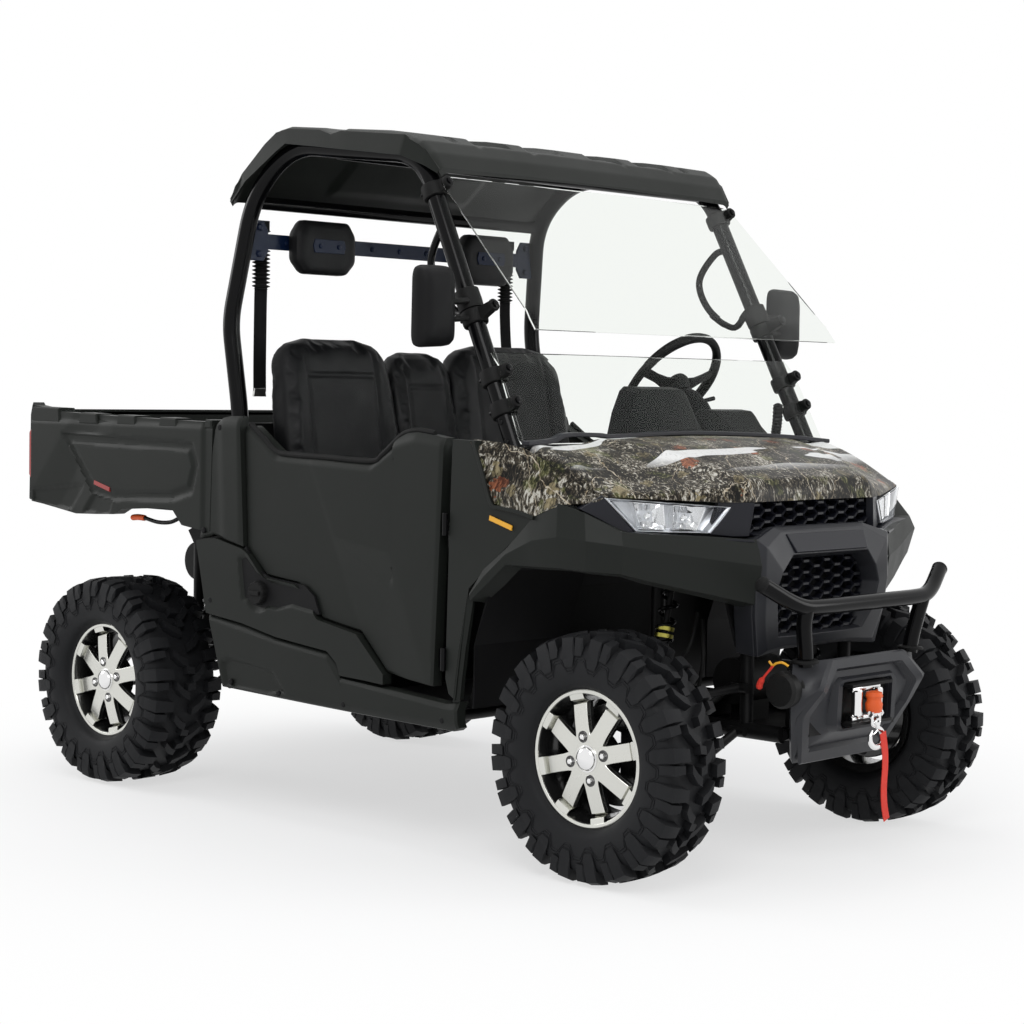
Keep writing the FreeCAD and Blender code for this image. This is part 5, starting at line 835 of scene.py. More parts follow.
def build_rim(end, side_name):
    """A rim: black barrel, machined spokes, lip and pads, four nuts in dark wells and a bare domed cap."""
    s = sizes()
    side = SIDES[side_name]
    x, y, half, face = WHEEL_ENDS[end]
    middle = np.array([x, 0, HUB_HEIGHT])
    body = f"wheel_{end}_{side_name}"
    name = f"rim_{end}_{side_name}"
    lip = s.rim_radius
    deep = face - y + half * 0.78
    angles = [FIRST_SPOKE + 2 * math.pi * number / s.spoke_count for number in range(s.spoke_count)]

    def behind(*rows):
        """Rows of (radius, depth behind the rim's face) as a profile on this side."""
        return [(radius, side * (face - depth)) for radius, depth in rows]

    barrel = Skin()
    revolved(barrel, behind((lip - 0.006, 0.002), (lip - 0.012, 0.006), (lip - 0.020, 0.030),
                            (lip - 0.030, 0.060), (lip - 0.026, deep - 0.010), (lip - 0.004, deep),
                            (lip - 0.003, deep - 0.006), (lip - 0.020, deep - 0.020), (lip - 0.024, 0.058),
                            (lip - 0.014, 0.028), (lip - 0.003, 0.012)), middle, steps=72)
    revolved(barrel, behind((0.030, 0.048), (0.062, 0.046), (0.062, 0.030), (0.030, 0.020)), middle)
    turned(barrel, behind((0.0, 0.060), (0.066, 0.060), (0.066, 0.022), (0.0, 0.022)), middle)
    for angle in angles:
        barrel.solid(spoke_rings(angle, face - 0.012, side) + middle)
    revolved(barrel, behind((0.060, 0.110), (0.128, 0.110), (0.131, 0.113), (0.131, 0.117), (0.128, 0.120),
                            (0.060, 0.120)), middle, steps=64)
    piece(name + "_barrel", barrel, "wheel_black", [name], body=body)

    bright = Skin()
    revolved(bright, behind((lip - 0.012, 0.005), (lip - 0.011, 0.0015), (lip - 0.004, 0.0), (lip, 0.002),
                            (lip - 0.001, 0.010), (lip - 0.008, 0.009)), middle, steps=96)
    for angle in angles:
        bright.solid(spoke_rings(angle, face, side) + middle)
        radial, cross = around_axle(angle)
        pads = [[radial * r + cross * c + np.array([0, side * (face - d), 0]) for c, d in
                 ((-0.0225, depth + 0.008), (0.0225, depth + 0.008), (0.0225, depth), (-0.0225, depth))]
                for r, depth in ((0.1425, 0.020), (0.1475, 0.0065), (lip - 0.010, 0.0025))]
        bright.solid(np.array(pads) + middle)
    turned(bright, behind((0.0, 0.020), (0.046, 0.020), (0.047, 0.008), (0.044, 0.0045), (0.0, 0.0045)),
           middle)
    piece(name + "_face", bright, "machined", body=body, bevel=0.0008)

    wells, shiny = Skin(), Skin()
    for number in range(NUTS):
        angle = FIRST_SPOKE + 2 * math.pi * number / NUTS
        spot = middle + NUT_CIRCLE * around_axle(angle)[0]
        revolved(wells, behind((0.0070, 0.018), (0.0148, 0.018), (0.0148, 0.0036), (0.0138, 0.0030),
                               (0.0120, 0.0039), (0.0070, 0.0041)), spot, steps=32)
        turned(shiny, behind((0, 0.020), (0.0092, 0.020), (0.0090, 0.002), (0.0064, -0.002), (0, -0.0028)),
               spot, steps=6)
    dome = [(0.031 * math.cos(a), 0.002 - 0.016 * math.sin(a)) for a in np.linspace(0, math.pi / 2, 7)]
    turned(shiny, behind((0, 0.010), (0.034, 0.010), (0.034, 0.002), *dome), middle, steps=40)
    piece(name + "_wells", wells, "wheel_black", body=body)
    piece(name + "_nuts", shiny, "chrome", body=body, bevel=0.0006)


# Bodywork helpers


def ruled(first, second, nu, nv):
    """The grid between two polylines of matched points: both are walked by the mean of their lengths, and
    row u runs straight from first(u) to second(u)."""
    a, b = np.asarray(first, float), np.asarray(second, float)
    steps = (np.linalg.norm(np.diff(a, axis=0), axis=1) + np.linalg.norm(np.diff(b, axis=0), axis=1)) / 2
    length = np.concatenate([[0], np.cumsum(steps)])
    places = np.unique(np.concatenate([np.linspace(0, length[-1], nu), length]))
    a, b = (np.stack([np.interp(places, length, line[:, k]) for k in range(3)], axis=-1) for line in (a, b))
    v = np.linspace(0, 1, nv)[None, :, None]
    return a[:, None] * (1 - v) + b[:, None] * v


def grid_normals(grid):
    """Unit normals of a grid (n, m, 3): the cross product of its two differences at each point."""
    across = np.cross(np.gradient(grid, axis=0), np.gradient(grid, axis=1))
    return across / np.maximum(np.linalg.norm(across, axis=-1, keepdims=True), 1e-9)


def wall(skin, grid, thickness, middle):
    """A closed wall: the grid, and the same grid moved in by the thickness along its normals, which are
    turned away from a point in the middle of the body."""
    grid = np.asarray(grid, float)
    normals = grid_normals(grid)
    if np.einsum("ijk,ijk->", normals, grid - np.asarray(middle, float)) < 0:
        normals = -normals
    return skin.shell(grid, grid - normals * thickness)


def sided(points, side):
    """Points given for the left, on the wanted side."""
    return np.asarray(points, float) * (1, side, 1)


def softened(grid, rounds=1):
    """A grid whose inner points move to the mean of themselves and their four neighbours, some rounds."""
    grid = np.array(grid, float)
    for _ in range(rounds):
        inner = (grid[:-2, 1:-1] + grid[2:, 1:-1] + grid[1:-1, :-2] + grid[1:-1, 2:]) / 4
        grid[1:-1, 1:-1] = (grid[1:-1, 1:-1] + inner) / 2
    return grid


def finer(rows, nu, nv):
    """A coarse grid of rows refined by straight interpolation, kept at the coarse points: nu new rows and
    nv new columns in each step."""
    rows = np.asarray(rows, float)
    for count, axis in ((nu, 0), (nv, 1)):
        places = np.linspace(0, rows.shape[axis] - 1, (rows.shape[axis] - 1) * count + 1)
        low = np.minimum(places.astype(int), rows.shape[axis] - 2)
        share = (places - low).reshape((-1, 1, 1) if axis == 0 else (1, -1, 1))
        rows = np.take(rows, low, axis) * (1 - share) + np.take(rows, low + 1, axis) * share
    return rows


# Hood and front bodywork


def hood_edge(v):
    """The hood's front lower edge over -1..1: straight over the grille, then swept back over the lamps."""
    a = np.abs(v)
    y = np.interp(a, [0, 0.40, 0.56, 0.97, 1.0], [0, 0.262, 0.355, 0.636, 0.652]) * np.sign(v)
    x = np.interp(a, [0, 0.40, 0.56, 0.97, 1.0], [1.172, 1.166, 1.132, 0.996, 0.972])
    z = np.interp(a, [0, 0.40, 0.56, 0.97, 1.0], [0.950, 0.949, 0.950, 0.964, 0.968])
    return x, y, z


def build_hood():
    """The hood: a front face over the grille, then a crowned top with two long raised creases, from
    1.172 to 0.742 along and 0.655 to each side."""
    v = np.linspace(-1, 1, 121)
    s = np.concatenate([np.linspace(0, 0.14, 8), np.linspace(0.14, 1, 52)[1:]])
    x0, y0, z0 = hood_edge(v)
    a = np.abs(v)
    face = np.interp(a, [0, 0.38, 0.5, 0.75, 1.0], [0.058, 0.056, 0.040, 0.020, 0.012])
    back = np.interp(a, [0, 0.38, 0.5, 1.0], [0.018, 0.018, 0.020, 0.012])
    x1, y1, z1 = x0 - back, y0 * 0.992, z0 + face
    y2 = 0.655 * v
    x2 = np.full_like(v, 0.742)
    z2 = 1.104 - 0.020 * v ** 2 - 0.012 * np.clip((a - 0.93) / 0.07, 0, 1) ** 2
    t = np.clip((s - 0.14) / 0.86, 0, 1)[:, None]
    f = np.clip(s / 0.14, 0, 1)[:, None]
    blend = t * t * (3 - 2 * t) * 0.35 + t * 0.65
    x = (x0 + (x1 - x0) * f ** 1.5) * (t == 0) + (x1 + (x2 - x1) * t) * (t > 0)
    y = (y0 + (y1 - y0) * f) * (t == 0) + (y1 + (y2 - y1) * blend) * (t > 0)
    z = (z0 + (z1 - z0) * f ** 0.75) * (t == 0) + (z1 + (z2 - z1) * (1 - (1 - t) ** 1.25)) * (t > 0)
    swell = 0.016 * np.sin(np.pi * np.clip(t, 0, 1)) * (1 - a ** 6)[None]
    crease = (0.42 + 0.18 * np.linspace(0, 1, 61)[:len(s)])[:, None]
    ridge = 0.011 * (1 - t) ** 0.5 * np.clip(1.0 - np.abs(a[None] - crease) / 0.055, 0, 1)
    valley = -0.010 * np.clip((a[None] - crease) / 0.10, 0, 1) * np.clip((0.95 - a[None]) / 0.10, 0, 1)
    edge = -0.020 * np.clip((a[None] - 0.955) / 0.045, 0, 1) ** 2 * (t > 0)
    z = z + (swell + (ridge + valley) * np.minimum(t * 5, 1)) + edge
    grid = softened(np.stack([x, y, z], axis=-1), 2)
    skin = wall(Skin(), grid, 0.008, (0.9, 0, 0.6))
    piece("hood_skin", skin, "camouflage", ["hood"], body="hood", crisp=50.0)
    seal = Skin()
    path = smoothed([(0.735, -0.655, 1.088), (0.736, -0.56, 1.094), (0.730, -0.50, 1.108),
                     (0.730, -0.38, 1.108), (0.735, -0.30, 1.104), (0.735, 0, 1.112), (0.735, 0.4, 1.102),
                     (0.735, 0.655, 1.086)], 80)
    ribbon(seal, path, 0.026, 0.012, (1, 0, 0))
    piece("windshield_seal", seal, "satin_trim", bevel=0.003)
    under = Skin()
    for side in SIDES.values():
        for start, end in (((1.161, 0.15, 0.944), (1.150, 0.15, 0.975)),
                           ((1.13, 0.15, 0.985), (0.78, 0.20, 1.075))):
            rod(under, sided(start, side), sided(end, side), 0.006)
    piece("hood_stiffeners", under, "trim", body="hood")


CAMO_TOP = [(0.566, 0.662, 1.094), (0.66, 0.664, 1.088), (0.742, 0.664, 1.076), (0.83, 0.664, 1.040),
            (0.90, 0.662, 1.005), (0.965, 0.655, 0.972), (0.992, 0.642, 0.962)]
CAMO_LOW = [(0.600, 0.698, 1.088), (0.636, 0.699, 1.010), (0.672, 0.700, 0.934), (0.740, 0.705, 0.922),
            (0.818, 0.704, 0.910), (0.888, 0.702, 0.940), (0.975, 0.668, 0.950)]


def build_hood_sides():
    """The printed panels beside the hood: a ruled sheet from the hood's edge down to the flare."""
    for name, side in SIDES.items():
        grid = ruled(sided(CAMO_TOP, side), sided(CAMO_LOW, side), 48, 20)
        v = np.linspace(0, 1, grid.shape[1])
        fade = np.linspace(1, 0.4, grid.shape[0])[:, None]
        grid[..., 1] += side * 0.010 * np.sin(np.pi * v)[None, :] * fade
        skin = wall(Skin(), grid, 0.008, (0.8, 0, 0.9))
        piece(f"hood_side_{name}_print", skin, "camouflage", [f"hood_side_{name}"],
              crisp=50.0)
        rail = Skin()
        ribbon(rail, smoothed(sided([(0.600, 0.7045, 1.090), (0.636, 0.706, 1.010), (0.668, 0.7065, 0.934),
                                     (0.700, 0.7065, 0.9245), (0.760, 0.7065, 0.917), (0.816, 0.706, 0.905)],
                                    side), 30),
               0.010, 0.007, (0, 0, 1))
        piece(f"camo_edge_{name}", rail, "charcoal", bevel=0.002)


PANEL_REAR = [(0.520, 0.432), (0.508, 0.470), (0.509, 0.55), (0.512, 0.717), (0.5135, 0.80), (0.515, 0.872),
              (0.516, 0.900), (0.517, 0.925), (0.519, 1.00), (0.522, 1.093)]
PANEL_FRONT = [(0.546, 0.418), (0.552, 0.470), (0.563, 0.55), (0.590, 0.712), (0.690, 0.800), (0.790, 0.880),
               (0.815, 0.908), (0.672, 0.928), (0.640, 1.00), (0.600, 1.091)]

FLARE_ROWS = [
    [(0.592, 0.670, 0.704), (0.592, 0.702, 0.700), (0.5935, 0.706, 0.693), (0.596, 0.703, 0.680),
     (0.600, 0.650, 0.672)],
    [(0.640, 0.670, 0.768), (0.640, 0.701, 0.765), (0.652, 0.712, 0.748), (0.664, 0.706, 0.733),
     (0.668, 0.650, 0.722)],
    [(0.722, 0.670, 0.828), (0.722, 0.701, 0.825), (0.726, 0.713, 0.808), (0.722, 0.706, 0.782),
     (0.726, 0.650, 0.771)],
    [(0.812, 0.670, 0.913), (0.815, 0.702, 0.911), (0.816, 0.713, 0.848), (0.812, 0.706, 0.783),
     (0.812, 0.650, 0.772)],
    [(0.889, 0.660, 0.944), (0.891, 0.700, 0.945), (0.900, 0.713, 0.862), (0.900, 0.705, 0.785),
     (0.895, 0.650, 0.775)],
    [(0.950, 0.640, 0.925), (0.966, 0.684, 0.925), (0.982, 0.697, 0.856), (0.972, 0.684, 0.780),
     (0.955, 0.635, 0.770)],
    [(1.005, 0.590, 0.882), (1.044, 0.635, 0.881), (1.058, 0.643, 0.846), (1.042, 0.632, 0.775),
     (1.005, 0.590, 0.765)],
    [(1.030, 0.550, 0.872), (1.067, 0.588, 0.876), (1.079, 0.588, 0.837), (1.066, 0.576, 0.760),
     (1.035, 0.545, 0.748)],
    [(1.095, 0.400, 0.862), (1.146, 0.417, 0.867), (1.158, 0.417, 0.810), (1.143, 0.413, 0.722),
     (1.100, 0.400, 0.712)],
    [(1.140, 0.280, 0.852), (1.199, 0.288, 0.857), (1.212, 0.284, 0.791), (1.199, 0.280, 0.690),
     (1.150, 0.274, 0.680)],
]


def build_fenders():
    """The side panel before each door, and the faceted flare that turns round the corner to the nose."""
    for name, side in SIDES.items():
        rear = [(x, side * 0.700, z) for x, z in PANEL_REAR]
        front = [(x, side * 0.702, z) for x, z in PANEL_FRONT]
        grid = ruled(rear, front, 90, 14)
        skin = wall(Skin(), grid, 0.030, (0.6, 0, 0.7))
        lip = [(0.540, 0.412), (0.5465, 0.470), (0.558, 0.55), (0.585, 0.690)]
        edge = ruled([(x, side * 0.7035, z) for x, z in lip], [(x + 0.012, side * 0.690, z) for x, z in lip],
                     24, 3)
        wall(skin, edge, 0.006, (0.4, 0, 0.6))
        piece(f"fender_panel_{name}", skin, "charcoal", [f"fender_{name}"],
              bevel=0.003)
        rows = np.array([sided(row, side) for row in FLARE_ROWS])
        flare = wall(Skin(), rows, 0.004, (0.8, side * 0.3, 0.8))
        piece(f"fender_flare_{name}", flare, "charcoal", crisp=14.0, bevel=0.005,
              segments=3)
        reflector = Skin()
        slab(reflector, [(0.664, 0.9035), (0.7425, 0.8815), (0.7405, 0.8690), (0.662, 0.8910)], side, 0.7015,
             0.7075, 0.0012)
        piece(f"side_reflector_{name}", reflector, "amber")


def hexagons(skin, middles, wide, tall, bar, x, depth):
    """Honeycomb cells: rings between an outer and an inner hexagon, (wide, tall) across, bar thick, tapering
    from front to back. All cells are worked out at once and share their walls with their neighbours."""
    turn = np.array([(-0.5, 0), (-0.25, 0.5), (0.25, 0.5), (0.5, 0), (0.25, -0.5), (-0.25, -0.5)])
    outer = turn * (wide, tall)
    inner = turn * (wide - bar * 2.0, tall - bar * 1.6)
    low = turn * (wide - bar * 3.4, tall - bar * 3.0)
    for y, z in middles:
        rings = []
        for flat, back in ((outer, 0.004), (inner, 0.0), (low, depth), (outer, depth)):
            rings.append(np.stack([np.full(6, x - back), y + flat[:, 0], z + flat[:, 1]], axis=1))
        skin.ring(np.stack(rings, axis=1))


def inside_of(outline, points):
    """Which points lie inside an outline of (a, b) pairs: a ray to the right crosses it an odd number of
    times."""
    outline, points = np.asarray(outline, float), np.asarray(points, float)
    inside = np.zeros(len(points), bool)
    for (ax, az), (bx, bz) in zip(outline, np.roll(outline, -1, axis=0)):
        if az == bz:
            continue
        crosses = (az > points[:, 1]) != (bz > points[:, 1])
        inside ^= crosses & (points[:, 0] < (bx - ax) * (points[:, 1] - az) / (bz - az) + ax)
    return inside


def honeycomb(outline, wide, tall):
    """The middles of the staggered cells that lie inside an outline."""
    i, j = np.meshgrid(np.arange(-14, 15), np.arange(-14, 15), indexing="ij")
    y = i * wide * 0.75
    z = (j + 0.5 * (i % 2)) * tall
    low = np.asarray(outline, float).mean(axis=0)
    points = np.stack([y.ravel(), z.ravel() + low[1]], axis=1)
    return points[inside_of(outline, points)]


FASCIA_LOOPS = [
    # left half of each loop, from the top round to the bottom: (along, across, up)
    [(1.120, 0, 0.872), (1.120, 0.185, 0.872), (1.135, 0.285, 0.850), (1.135, 0.285, 0.74),
     (1.130, 0.278, 0.66), (1.120, 0.250, 0.560), (1.120, 0.14, 0.560), (1.120, 0, 0.560)],
    [(1.178, 0, 0.886), (1.178, 0.196, 0.885), (1.200, 0.292, 0.858), (1.202, 0.294, 0.74),
     (1.196, 0.288, 0.66), (1.186, 0.262, 0.556), (1.178, 0.15, 0.568), (1.178, 0, 0.568)],
    [(1.196, 0, 0.874), (1.196, 0.186, 0.874), (1.214, 0.268, 0.838), (1.216, 0.272, 0.735),
     (1.210, 0.262, 0.655), (1.196, 0.235, 0.572), (1.188, 0.15, 0.578), (1.188, 0, 0.578)],
    [(1.224, 0, 0.815), (1.224, 0.166, 0.815), (1.222, 0.206, 0.772), (1.219, 0.226, 0.728),
     (1.212, 0.212, 0.660), (1.194, 0.184, 0.604), (1.194, 0.10, 0.602), (1.194, 0, 0.602)],
    [(1.176, 0, 0.800), (1.176, 0.156, 0.800), (1.174, 0.192, 0.766), (1.172, 0.210, 0.728),
     (1.166, 0.198, 0.666), (1.150, 0.174, 0.616), (1.150, 0.10, 0.614), (1.150, 0, 0.614)],
]


def build_fascia():
    """The nose: a keystone surround whose loops run from its outer rim over a ridge into the lower grille's
    opening, a bare raised plate, and dark bezels beside the upper grille."""
    half = np.array(FASCIA_LOOPS)
    loops = np.concatenate([half, half[:, -2:0:-1] * (1, -1, 1)], axis=1)
    n, m = loops.shape[:2]
    outer = loops.reshape(-1, 3)
    skin = Skin().add(np.concatenate([outer, outer - (0.012, 0, 0)]), band_faces(n, m))
    piece("fascia_surround", skin, "nose", ["fascia"], crisp=14.0, bevel=0.0035,
          segments=3)
    plate = Skin()
    rows = [[(x, -y, z), (x, y, z)] for x, y, z in ((1.199, 0.172, 0.866), (1.2245, 0.158, 0.820))]
    grid = finer(rows, 2, 4) + (0.004, 0, 0.002)
    wall(plate, grid, 0.010, (1.0, 0, 0.84))
    piece("nose_plate", plate, "satin_trim", bevel=0.0025, segments=3)
    bezel = Skin()
    for side in SIDES.values():
        outline = [[(1.121, 0.352, 0.952), (1.150, 0.300, 0.950), (1.169, 0.262, 0.948)],
                   [(1.116, 0.366, 0.905), (1.145, 0.312, 0.900), (1.165, 0.270, 0.905)],
                   [(1.112, 0.374, 0.868), (1.142, 0.318, 0.862), (1.163, 0.276, 0.862)]]
        grid = np.array([sided(row, side) for row in outline])
        wall(bezel, grid, 0.02, (1.0, 0, 0.9))
        inner = [[(1.169, 0.262, 0.948), (1.130, 0.258, 0.946)],
                 [(1.163, 0.276, 0.862), (1.125, 0.270, 0.864)]]
        wall(bezel, np.array([sided(row, side) for row in inner]), 0.004, (1.1, side * 0.5, 0.9))
    shelf = [[(1.110, -0.276, 0.875), (1.110, 0, 0.877), (1.110, 0.276, 0.875)],
             [(1.185, -0.262, 0.868), (1.182, 0, 0.884), (1.185, 0.262, 0.868)]]
    wall(bezel, shelf, 0.006, (1.15, 0, 0.7))
    piece("nose_bezels", bezel, "satin_trim", crisp=20.0, bevel=0.0025)
    mesh = Skin()
    wide, tall = 0.062, 0.0295
    upper = honeycomb([(-0.282, 0.862), (-0.272, 0.960), (0.272, 0.960), (0.282, 0.862)], wide, tall)
    hexagons(mesh, upper, wide, tall, 0.0042, 1.152, 0.022)
    mesh.points = [np.clip(cell, (-9, -0.268, 0.860), (9, 0.268, 0.956)) for cell in mesh.points]
    lower = honeycomb([(0, 0.832), (0.19, 0.832), (0.25, 0.728), (0.20, 0.585), (-0.20, 0.585),
                       (-0.25, 0.728), (-0.19, 0.832)], wide, tall)
    hexagons(mesh, lower, wide, tall, 0.0036, 1.176, 0.018)
    shroud = Skin()
    prism(shroud, [(-0.310, 0.728), (-0.250, 0.575), (0.250, 0.575), (0.310, 0.728), (0.280, 0.850),
                   (-0.280, 0.850)],
          1.104, 1.112, axis="x")
    piece("radiator_shroud", shroud, "trim")
    bars = Skin()
    long = 0.030
    for middles, x in ((upper, 1.154), (lower, 1.1785)):
        for y, z in middles:
            if x < 1.17 and abs(y) > 0.25:
                continue
            level, end = z - tall / 2, long / 2
            bars.solid([[(x - 0.010, y + way * end, level - 0.0045),
                         (x - 0.010, y + way * end, level + 0.0045),
                         (x - 0.002, y + way * (end - 0.003), level + 0.003),
                         (x - 0.002, y + way * (end - 0.003), level - 0.003)] for way in (-1, 1)])
    piece("grille_mesh", mesh, "satin_trim", ["grille"])
    piece("grille_bars", bars, "nose")


LAMP_OUTLINE = [(0.990, 0.641, 0.962), (1.136, 0.322, 0.937), (1.114, 0.376, 0.872), (1.027, 0.564, 0.878)]


def build_headlamps():
    """Each lamp: a bright tray, two square bowls, a dark wedge outside and a clear cover in front."""
    for name, side in SIDES.items():
        corners = sided(LAMP_OUTLINE, side)
        centre = corners.mean(axis=0)
        out = np.cross(unit(corners[1] - corners[0]), (0, 0, 1.0))
        out = unit(out) * np.sign(out[0])
        loops = []
        for share, depth in ((1.0, 0.004), (0.965, 0.006), (0.93, 0.002), (0.90, -0.020), (0.80, -0.030)):
            loops.append(centre + (corners - centre) * share + out * depth)
        tray = Skin()
        n = len(loops)
        pts = np.array(loops).reshape(-1, 3)
        faces = strip_faces(n, 4, across=True) + [[4 * n - 1, 4 * n - 2, 4 * n - 3, 4 * n - 4]]
        back = [[(i + 0), (i + 1) % 4, 4 * n + (i + 1) % 4, 4 * n + i] for i in range(4)]
        rear = corners - out * 0.045
        tray.add(np.concatenate([pts, rear]), faces + back + [[4 * n, 4 * n + 1, 4 * n + 2, 4 * n + 3]])
        piece(f"lamp_tray_{name}", tray, "lamp_silver", ["headlamps"], crisp=20.0, bevel=0.001)
        bowls = Skin()
        for low, high in ((0.20, 0.49), (0.53, 0.84)):
            top = [corners[0] + (corners[1] - corners[0]) * p for p in (low, high)]
            bottom = [corners[3] + (corners[2] - corners[3]) * p
                      for p in ((low - 0.14) * 1.22, (high - 0.10) * 1.16)]
            frame4 = np.array([top[0], top[1], bottom[1], bottom[0]])
            middle = frame4.mean(axis=0)
            frame4 = middle + (frame4 - middle) * 0.80
            rings = []
            for share, depth in ((1.0, -0.006), (1.06, -0.004), (1.06, -0.030), (0.9, -0.034)):
                rings.append(middle + (frame4 - middle) * share + out * depth)
            steps = 9
            for k in range(steps):
                r = 1.0 - k / steps * 0.92
                rings.append(middle + (frame4 - middle) * r + out * (-0.006 - 0.030 * (1 - r ** 2)))
            pts = np.array(rings[:4][::-1] + rings[4:]).reshape(-1, 3)
            count = len(rings)
            last = 4 * count - 1
            faces = strip_faces(count, 4, across=True) + [[last, last - 1, last - 2, last - 3], [0, 1, 2, 3]]
            bowls.add(pts, faces)
            turned(bowls, [(0, -0.004), (0.0075, -0.002), (0.0085, 0.006), (0.006, 0.011), (0, 0.013)],
                   middle - out * 0.030, out, steps=20)
        piece(f"lamp_bowls_{name}", bowls, "chrome", crisp=30.0)
        cover = Skin()
        grid = np.array([[corners[0], corners[1]], [corners[3], corners[2]]])
        grid = centre + (finer(grid, 4, 8) - centre) * 0.985 + out * 0.010
        u = np.linspace(-1, 1, grid.shape[1])[None, :, None]
        w = np.linspace(-1, 1, grid.shape[0])[:, None, None]
        grid = grid + out * 0.006 * (1 - u ** 2) * (1 - w ** 2)
        wall(cover, grid, 0.0025, (0.6, 0, 0.9))
        piece(f"lamp_cover_{name}", cover, "lens")
        wedge = Skin()
        block = [[(0.958, 0.694, 0.934), (0.990, 0.646, 0.968)],
                 [(1.020, 0.590, 0.874), (1.028, 0.566, 0.878)]]
        wall(wedge, finer([sided(row, side) for row in block], 3, 2), 0.03, (0.8, 0, 0.8))
        under = [[(0.95, 0.62, 0.885), (1.10, 0.33, 0.862)], [(1.045, 0.634, 0.879), (1.199, 0.300, 0.856)]]
        wall(wedge, finer([sided(row, side) for row in under], 2, 3), 0.006, (0.9, 0, 0.6))
        piece(f"lamp_surround_{name}", wedge, "satin_trim", crisp=20.0, bevel=0.002)


# Doors and side panels


HINGE_X = 0.5035
PANEL_CELL = 0.0075
DOOR_TOP = [(-0.331, 1.106), (-0.304, 1.108), (-0.240, 1.066), (-0.192, 1.035), (-0.140, 1.0285),
            (0.0, 1.026), (0.197, 1.022), (0.240, 1.040), (0.309, 1.090), (0.345, 1.104), (0.382, 1.108),
            (0.440, 1.102), (0.491, 1.095)]
DOOR_LOW = [(-0.312, 0.762), (-0.268, 0.726), (-0.223, 0.688), (-0.150, 0.681), (-0.083, 0.675),
            (-0.045, 0.641), (-0.006, 0.607), (0.015, 0.585), (0.090, 0.573), (0.172, 0.562), (0.225, 0.513),
            (0.279, 0.464), (0.360, 0.453), (0.464, 0.445)]


def door_relief(x, z):
    """How far the door's face lies inside the side plane: a chamfer by its top, the big facet that falls
    away in front of the crease from the belt line to the sill, and the low facet under the long crease."""
    depth = facet_depth(x, z, [((0.197, 1.018), (0.384, 0.581), 0.055),
                               ((0.384, 0.581), (0.459, 0.460), 0.03)])
    depth = np.minimum(depth, 0.017)
    low = facet_depth(x, z, [((0.155, 0.699), (-0.282, 0.757), 0.16)])
    depth = np.maximum(depth, np.minimum(low, 0.016) * (x < 0.30))
    top = np.interp(x, [-0.331, -0.304, -0.192, 0.197, 0.309, 0.382, 0.5],
                    [1.108, 1.108, 1.035, 1.022, 1.09, 1.108, 1.095])
    return depth + 0.010 * np.clip((z - top + 0.026) / 0.026, 0, 1) ** 1.4


def columns_grid(low, high, side, relief, spacing, plane=SIDE_PLANE):
    """A panel's outer face in upright columns: at each place along x it runs from the lower outline's
    height to the upper one's, and both are functions of x."""
    low, high = np.asarray(low), np.asarray(high)
    x0, x1 = max(low[0, 0], high[0, 0]), min(low[-1, 0], high[-1, 0])
    xs = np.linspace(0, 1, int((x1 - x0) / spacing) + 2)
    xl = low[0, 0] + (low[-1, 0] - low[0, 0]) * xs
    xh = high[0, 0] + (high[-1, 0] - high[0, 0]) * xs
    zl, zh = np.interp(xl, low[:, 0], low[:, 1]), np.interp(xh, high[:, 0], high[:, 1])
    v = np.linspace(0, 1, int(np.max(zh - zl) / spacing) + 2)
    x = xl[:, None] * (1 - v) + xh[:, None] * v
    z = zl[:, None] * (1 - v) + zh[:, None] * v
    return np.stack([x, side * (plane - relief(x, z)), z], axis=-1)


def closed_panel(grid, side, thickness):
    """A panel whose inner face is flat across, the thickness inside its outer one, with rolled rims."""
    inner = grid - np.array([0, side * thickness, 0])
    edge = np.ones(grid.shape[:2], bool)
    edge[1:-1, 1:-1] = False
    outer = grid.copy()
    outer[edge] -= (0, side * 0.004, 0)
    return Skin().shell(outer, inner)


def build_doors():
    """The half doors with their faceted faces, the latch pocket by the top, and hinge straps in front."""
    for name, side in SIDES.items():
        body = f"door_{name}"
        grid = columns_grid(DOOR_LOW, DOOR_TOP, side, door_relief, PANEL_CELL)
        skin = closed_panel(grid, side, DOOR_THICK)
        piece(f"door_{name}_shell", skin, "charcoal", [f"door_{name}"], body=body, crisp=28.0)
        trim = Skin()
        inner = smoothed([(x, side * 0.682, z + 0.004) for x, z in DOOR_TOP[1:-1]], 90)
        tube(trim, inner, 0.008, 10)
        piece(f"door_{name}_top_seal", trim, "rubber", body=body)
        latch = Skin()
        slab(latch, [(-0.26, 0.93), (-0.18, 0.93), (-0.17, 0.96), (-0.19, 0.985), (-0.25, 0.985),
                     (-0.27, 0.96)], side, 0.664, 0.672, 0.002)
        slab(latch, [(-0.245, 0.945), (-0.20, 0.945), (-0.195, 0.958), (-0.21, 0.968), (-0.24, 0.968)], side,
             0.655, 0.665, 0.002)
        piece(f"door_{name}_latch", latch, "trim", body=body)
        hinge = Skin()
        for z in (0.520, 0.872):
            rod(hinge, (HINGE_X, side * SIDE_PLANE, z - 0.030), (HINGE_X, side * SIDE_PLANE, z + 0.030),
                0.0075)
            ribbon(hinge, [(HINGE_X, side * 0.703, z), (0.474, side * 0.6895, z)], 0.050, 0.004, (0, 0, 1))
        piece(f"door_{name}_hinges", hinge, "tube", body=body, bevel=0.001)


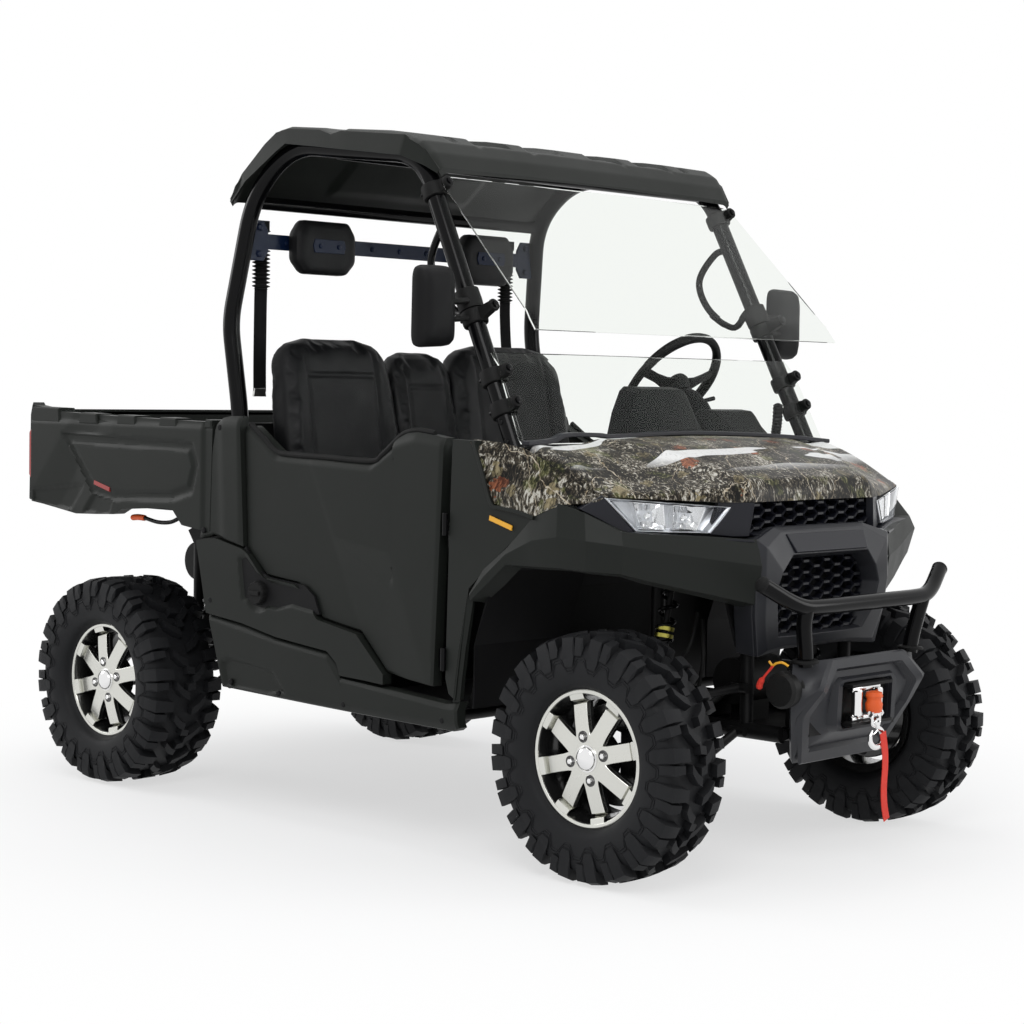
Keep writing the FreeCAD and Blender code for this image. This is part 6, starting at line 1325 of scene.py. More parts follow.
QUARTER_LOW = [(-0.515, 0.776), (-0.461, 0.785), (-0.451, 0.792), (-0.430, 0.786), (-0.312, 0.764)]
QUARTER_TOP = [(-0.451, 1.084), (-0.436, 1.115), (-0.412, 1.129), (-0.380, 1.134), (-0.334, 1.134)]
SILL_TOP = [(-0.521, 0.770), (-0.461, 0.779), (-0.430, 0.780), (-0.318, 0.758), (-0.290, 0.745),
            (-0.227, 0.684), (-0.085, 0.671), (0.009, 0.582), (0.168, 0.556), (0.276, 0.458),
            (0.276, 0.457)]
SILL_LOW = [(-0.521, 0.764), (-0.497, 0.664), (-0.473, 0.562), (-0.310, 0.545), (-0.166, 0.519),
            (-0.050, 0.508), (0.052, 0.499), (0.092, 0.469), (0.103, 0.437), (0.190, 0.4345), (0.276, 0.430)]


CAP_X, CAP_Z = -0.241, 0.637


def quarter_relief(x, z):
    """The quarter panel: a chamfer by its top, and a fall by its rear edge."""
    top = 0.010 * np.clip((z - 1.10) / 0.034, 0, 1) ** 1.5
    return top + 0.006 * np.clip((-0.395 - x - (z - 0.78) * 0.05) / 0.03, 0, 1)


def sill_relief(x, z):
    """The panel round the fuel cap: a recess with sloping walls and a dish for the cap."""
    pocket = step_depth(x, z, [(-0.325, 0.728), (-0.308, 0.616), (-0.164, 0.598), (-0.102, 0.614),
                               (-0.010, 0.603), (-0.050, 0.660), (-0.230, 0.674), (-0.300, 0.735)],
                        0.011, 0.016)
    dish = 0.016 * np.clip(1.25 - np.hypot(x - CAP_X, z - CAP_Z) / 0.044, 0, 1) ** 0.5
    return pocket + dish


def rocker_relief(x, z):
    """The rocker: a ledge along its top, a raised field in the middle and a turned-in foot."""
    field = step_depth(x, z, [(-0.40, 0.424), (-0.365, 0.439), (-0.178, 0.418), (-0.125, 0.365),
                              (-0.20, 0.356), (-0.385, 0.362)], 0.008, 0.012)
    ledge = 0.012 * np.clip((z - np.interp(x, [-0.468, -0.166, 0.052, 0.103, 0.51],
                                           [0.545, 0.500, 0.478, 0.42, 0.39])) / 0.02, 0, 1)
    foot = 0.014 * np.clip((0.362 - z) / 0.03, 0, 1) ** 1.5
    return field + ledge + foot


ROCKER_TOP = [(-0.468, 0.556), (-0.310, 0.540), (-0.166, 0.513), (0.052, 0.493), (0.088, 0.465),
              (0.100, 0.432), (0.300, 0.420), (0.510, 0.406), (0.552, 0.412)]
ROCKER_LOW = [(-0.399, 0.354), (-0.300, 0.351), (-0.200, 0.348), (0.0, 0.3425), (0.192, 0.338),
              (0.400, 0.335), (0.534, 0.333), (0.556, 0.345)]


def build_side_panels():
    """The quarter panel behind the door, the sill panel with its fuel-cap pocket, and the rocker."""
    for name, side in SIDES.items():
        quarter = columns_grid(QUARTER_LOW, QUARTER_TOP, side, quarter_relief, PANEL_CELL)
        skin = closed_panel(quarter, side, PANEL_THICK)
        sill = columns_grid(SILL_LOW, SILL_TOP, side, sill_relief, 0.006)
        skin.shell(sill, sill - np.array([0, side * 0.033, 0]))
        piece(f"quarter_{name}_skin", skin, "charcoal", [f"quarter_{name}"], crisp=28.0)
        rocker = columns_grid(ROCKER_LOW, ROCKER_TOP, side, rocker_relief, 0.0065)
        piece(f"rocker_{name}_skin", closed_panel(rocker, side, PANEL_THICK), "charcoal",
              [f"rocker_{name}"], crisp=28.0)
        bolts = Skin()
        for x, z in ((-0.455, 0.600), (-0.36, 0.372), (-0.15, 0.36), (0.12, 0.36), (0.50, 0.36),
                     (-0.42, 1.10), (-0.49, 0.80)):
            turned(bolts, [(0, -0.004), (0.0085, -0.004), (0.0085, 0.001), (0.006, 0.003), (0, 0.0035)],
                   (x, side * 0.7035, z), (0, side, 0), steps=18)
        piece(f"panel_screws_{name}", bolts, "trim")
    cap = Skin()
    profile = [(0, -0.030), (0.030, -0.030), (0.034, -0.020), (0.035, -0.006), (0.031, 0.0),
               (0.012, 0.003), (0, 0.003)]
    turned(cap, profile, (CAP_X, -0.6915, CAP_Z), (0, -1, 0), steps=48)
    wing = [(CAP_X + 0.030 * math.cos(a) * (1.0 if abs(math.cos(a)) > 0.6 else 0.42),
             CAP_Z + 0.012 * math.sin(a))
            for a in full_turn(24)]
    prism(cap, wing, -0.7045, -0.690, soft=0.002)
    for a in full_turn(16):
        x, z = CAP_X + 0.0345 * math.cos(a), CAP_Z + 0.0345 * math.sin(a)
        rod(cap, (x, -0.688, z), (x, -0.668, z), 0.0022, 6)
    piece("fuel_cap_knob", cap, "trim", ["fuel_cap"])


# Bed


BED_RIM = [(-1.355, 1.150), (-1.20, 1.130), (-0.90, 1.122), (-0.456, 1.114)]
BED_LOW = [(-1.355, 0.845), (-1.290, 0.836), (-1.129, 0.816), (-1.020, 0.820), (-0.919, 0.825),
           (-0.882, 0.842), (-0.780, 0.849), (-0.686, 0.855), (-0.635, 0.854), (-0.590, 0.810),
           (-0.530, 0.803), (-0.466, 0.798)]


BED_REAR, BED_FRONT = -1.345, -0.500
BED_INNER = 0.664
BED_HINGE_X = -1.165


def bed_relief(x, z):
    """The bed side's moulded face: a groove band round the raised field, ribs along it, and the wedge lines
    that run down to the rear corner, each a shallow step."""
    field = step_depth(x, z, [(-1.190, 1.064), (-0.545, 1.052), (-0.520, 0.990), (-0.545, 0.905),
                              (-0.640, 0.880), (-0.930, 0.868), (-1.036, 0.884), (-1.155, 1.030)],
                       0.009, 0.014)
    raised = step_depth(x, z, [(-1.145, 1.036), (-0.562, 1.028), (-0.545, 0.985), (-0.565, 0.925),
                               (-0.650, 0.902), (-0.925, 0.892), (-1.020, 0.905)], -0.0055, 0.010)
    wedge = facet_depth(x, z, [((-1.323, 0.911), (-1.188, 1.062), 0.10)])
    wedge = np.minimum(wedge, 0.012) * np.clip((-0.93 - x) / 0.2, 0, 1)
    lower = step_depth(x, z, [(-1.360, 0.880), (-1.088, 0.908), (-1.157, 0.830), (-1.300, 0.835),
                              (-1.360, 0.850)], 0.007, 0.012)
    notch = step_depth(x, z, [(-1.032, 0.881), (-1.087, 0.825), (-0.95, 0.822), (-0.930, 0.864)],
                       0.008, 0.010)
    top = 0.006 * np.clip((z - 1.095) / 0.012, 0, 1)
    front = 0.005 * np.clip((x + 0.500) / 0.010, 0, 1)
    return field + raised + np.where(field > 0.001, 0, wedge) + lower + notch + top + front


def build_bed():
    """The dump bed: moulded side walls with tie-down rails, ribbed floor, front wall and corner posts."""
    sides = Skin()
    for side in SIDES.values():
        grid = columns_grid(BED_LOW, BED_RIM, side, bed_relief, 0.0065)
        inner = grid - np.array([0, side * 0.040, 0])
        sides.shell(grid, inner)
    piece("bed_sides", sides, "charcoal", ["bed"], body="bed", crisp=28.0)
    rails = Skin()
    for side in SIDES.values():
        for start, end, high in ((-1.352, -1.206, 1.142), (-1.104, -1.010, 1.128), (-0.912, -0.818, 1.125),
                                 (-0.706, -0.620, 1.122), (-0.494, -0.458, 1.120)):
            slab(rails, [(start, 1.096), (end, 1.096), (end - 0.004, high), (start + 0.006, high + 0.002)],
                 side, 0.640, 0.704, 0.004)
        slab(rails, [(-1.352, 1.086), (-0.458, 1.080), (-0.458, 1.106), (-1.352, 1.112)], side, 0.655,
             0.698, 0.003)
        tube(rails, smoothed([(-1.34, side * 0.672, 1.108), (-1.0, side * 0.672, 1.106),
                              (-0.47, side * 0.672, 1.103)], 20),
             0.009, 12)
        slab(rails, [(-1.372, 0.850), (-1.345, 0.845), (-1.338, 1.140), (-1.355, 1.157), (-1.366, 1.120)],
             side, 0.652, 0.702, 0.005)
    piece("bed_rails", rails, "charcoal", body="bed", crisp=25.0)
    tub = Skin()
    xs = np.linspace(BED_REAR, BED_FRONT, 240)
    grooves = np.linspace(BED_REAR, BED_FRONT, 11)[1:-1]
    far = np.abs(xs[:, None] - grooves).min(axis=1)
    wave = 0.8725 - 0.006 * np.clip((0.017 - far) / 0.004, 0, 1)
    top = np.stack([np.stack([xs, np.full_like(xs, y), wave], axis=-1)
                    for y in np.linspace(-BED_INNER, BED_INNER, 3)], axis=1)
    low = top * (1, 1, 0) + (0, 0, 0.850)
    tub.shell(top, low)
    ys = np.linspace(-BED_INNER, BED_INNER, 45)
    front = np.array([[(BED_FRONT, y, z) for z in (0.862, 0.95, 1.04, 1.112)] for y in ys])
    dip = 0.010 * (np.mod((ys + BED_INNER) / 0.19, 1) > 0.5)
    front[..., 0] += dip[:, None]
    tub.shell(front, front * (0, 1, 1) + (-0.460, 0, 0))
    for side in SIDES.values():
        rod(tub, (BED_HINGE_X - 0.03, side * 0.20, 0.806), (BED_HINGE_X + 0.03, side * 0.20, 0.806), 0.012)
        slab(tub, [(-1.32, 0.812), (-0.50, 0.812), (-0.50, 0.852), (-1.32, 0.852)], side, 0.24, 0.30, 0.003)
    piece("bed_tub", tub, "trim", body="bed", bevel=0.002)
    skirt = Skin()
    prism(skirt, [(-1.400, 0.842), (-1.358, 0.846), (-1.358, 0.872), (-1.384, 0.876), (-1.402, 0.866)],
          -0.652, 0.652, soft=0.004)
    piece("bed_sill", skirt, "charcoal", body="bed")
    spots = Skin()
    for side in SIDES.values():
        slab(spots, [(-1.022, 0.924), (-0.943, 0.905), (-0.945, 0.892), (-1.024, 0.911)], side, 0.690,
             0.7045, 0.0012)
    piece("bed_reflectors", spots, "red_lens", body="bed")


def build_tailgate():
    """The tailgate: a panel with two raised fields, ribs between them and a latch pull."""
    skin = Skin()
    y = np.linspace(-0.640, 0.640, 175)
    z = np.linspace(0.892, 1.128, 40)
    yy, zz = np.meshgrid(y, z, indexing="ij")
    field = step_depth(yy, zz, [(-0.58, 0.93), (0.58, 0.93), (0.55, 1.09), (-0.55, 1.09)], 0.008, 0.012)
    inner_field = step_depth(yy, zz, [(-0.50, 0.955), (0.50, 0.955), (0.47, 1.065), (-0.47, 1.065)],
                             -0.006, 0.012)
    x = -1.352 + field + inner_field
    outer = np.stack([x, yy, zz], axis=-1)
    skin.shell(outer, outer * (0, 1, 1) + (-1.322, 0, 0))
    prism(skin, [(-1.354, 1.120), (-1.322, 1.120), (-1.322, 1.136), (-1.350, 1.136)], -0.640,
          0.640, soft=0.003)
    piece("tailgate_panel", skin, "charcoal", ["tailgate"], body="tailgate", crisp=28.0)
    pull = Skin()
    prism(pull, [(-1.360, 1.060), (-1.346, 1.056), (-1.346, 1.088), (-1.358, 1.084)], -0.09, 0.09, soft=0.003)
    for side in SIDES.values():
        rod(pull, (-1.333, side * 0.636, 0.896), (-1.333, side * 0.652, 0.896), 0.0075)
    piece("tailgate_pull", pull, "tube", body="tailgate")


def build_tail_lamps():
    """The tail lamps: red corner lenses with a pale reversing stripe and a dark tray."""
    lens, tray = Skin(), Skin()
    for side in SIDES.values():
        rows = []
        for z, push in ((0.916, 0.004), (0.930, 0.0), (0.990, 0.0), (1.060, 0.0), (1.076, 0.004)):
            rows.append([(-1.345 + push, side * (0.7045 - push * 0.5), z),
                         (-1.366 + push, side * (0.7045 - push), z),
                         (-1.3735 + push, side * (0.696 - push), z), (-1.3735 + push, side * 0.668, z)])
        wall(lens, rows, 0.006, (-1.33, side * 0.66, 1.0))
        slab(tray, [(-1.366, 0.912), (-1.345, 0.910), (-1.345, 1.080), (-1.366, 1.078)], side, 0.660,
             0.7005, 0.002)
    piece("tail_lamp_lenses", lens, "red_lens", ["tail_lamps"], body="bed", bevel=0.0015)
    piece("tail_lamp_trays", tray, "trim", body="bed")
    stripe = Skin()
    for side in SIDES.values():
        slab(stripe, [(-1.3752, 0.972), (-1.3715, 0.972), (-1.3715, 1.000), (-1.3752, 1.000)], side, 0.670,
             0.694, 0.0008)
    piece("tail_lamp_stripes", stripe, "white_lens", body="bed")


def build_bed_latch():
    """The release lever under the bed's right side with its orange grip."""
    lever = Skin()
    tube(lever, smoothed([(-0.655, -0.660, 0.826), (-0.70, -0.660, 0.811), (-0.76, -0.660, 0.808),
                          (-0.823, -0.660, 0.817)], 24),
         0.0062, 12)
    grip = Skin()
    tube(grip, smoothed([(-0.823, -0.660, 0.817), (-0.857, -0.660, 0.818), (-0.888, -0.660, 0.815)], 14),
         np.array([0.0085, *[0.0092, 0.0094] * 5, 0.0092, 0.0088, 0.006]), 16)
    piece("bed_lever", lever, "tube", ["bed_latch"], body="bed")
    piece("bed_lever_grip", grip, "orange", body="bed")


# Cab


ROOF_HALF = 0.648


def build_roof():
    """The roof: height crown(x) less a fall to each side, its sheet sunk between five ribs that end in round
    steps at the brow, with a V-shaped scoop in each side edge and upright skirts."""
    xs = np.concatenate([np.linspace(-0.476, -0.26, 34), np.linspace(-0.255, 0.30, 72),
                         np.linspace(0.304, 0.378, 20)])
    ys = np.linspace(-1, 1, 161)
    crown = np.interp(xs, [-0.476, -0.455, -0.40, -0.30, -0.25, -0.20, 0.0, 0.20, 0.276, 0.32, 0.353, 0.378],
                      [1.772, 1.790, 1.838, 1.920, 1.949, 1.9565, 1.938, 1.920, 1.909, 1.886, 1.852, 1.812])
    half = np.interp(xs, [-0.476, -0.43, 0.30, 0.378], [0.628, ROOF_HALF, ROOF_HALF, 0.622])
    y = half[:, None] * ys[None]
    a = np.abs(ys)[None]
    fall = 0.003 * a ** 2 + 0.012 * np.clip((a - 0.965) / 0.035, 0, 1) ** 2.2
    solid = np.clip((a * ROOF_HALF - 0.500) / 0.014, 0, 1) * np.ones_like(y)
    for middle, wide in ((0.0, 0.13), (0.235, 0.075), (-0.235, 0.075), (0.45, 0.070), (-0.45, 0.070)):
        solid = np.maximum(solid, np.clip((wide / 2 + 0.006 - np.abs(y - middle)) / 0.014, 0, 1))
    round_end = 0.03 * np.abs(np.sin(np.pi * y / 0.22))
    lengthwise = np.clip((xs[:, None] + 0.170) / 0.016, 0, 1)
    lengthwise = lengthwise * np.clip((0.338 - round_end - xs[:, None]) / 0.022, 0, 1)
    sunk_sheet = 0.014 * lengthwise * (1 - solid * solid * (3 - 2 * solid))
    scoop = np.clip(1 - np.abs(xs + 0.015) / 0.048, 0, 1)[:, None]
    scoop = scoop * np.clip((a * ROOF_HALF - 0.575) / 0.04, 0, 1)
    dish = 0.010 * (np.clip((0.30 - np.abs(y)) / 0.03, 0, 1) * np.clip((xs[:, None] + 0.44) / 0.03, 0, 1)
                    * np.clip((-0.30 - xs[:, None]) / 0.02, 0, 1))
    z = crown[:, None] - fall - sunk_sheet - 0.014 * scoop - dish - 0.0025
    outer = np.stack([np.broadcast_to(xs[:, None], y.shape), y, z], axis=-1)
    sunk = 0.006 + 0.010 * np.clip(a - 0.2, 0, 1)
    inner = outer - np.stack([np.zeros_like(y), np.sign(y) * 0.010 * (a > 0.9), sunk * np.ones_like(y)],
                             axis=-1)
    skin = Skin().shell(outer, inner)
    skirts = Skin()
    for side in SIDES.values():
        top = [(-0.476, 0.628, 1.762), (-0.40, 0.648, 1.828), (-0.30, 0.649, 1.906), (-0.25, 0.649, 1.936),
               (-0.20, 0.649, 1.943), (-0.064, 0.649, 1.931), (-0.020, 0.649, 1.916), (0.020, 0.649, 1.923),
               (0.276, 0.649, 1.896), (0.340, 0.634, 1.854), (0.378, 0.622, 1.802)]
        low = [(-0.470, 0.628, 1.750), (-0.383, 0.650, 1.806), (-0.30, 0.651, 1.853), (-0.25, 0.651, 1.882),
               (-0.21, 0.651, 1.902), (-0.064, 0.651, 1.884), (-0.020, 0.651, 1.878), (0.020, 0.651, 1.873),
               (0.258, 0.651, 1.843), (0.335, 0.636, 1.812), (0.372, 0.622, 1.790)]
        wall(skirts, ruled(sided(top, side), sided(low, side), 90, 4), 0.008, (0, 0, 1.85))
    piece("roof_shell", skin, "charcoal", ["roof"], crisp=30.0)
    piece("roof_skirts", skirts, "charcoal", bevel=0.002)


# the left hoop's corners from the front foot over the roof to the rear foot, and its half width inside
CAGE_RADIUS = 0.0248
HOOP_INNER = 0.600
HEAD_BAR_X = -0.4193
CAGE_PATH = [(0.783, 0.640, 0.870), (0.297, 0.603, 1.845), (-0.235, 0.603, 1.900), (-0.400, 0.603, 1.770),
             (-0.455, 0.640, 1.405), (-0.405, 0.640, 1.136), (-0.405, 0.640, 0.375)]


def cage_bends():
    """The hoop's line: straight runs with a wider bend at the roof's corners and a small one at the kinks."""
    line = rounded(np.array(CAGE_PATH)[:5], 0.10, 12)
    tail = rounded(np.array(CAGE_PATH)[3:], 0.055, 8)
    return np.concatenate([line[:-1], tail[1:]])


def pillar_point(z):
    """The place on the left front pillar's middle line at a height."""
    a, b = np.array(CAGE_PATH[0]), np.array(CAGE_PATH[1])
    return a + (b - a) * (z - a[2]) / (b[2] - a[2])


def build_cage():
    """The roll cage: hoops, cross tubes, grab handles, and the blue-black head bar with its brackets."""
    skin, bar = Skin(), Skin()
    line = cage_bends()
    for side in SIDES.values():
        tube(skin, sided(line, side), CAGE_RADIUS, 28)
        grab = smoothed(sided([(0.392, 0.604, 1.655), (0.352, 0.588, 1.640), (0.305, 0.575, 1.560),
                               (0.345, 0.573, 1.475), (0.430, 0.585, 1.420), (0.468, 0.598, 1.462)], side),
                        40)
        tube(skin, grab, 0.0105, 14)
        for z in (1.09, 1.14):
            rod(skin, sided(pillar_point(z) + (0, -0.01, 0), side),
                sided(pillar_point(z) + (0, 0.028, 0), side), 0.008, 12)
        for x in (-0.15, 0.19):
            z = np.interp(x, [-0.235, 0.297], [1.900, 1.845])
            rod(skin, (x, side * 0.603, z), (x, side * 0.603, z + 0.018), 0.012, 12)
    for x, z in ((0.297, 1.822), (-0.400, 1.750)):
        rod(skin, (x, -HOOP_INNER, z), (x, HOOP_INNER, z), 0.0188, 24)
    rod(skin, (-0.05, -HOOP_INNER, 1.868), (-0.05, HOOP_INNER, 1.868), 0.0150, 20)
    x = HEAD_BAR_X
    plate = [(-HOOP_INNER, 1.620), (-HOOP_INNER, 1.664), (HOOP_INNER, 1.664), (HOOP_INNER, 1.620)]
    prism(bar, plate, x - 0.008, x, axis="x", soft=0.0012)
    for side in SIDES.values():
        prism(bar, [(side * 0.600, 1.585), (side * 0.600, 1.702), (side * 0.548, 1.702),
                    (side * 0.530, 1.672), (side * 0.530, 1.612), (side * 0.548, 1.585)], x - 0.0085,
              x + 0.0005, axis="x", soft=0.0012)
        for z in (1.605, 1.682):
            turned(bar, [(0, 0), (0.011, 0), (0.011, 0.004), (0.0075, 0.008), (0, 0.0085)],
                   (x, side * 0.566, z), (1, 0, 0), steps=6)
    for y in np.linspace(-0.46, 0.46, 9):
        turned(bar, [(0, 0), (0.0085, 0), (0.0085, 0.0025), (0.005, 0.004), (0, 0.004)], (x, y, 1.642),
               (1, 0, 0), steps=18)
    piece("cage_tubes", skin, "tube", ["cage"], crisp=40.0)
    piece("head_bar", bar, "bar")


def glass_sheet(rows):
    """A clear sheet: the rows (x, half width, z) from top to bottom joined across, as x, half u, z for u in
    -1..1."""
    x, half, z = np.asarray(rows, float).T[..., None]
    u = np.linspace(-1, 1, 41)
    return np.stack(np.broadcast_arrays(x, half * u, z), axis=-1)


def build_windshields():
    """The folding upper sheet with its lip, the lower sheet with its fold, and the clamps that hold them."""
    upper = glass_sheet([(0.372, 0.590, 1.785), (0.378, 0.612, 1.779), (0.392, 0.624, 1.765),
                         (0.50, 0.630, 1.655), (0.62, 0.640, 1.533), (0.715, 0.646, 1.436),
                         (0.728, 0.648, 1.424), (0.740, 0.650, 1.406), (0.762, 0.652, 1.377)])
    upper[..., 0] += 0.012 * (1 - (upper[..., 1] / 0.65) ** 2)
    piece("windshield_upper_sheet", wall(Skin(), upper, SHEET_THICK, (-1, 0, 1.0)), "clear",
          ["windshield_upper"], bevel=0.001)
    lower = glass_sheet([(0.590, 0.634, 1.320), (0.606, 0.636, 1.303), (0.622, 0.637, 1.286),
                         (0.640, 0.642, 1.250), (0.680, 0.648, 1.168), (0.714, 0.654, 1.098),
                         (0.722, 0.652, 1.087)])
    lower[..., 0] += 0.008 * (1 - (lower[..., 1] / 0.65) ** 2)
    piece("windshield_lower_sheet", wall(Skin(), lower, SHEET_THICK, (-1, 0, 1.0)), "clear",
          ["windshield_lower"], bevel=0.001)
    grips, bolts = Skin(), Skin()
    lean = unit(np.subtract(*CAGE_PATH[1::-1]))
    for side in SIDES.values():
        along_pillar = lean * (1, side, 1)
        forward = np.cross(along_pillar, (0, 1, 0))
        forward = unit(forward) * np.sign(forward[0])
        for z, reach in ((1.744, 0.050), (1.407, 0.072), (1.253, 0.050), (1.171, 0.046)):
            spot = sided(pillar_point(z), side)
            revolved(grips, [(0.0255, -0.020), (0.033, -0.019), (0.0345, -0.012), (0.0345, 0.012),
                             (0.033, 0.019), (0.0255, 0.020)], spot, along_pillar, steps=32)
            start = spot + forward * 0.030
            rings = []
            for far, wide, tall in ((0.0, 0.013, 0.018), (0.010, 0.011, 0.016),
                                    (reach - 0.026, 0.010, 0.013)):
                p = start + forward * far
                rings.append([p + along_pillar * tall * c + np.array([0, 1, 0]) * wide * d
                              for c, d in ((-1, -1), (-1, 1), (1, 1), (1, -1))])
            grips.solid(rings)
            tip = start + forward * (reach - 0.026)
            turned(grips, [(0, -0.004), (0.016, -0.004), (0.017, 0.0), (0.016, 0.006), (0, 0.006)], tip,
                   forward, steps=24)
            turned(bolts, [(0, 0.006), (0.009, 0.006), (0.009, 0.011), (0.006, 0.0125), (0, 0.0125)], tip,
                   forward, steps=24)
            beside = spot + np.array([0, side * 0.026, 0])
            rod(bolts, beside - forward * 0.026, beside + forward * 0.014, 0.004, 12)
    piece("windshield_grips", grips, "rubber", ["windshield_clamps"], bevel=0.0015)
    piece("windshield_bolts", bolts, "tube")


def hump(skin, middle, half, top, foot, x0, x1):
    """A cowl over the gauges: rings from its rear face forward, each a rounded trapezoid from foot up."""
    rings = []
    for x, share, lift in ((x0, 0.93, 0.985), (x0 + 0.006, 0.99, 1.0), (x0 + 0.03, 1.0, 1.0),
                           ((x0 + x1) / 2, 0.98, 0.96), (x1 - 0.02, 0.80, 0.55), (x1, 0.72, 0.30)):
        high = foot + (top - foot) * lift
        wide = half * share
        base = half * (1.10 if share > 0.9 else 1.0)
        outline = [(-base, foot), (-wide * 0.96, foot + (high - foot) * 0.55), (-wide * 0.74, high - 0.012),
                   (-wide * 0.62, high), (wide * 0.62, high), (wide * 0.74, high - 0.012),
                   (wide * 0.96, foot + (high - foot) * 0.55), (base, foot)]
        rings.append([(x, middle + y, z) for y, z in outline])
    skin.solid(rings)


def build_dash():
    """The dash: a moulded top from the seal back to a rolled edge, a front face with pockets, two humps with
    their gauges, vents, a shift gate and the brake lever."""
    ys = np.linspace(-0.604, 0.604, 121)
    profile = [(0.716, 1.076), (0.690, 1.084), (0.640, 1.087), (0.560, 1.084), (0.500, 1.078), (0.482, 1.068),
               (0.478, 1.045), (0.488, 0.990), (0.498, 0.945), (0.520, 0.910), (0.560, 0.905)]
    grid = np.stack([np.stack([np.full_like(ys, x), ys, np.full_like(ys, z)], axis=-1) for x, z in profile],
                    axis=1)
    shelf = np.clip((0.28 - np.abs(ys + 0.33)) / 0.03, 0, 1)
    grid[:, 6:9, 0] += (0.022 * shelf)[:, None]
    grid[:, 1:5, 2] -= (0.012 * shelf)[:, None]
    skin = wall(Skin(), grid, 0.010, (0.62, 0, 0.95))
    hump(skin, 0.028, 0.145, 1.237, 1.075, 0.545, 0.690)
    hump(skin, 0.345, 0.140, 1.175, 1.075, 0.560, 0.690)
    piece("dash_shell", skin, "trim", ["dash"], crisp=25.0, bevel=0.004, segments=3)
    dials, rims = Skin(), Skin()
    for x, y, z, r in ((0.556, 0.345, 1.120, 0.045), (0.541, 0.028, 1.165, 0.036)):
        revolved(rims, [(r, 0.004), (r + 0.006, 0.002), (r + 0.006, -0.008), (r - 0.002, -0.010),
                        (r - 0.003, 0.001)],
                 (x, y, z), (-1, 0, 0.1), steps=40)
        turned(dials, [(0, -0.004), (r, -0.004), (r, 0.0005), (r * 0.5, 0.0015), (0, 0.0018)],
               (x, y, z), (-1, 0, 0.1), steps=40)
    for y in (-0.45, -0.10, 0.15):
        for k in range(5):
            prism(rims, [(0.4775, 0.985 + 0.010 * k), (0.4735, 0.988 + 0.010 * k),
                         (0.4775, 0.991 + 0.010 * k)],
                  y - 0.05, y + 0.05)
    piece("dash_dials", dials, "bar")
    piece("dash_rims", rims, "satin_trim")
    lever, grip = Skin(), Skin()
    tube(lever, smoothed([(0.560, 0.585, 1.02), (0.585, 0.585, 1.075), (0.598, 0.585, 1.10)], 14), 0.010, 14)
    ridges = 0.0135 + 0.0022 * np.sin(np.linspace(0, 2 * np.pi * 5, 60)) ** 2
    ridges[-4:] = (0.013, 0.011, 0.008, 0.003)
    tube(grip, smoothed([(0.598, 0.585, 1.095), (0.604, 0.585, 1.14), (0.606, 0.585, 1.195)], 60), ridges, 18)
    piece("brake_lever", lever, "tube")
    piece("brake_lever_grip", grip, "rubber")


STEER_MIDDLE = np.array([0.392, 0.345, 1.250])
STEER_AXIS = np.array([-0.788011, 0.0, 0.615661])


def build_steering():
    """The steering wheel: a thick rim with a swelling grip, three spokes, a padded hub and its column."""
    skin, spokes = Skin(), Skin()
    side = np.array([0.0, 1.0, 0.0])
    up = np.cross(STEER_AXIS, side)
    up = up if up[2] > 0 else -up
    turn = full_turn(120)
    radius = 0.0138 + 0.0014 * np.cos(3 * turn)
    cross = full_turn(18)
    out = np.cos(turn)[:, None] * side + np.sin(turn)[:, None] * up
    rings = (STEER_MIDDLE + out[:, None] * (0.168 + radius[:, None, None] * np.cos(cross)[None, :, None])
             + STEER_AXIS * (radius[:, None, None] * np.sin(cross)[None, :, None]))
    skin.ring(rings)
    piece("steering_rim", skin, "rubber", ["steering_wheel"], body="steering_wheel")
    for angle in (math.radians(15), math.radians(165), math.radians(270)):
        direction = math.cos(angle) * side + math.sin(angle) * up
        across = np.cross(STEER_AXIS, direction)
        rings = []
        for far, wide, sink in ((0.03, 0.030, 0.022), (0.07, 0.020, 0.020), (0.11, 0.015, 0.012),
                                (0.165, 0.016, 0.002)):
            p = STEER_MIDDLE + direction * far - STEER_AXIS * sink
            rings.append([p + across * wide * c + STEER_AXIS * 0.006 * d for c,
                          d in ((-1, -1), (1, -1), (0.85, 1), (-0.85, 1))])
        spokes.solid(rings)
    turned(spokes, [(0, -0.050), (0.026, -0.050), (0.040, -0.036), (0.046, -0.020), (0.044, -0.008),
                    (0.034, -0.002), (0, 0.002)], STEER_MIDDLE, STEER_AXIS, steps=48)
    piece("steering_spokes", spokes, "trim", body="steering_wheel", bevel=0.0025)
    column = Skin()
    start = STEER_MIDDLE - STEER_AXIS * 0.052
    rod(column, start, start - STEER_AXIS * 0.235, 0.0235, 28)
    turned(column, [(0, 0), (0.030, 0), (0.036, 0.018), (0.036, 0.070), (0.028, 0.100), (0, 0.100)],
           start - STEER_AXIS * 0.012, -STEER_AXIS, steps=32)
    for way, reach in ((-1, 0.11), (1, 0.09)):
        base = start - STEER_AXIS * 0.045
        tube(column, smoothed([base, base + side * way * 0.05 + up * 0.01,
                               base + side * way * reach + up * 0.02], 12),
             0.0065, 12)
    piece("steering_column", column, "trim")


# Seats


SEAT_PLACES = [(-0.3805, 0.2405, 1.370), (-0.0325, 0.1445, 1.335), (0.343, 0.279, 1.365)]


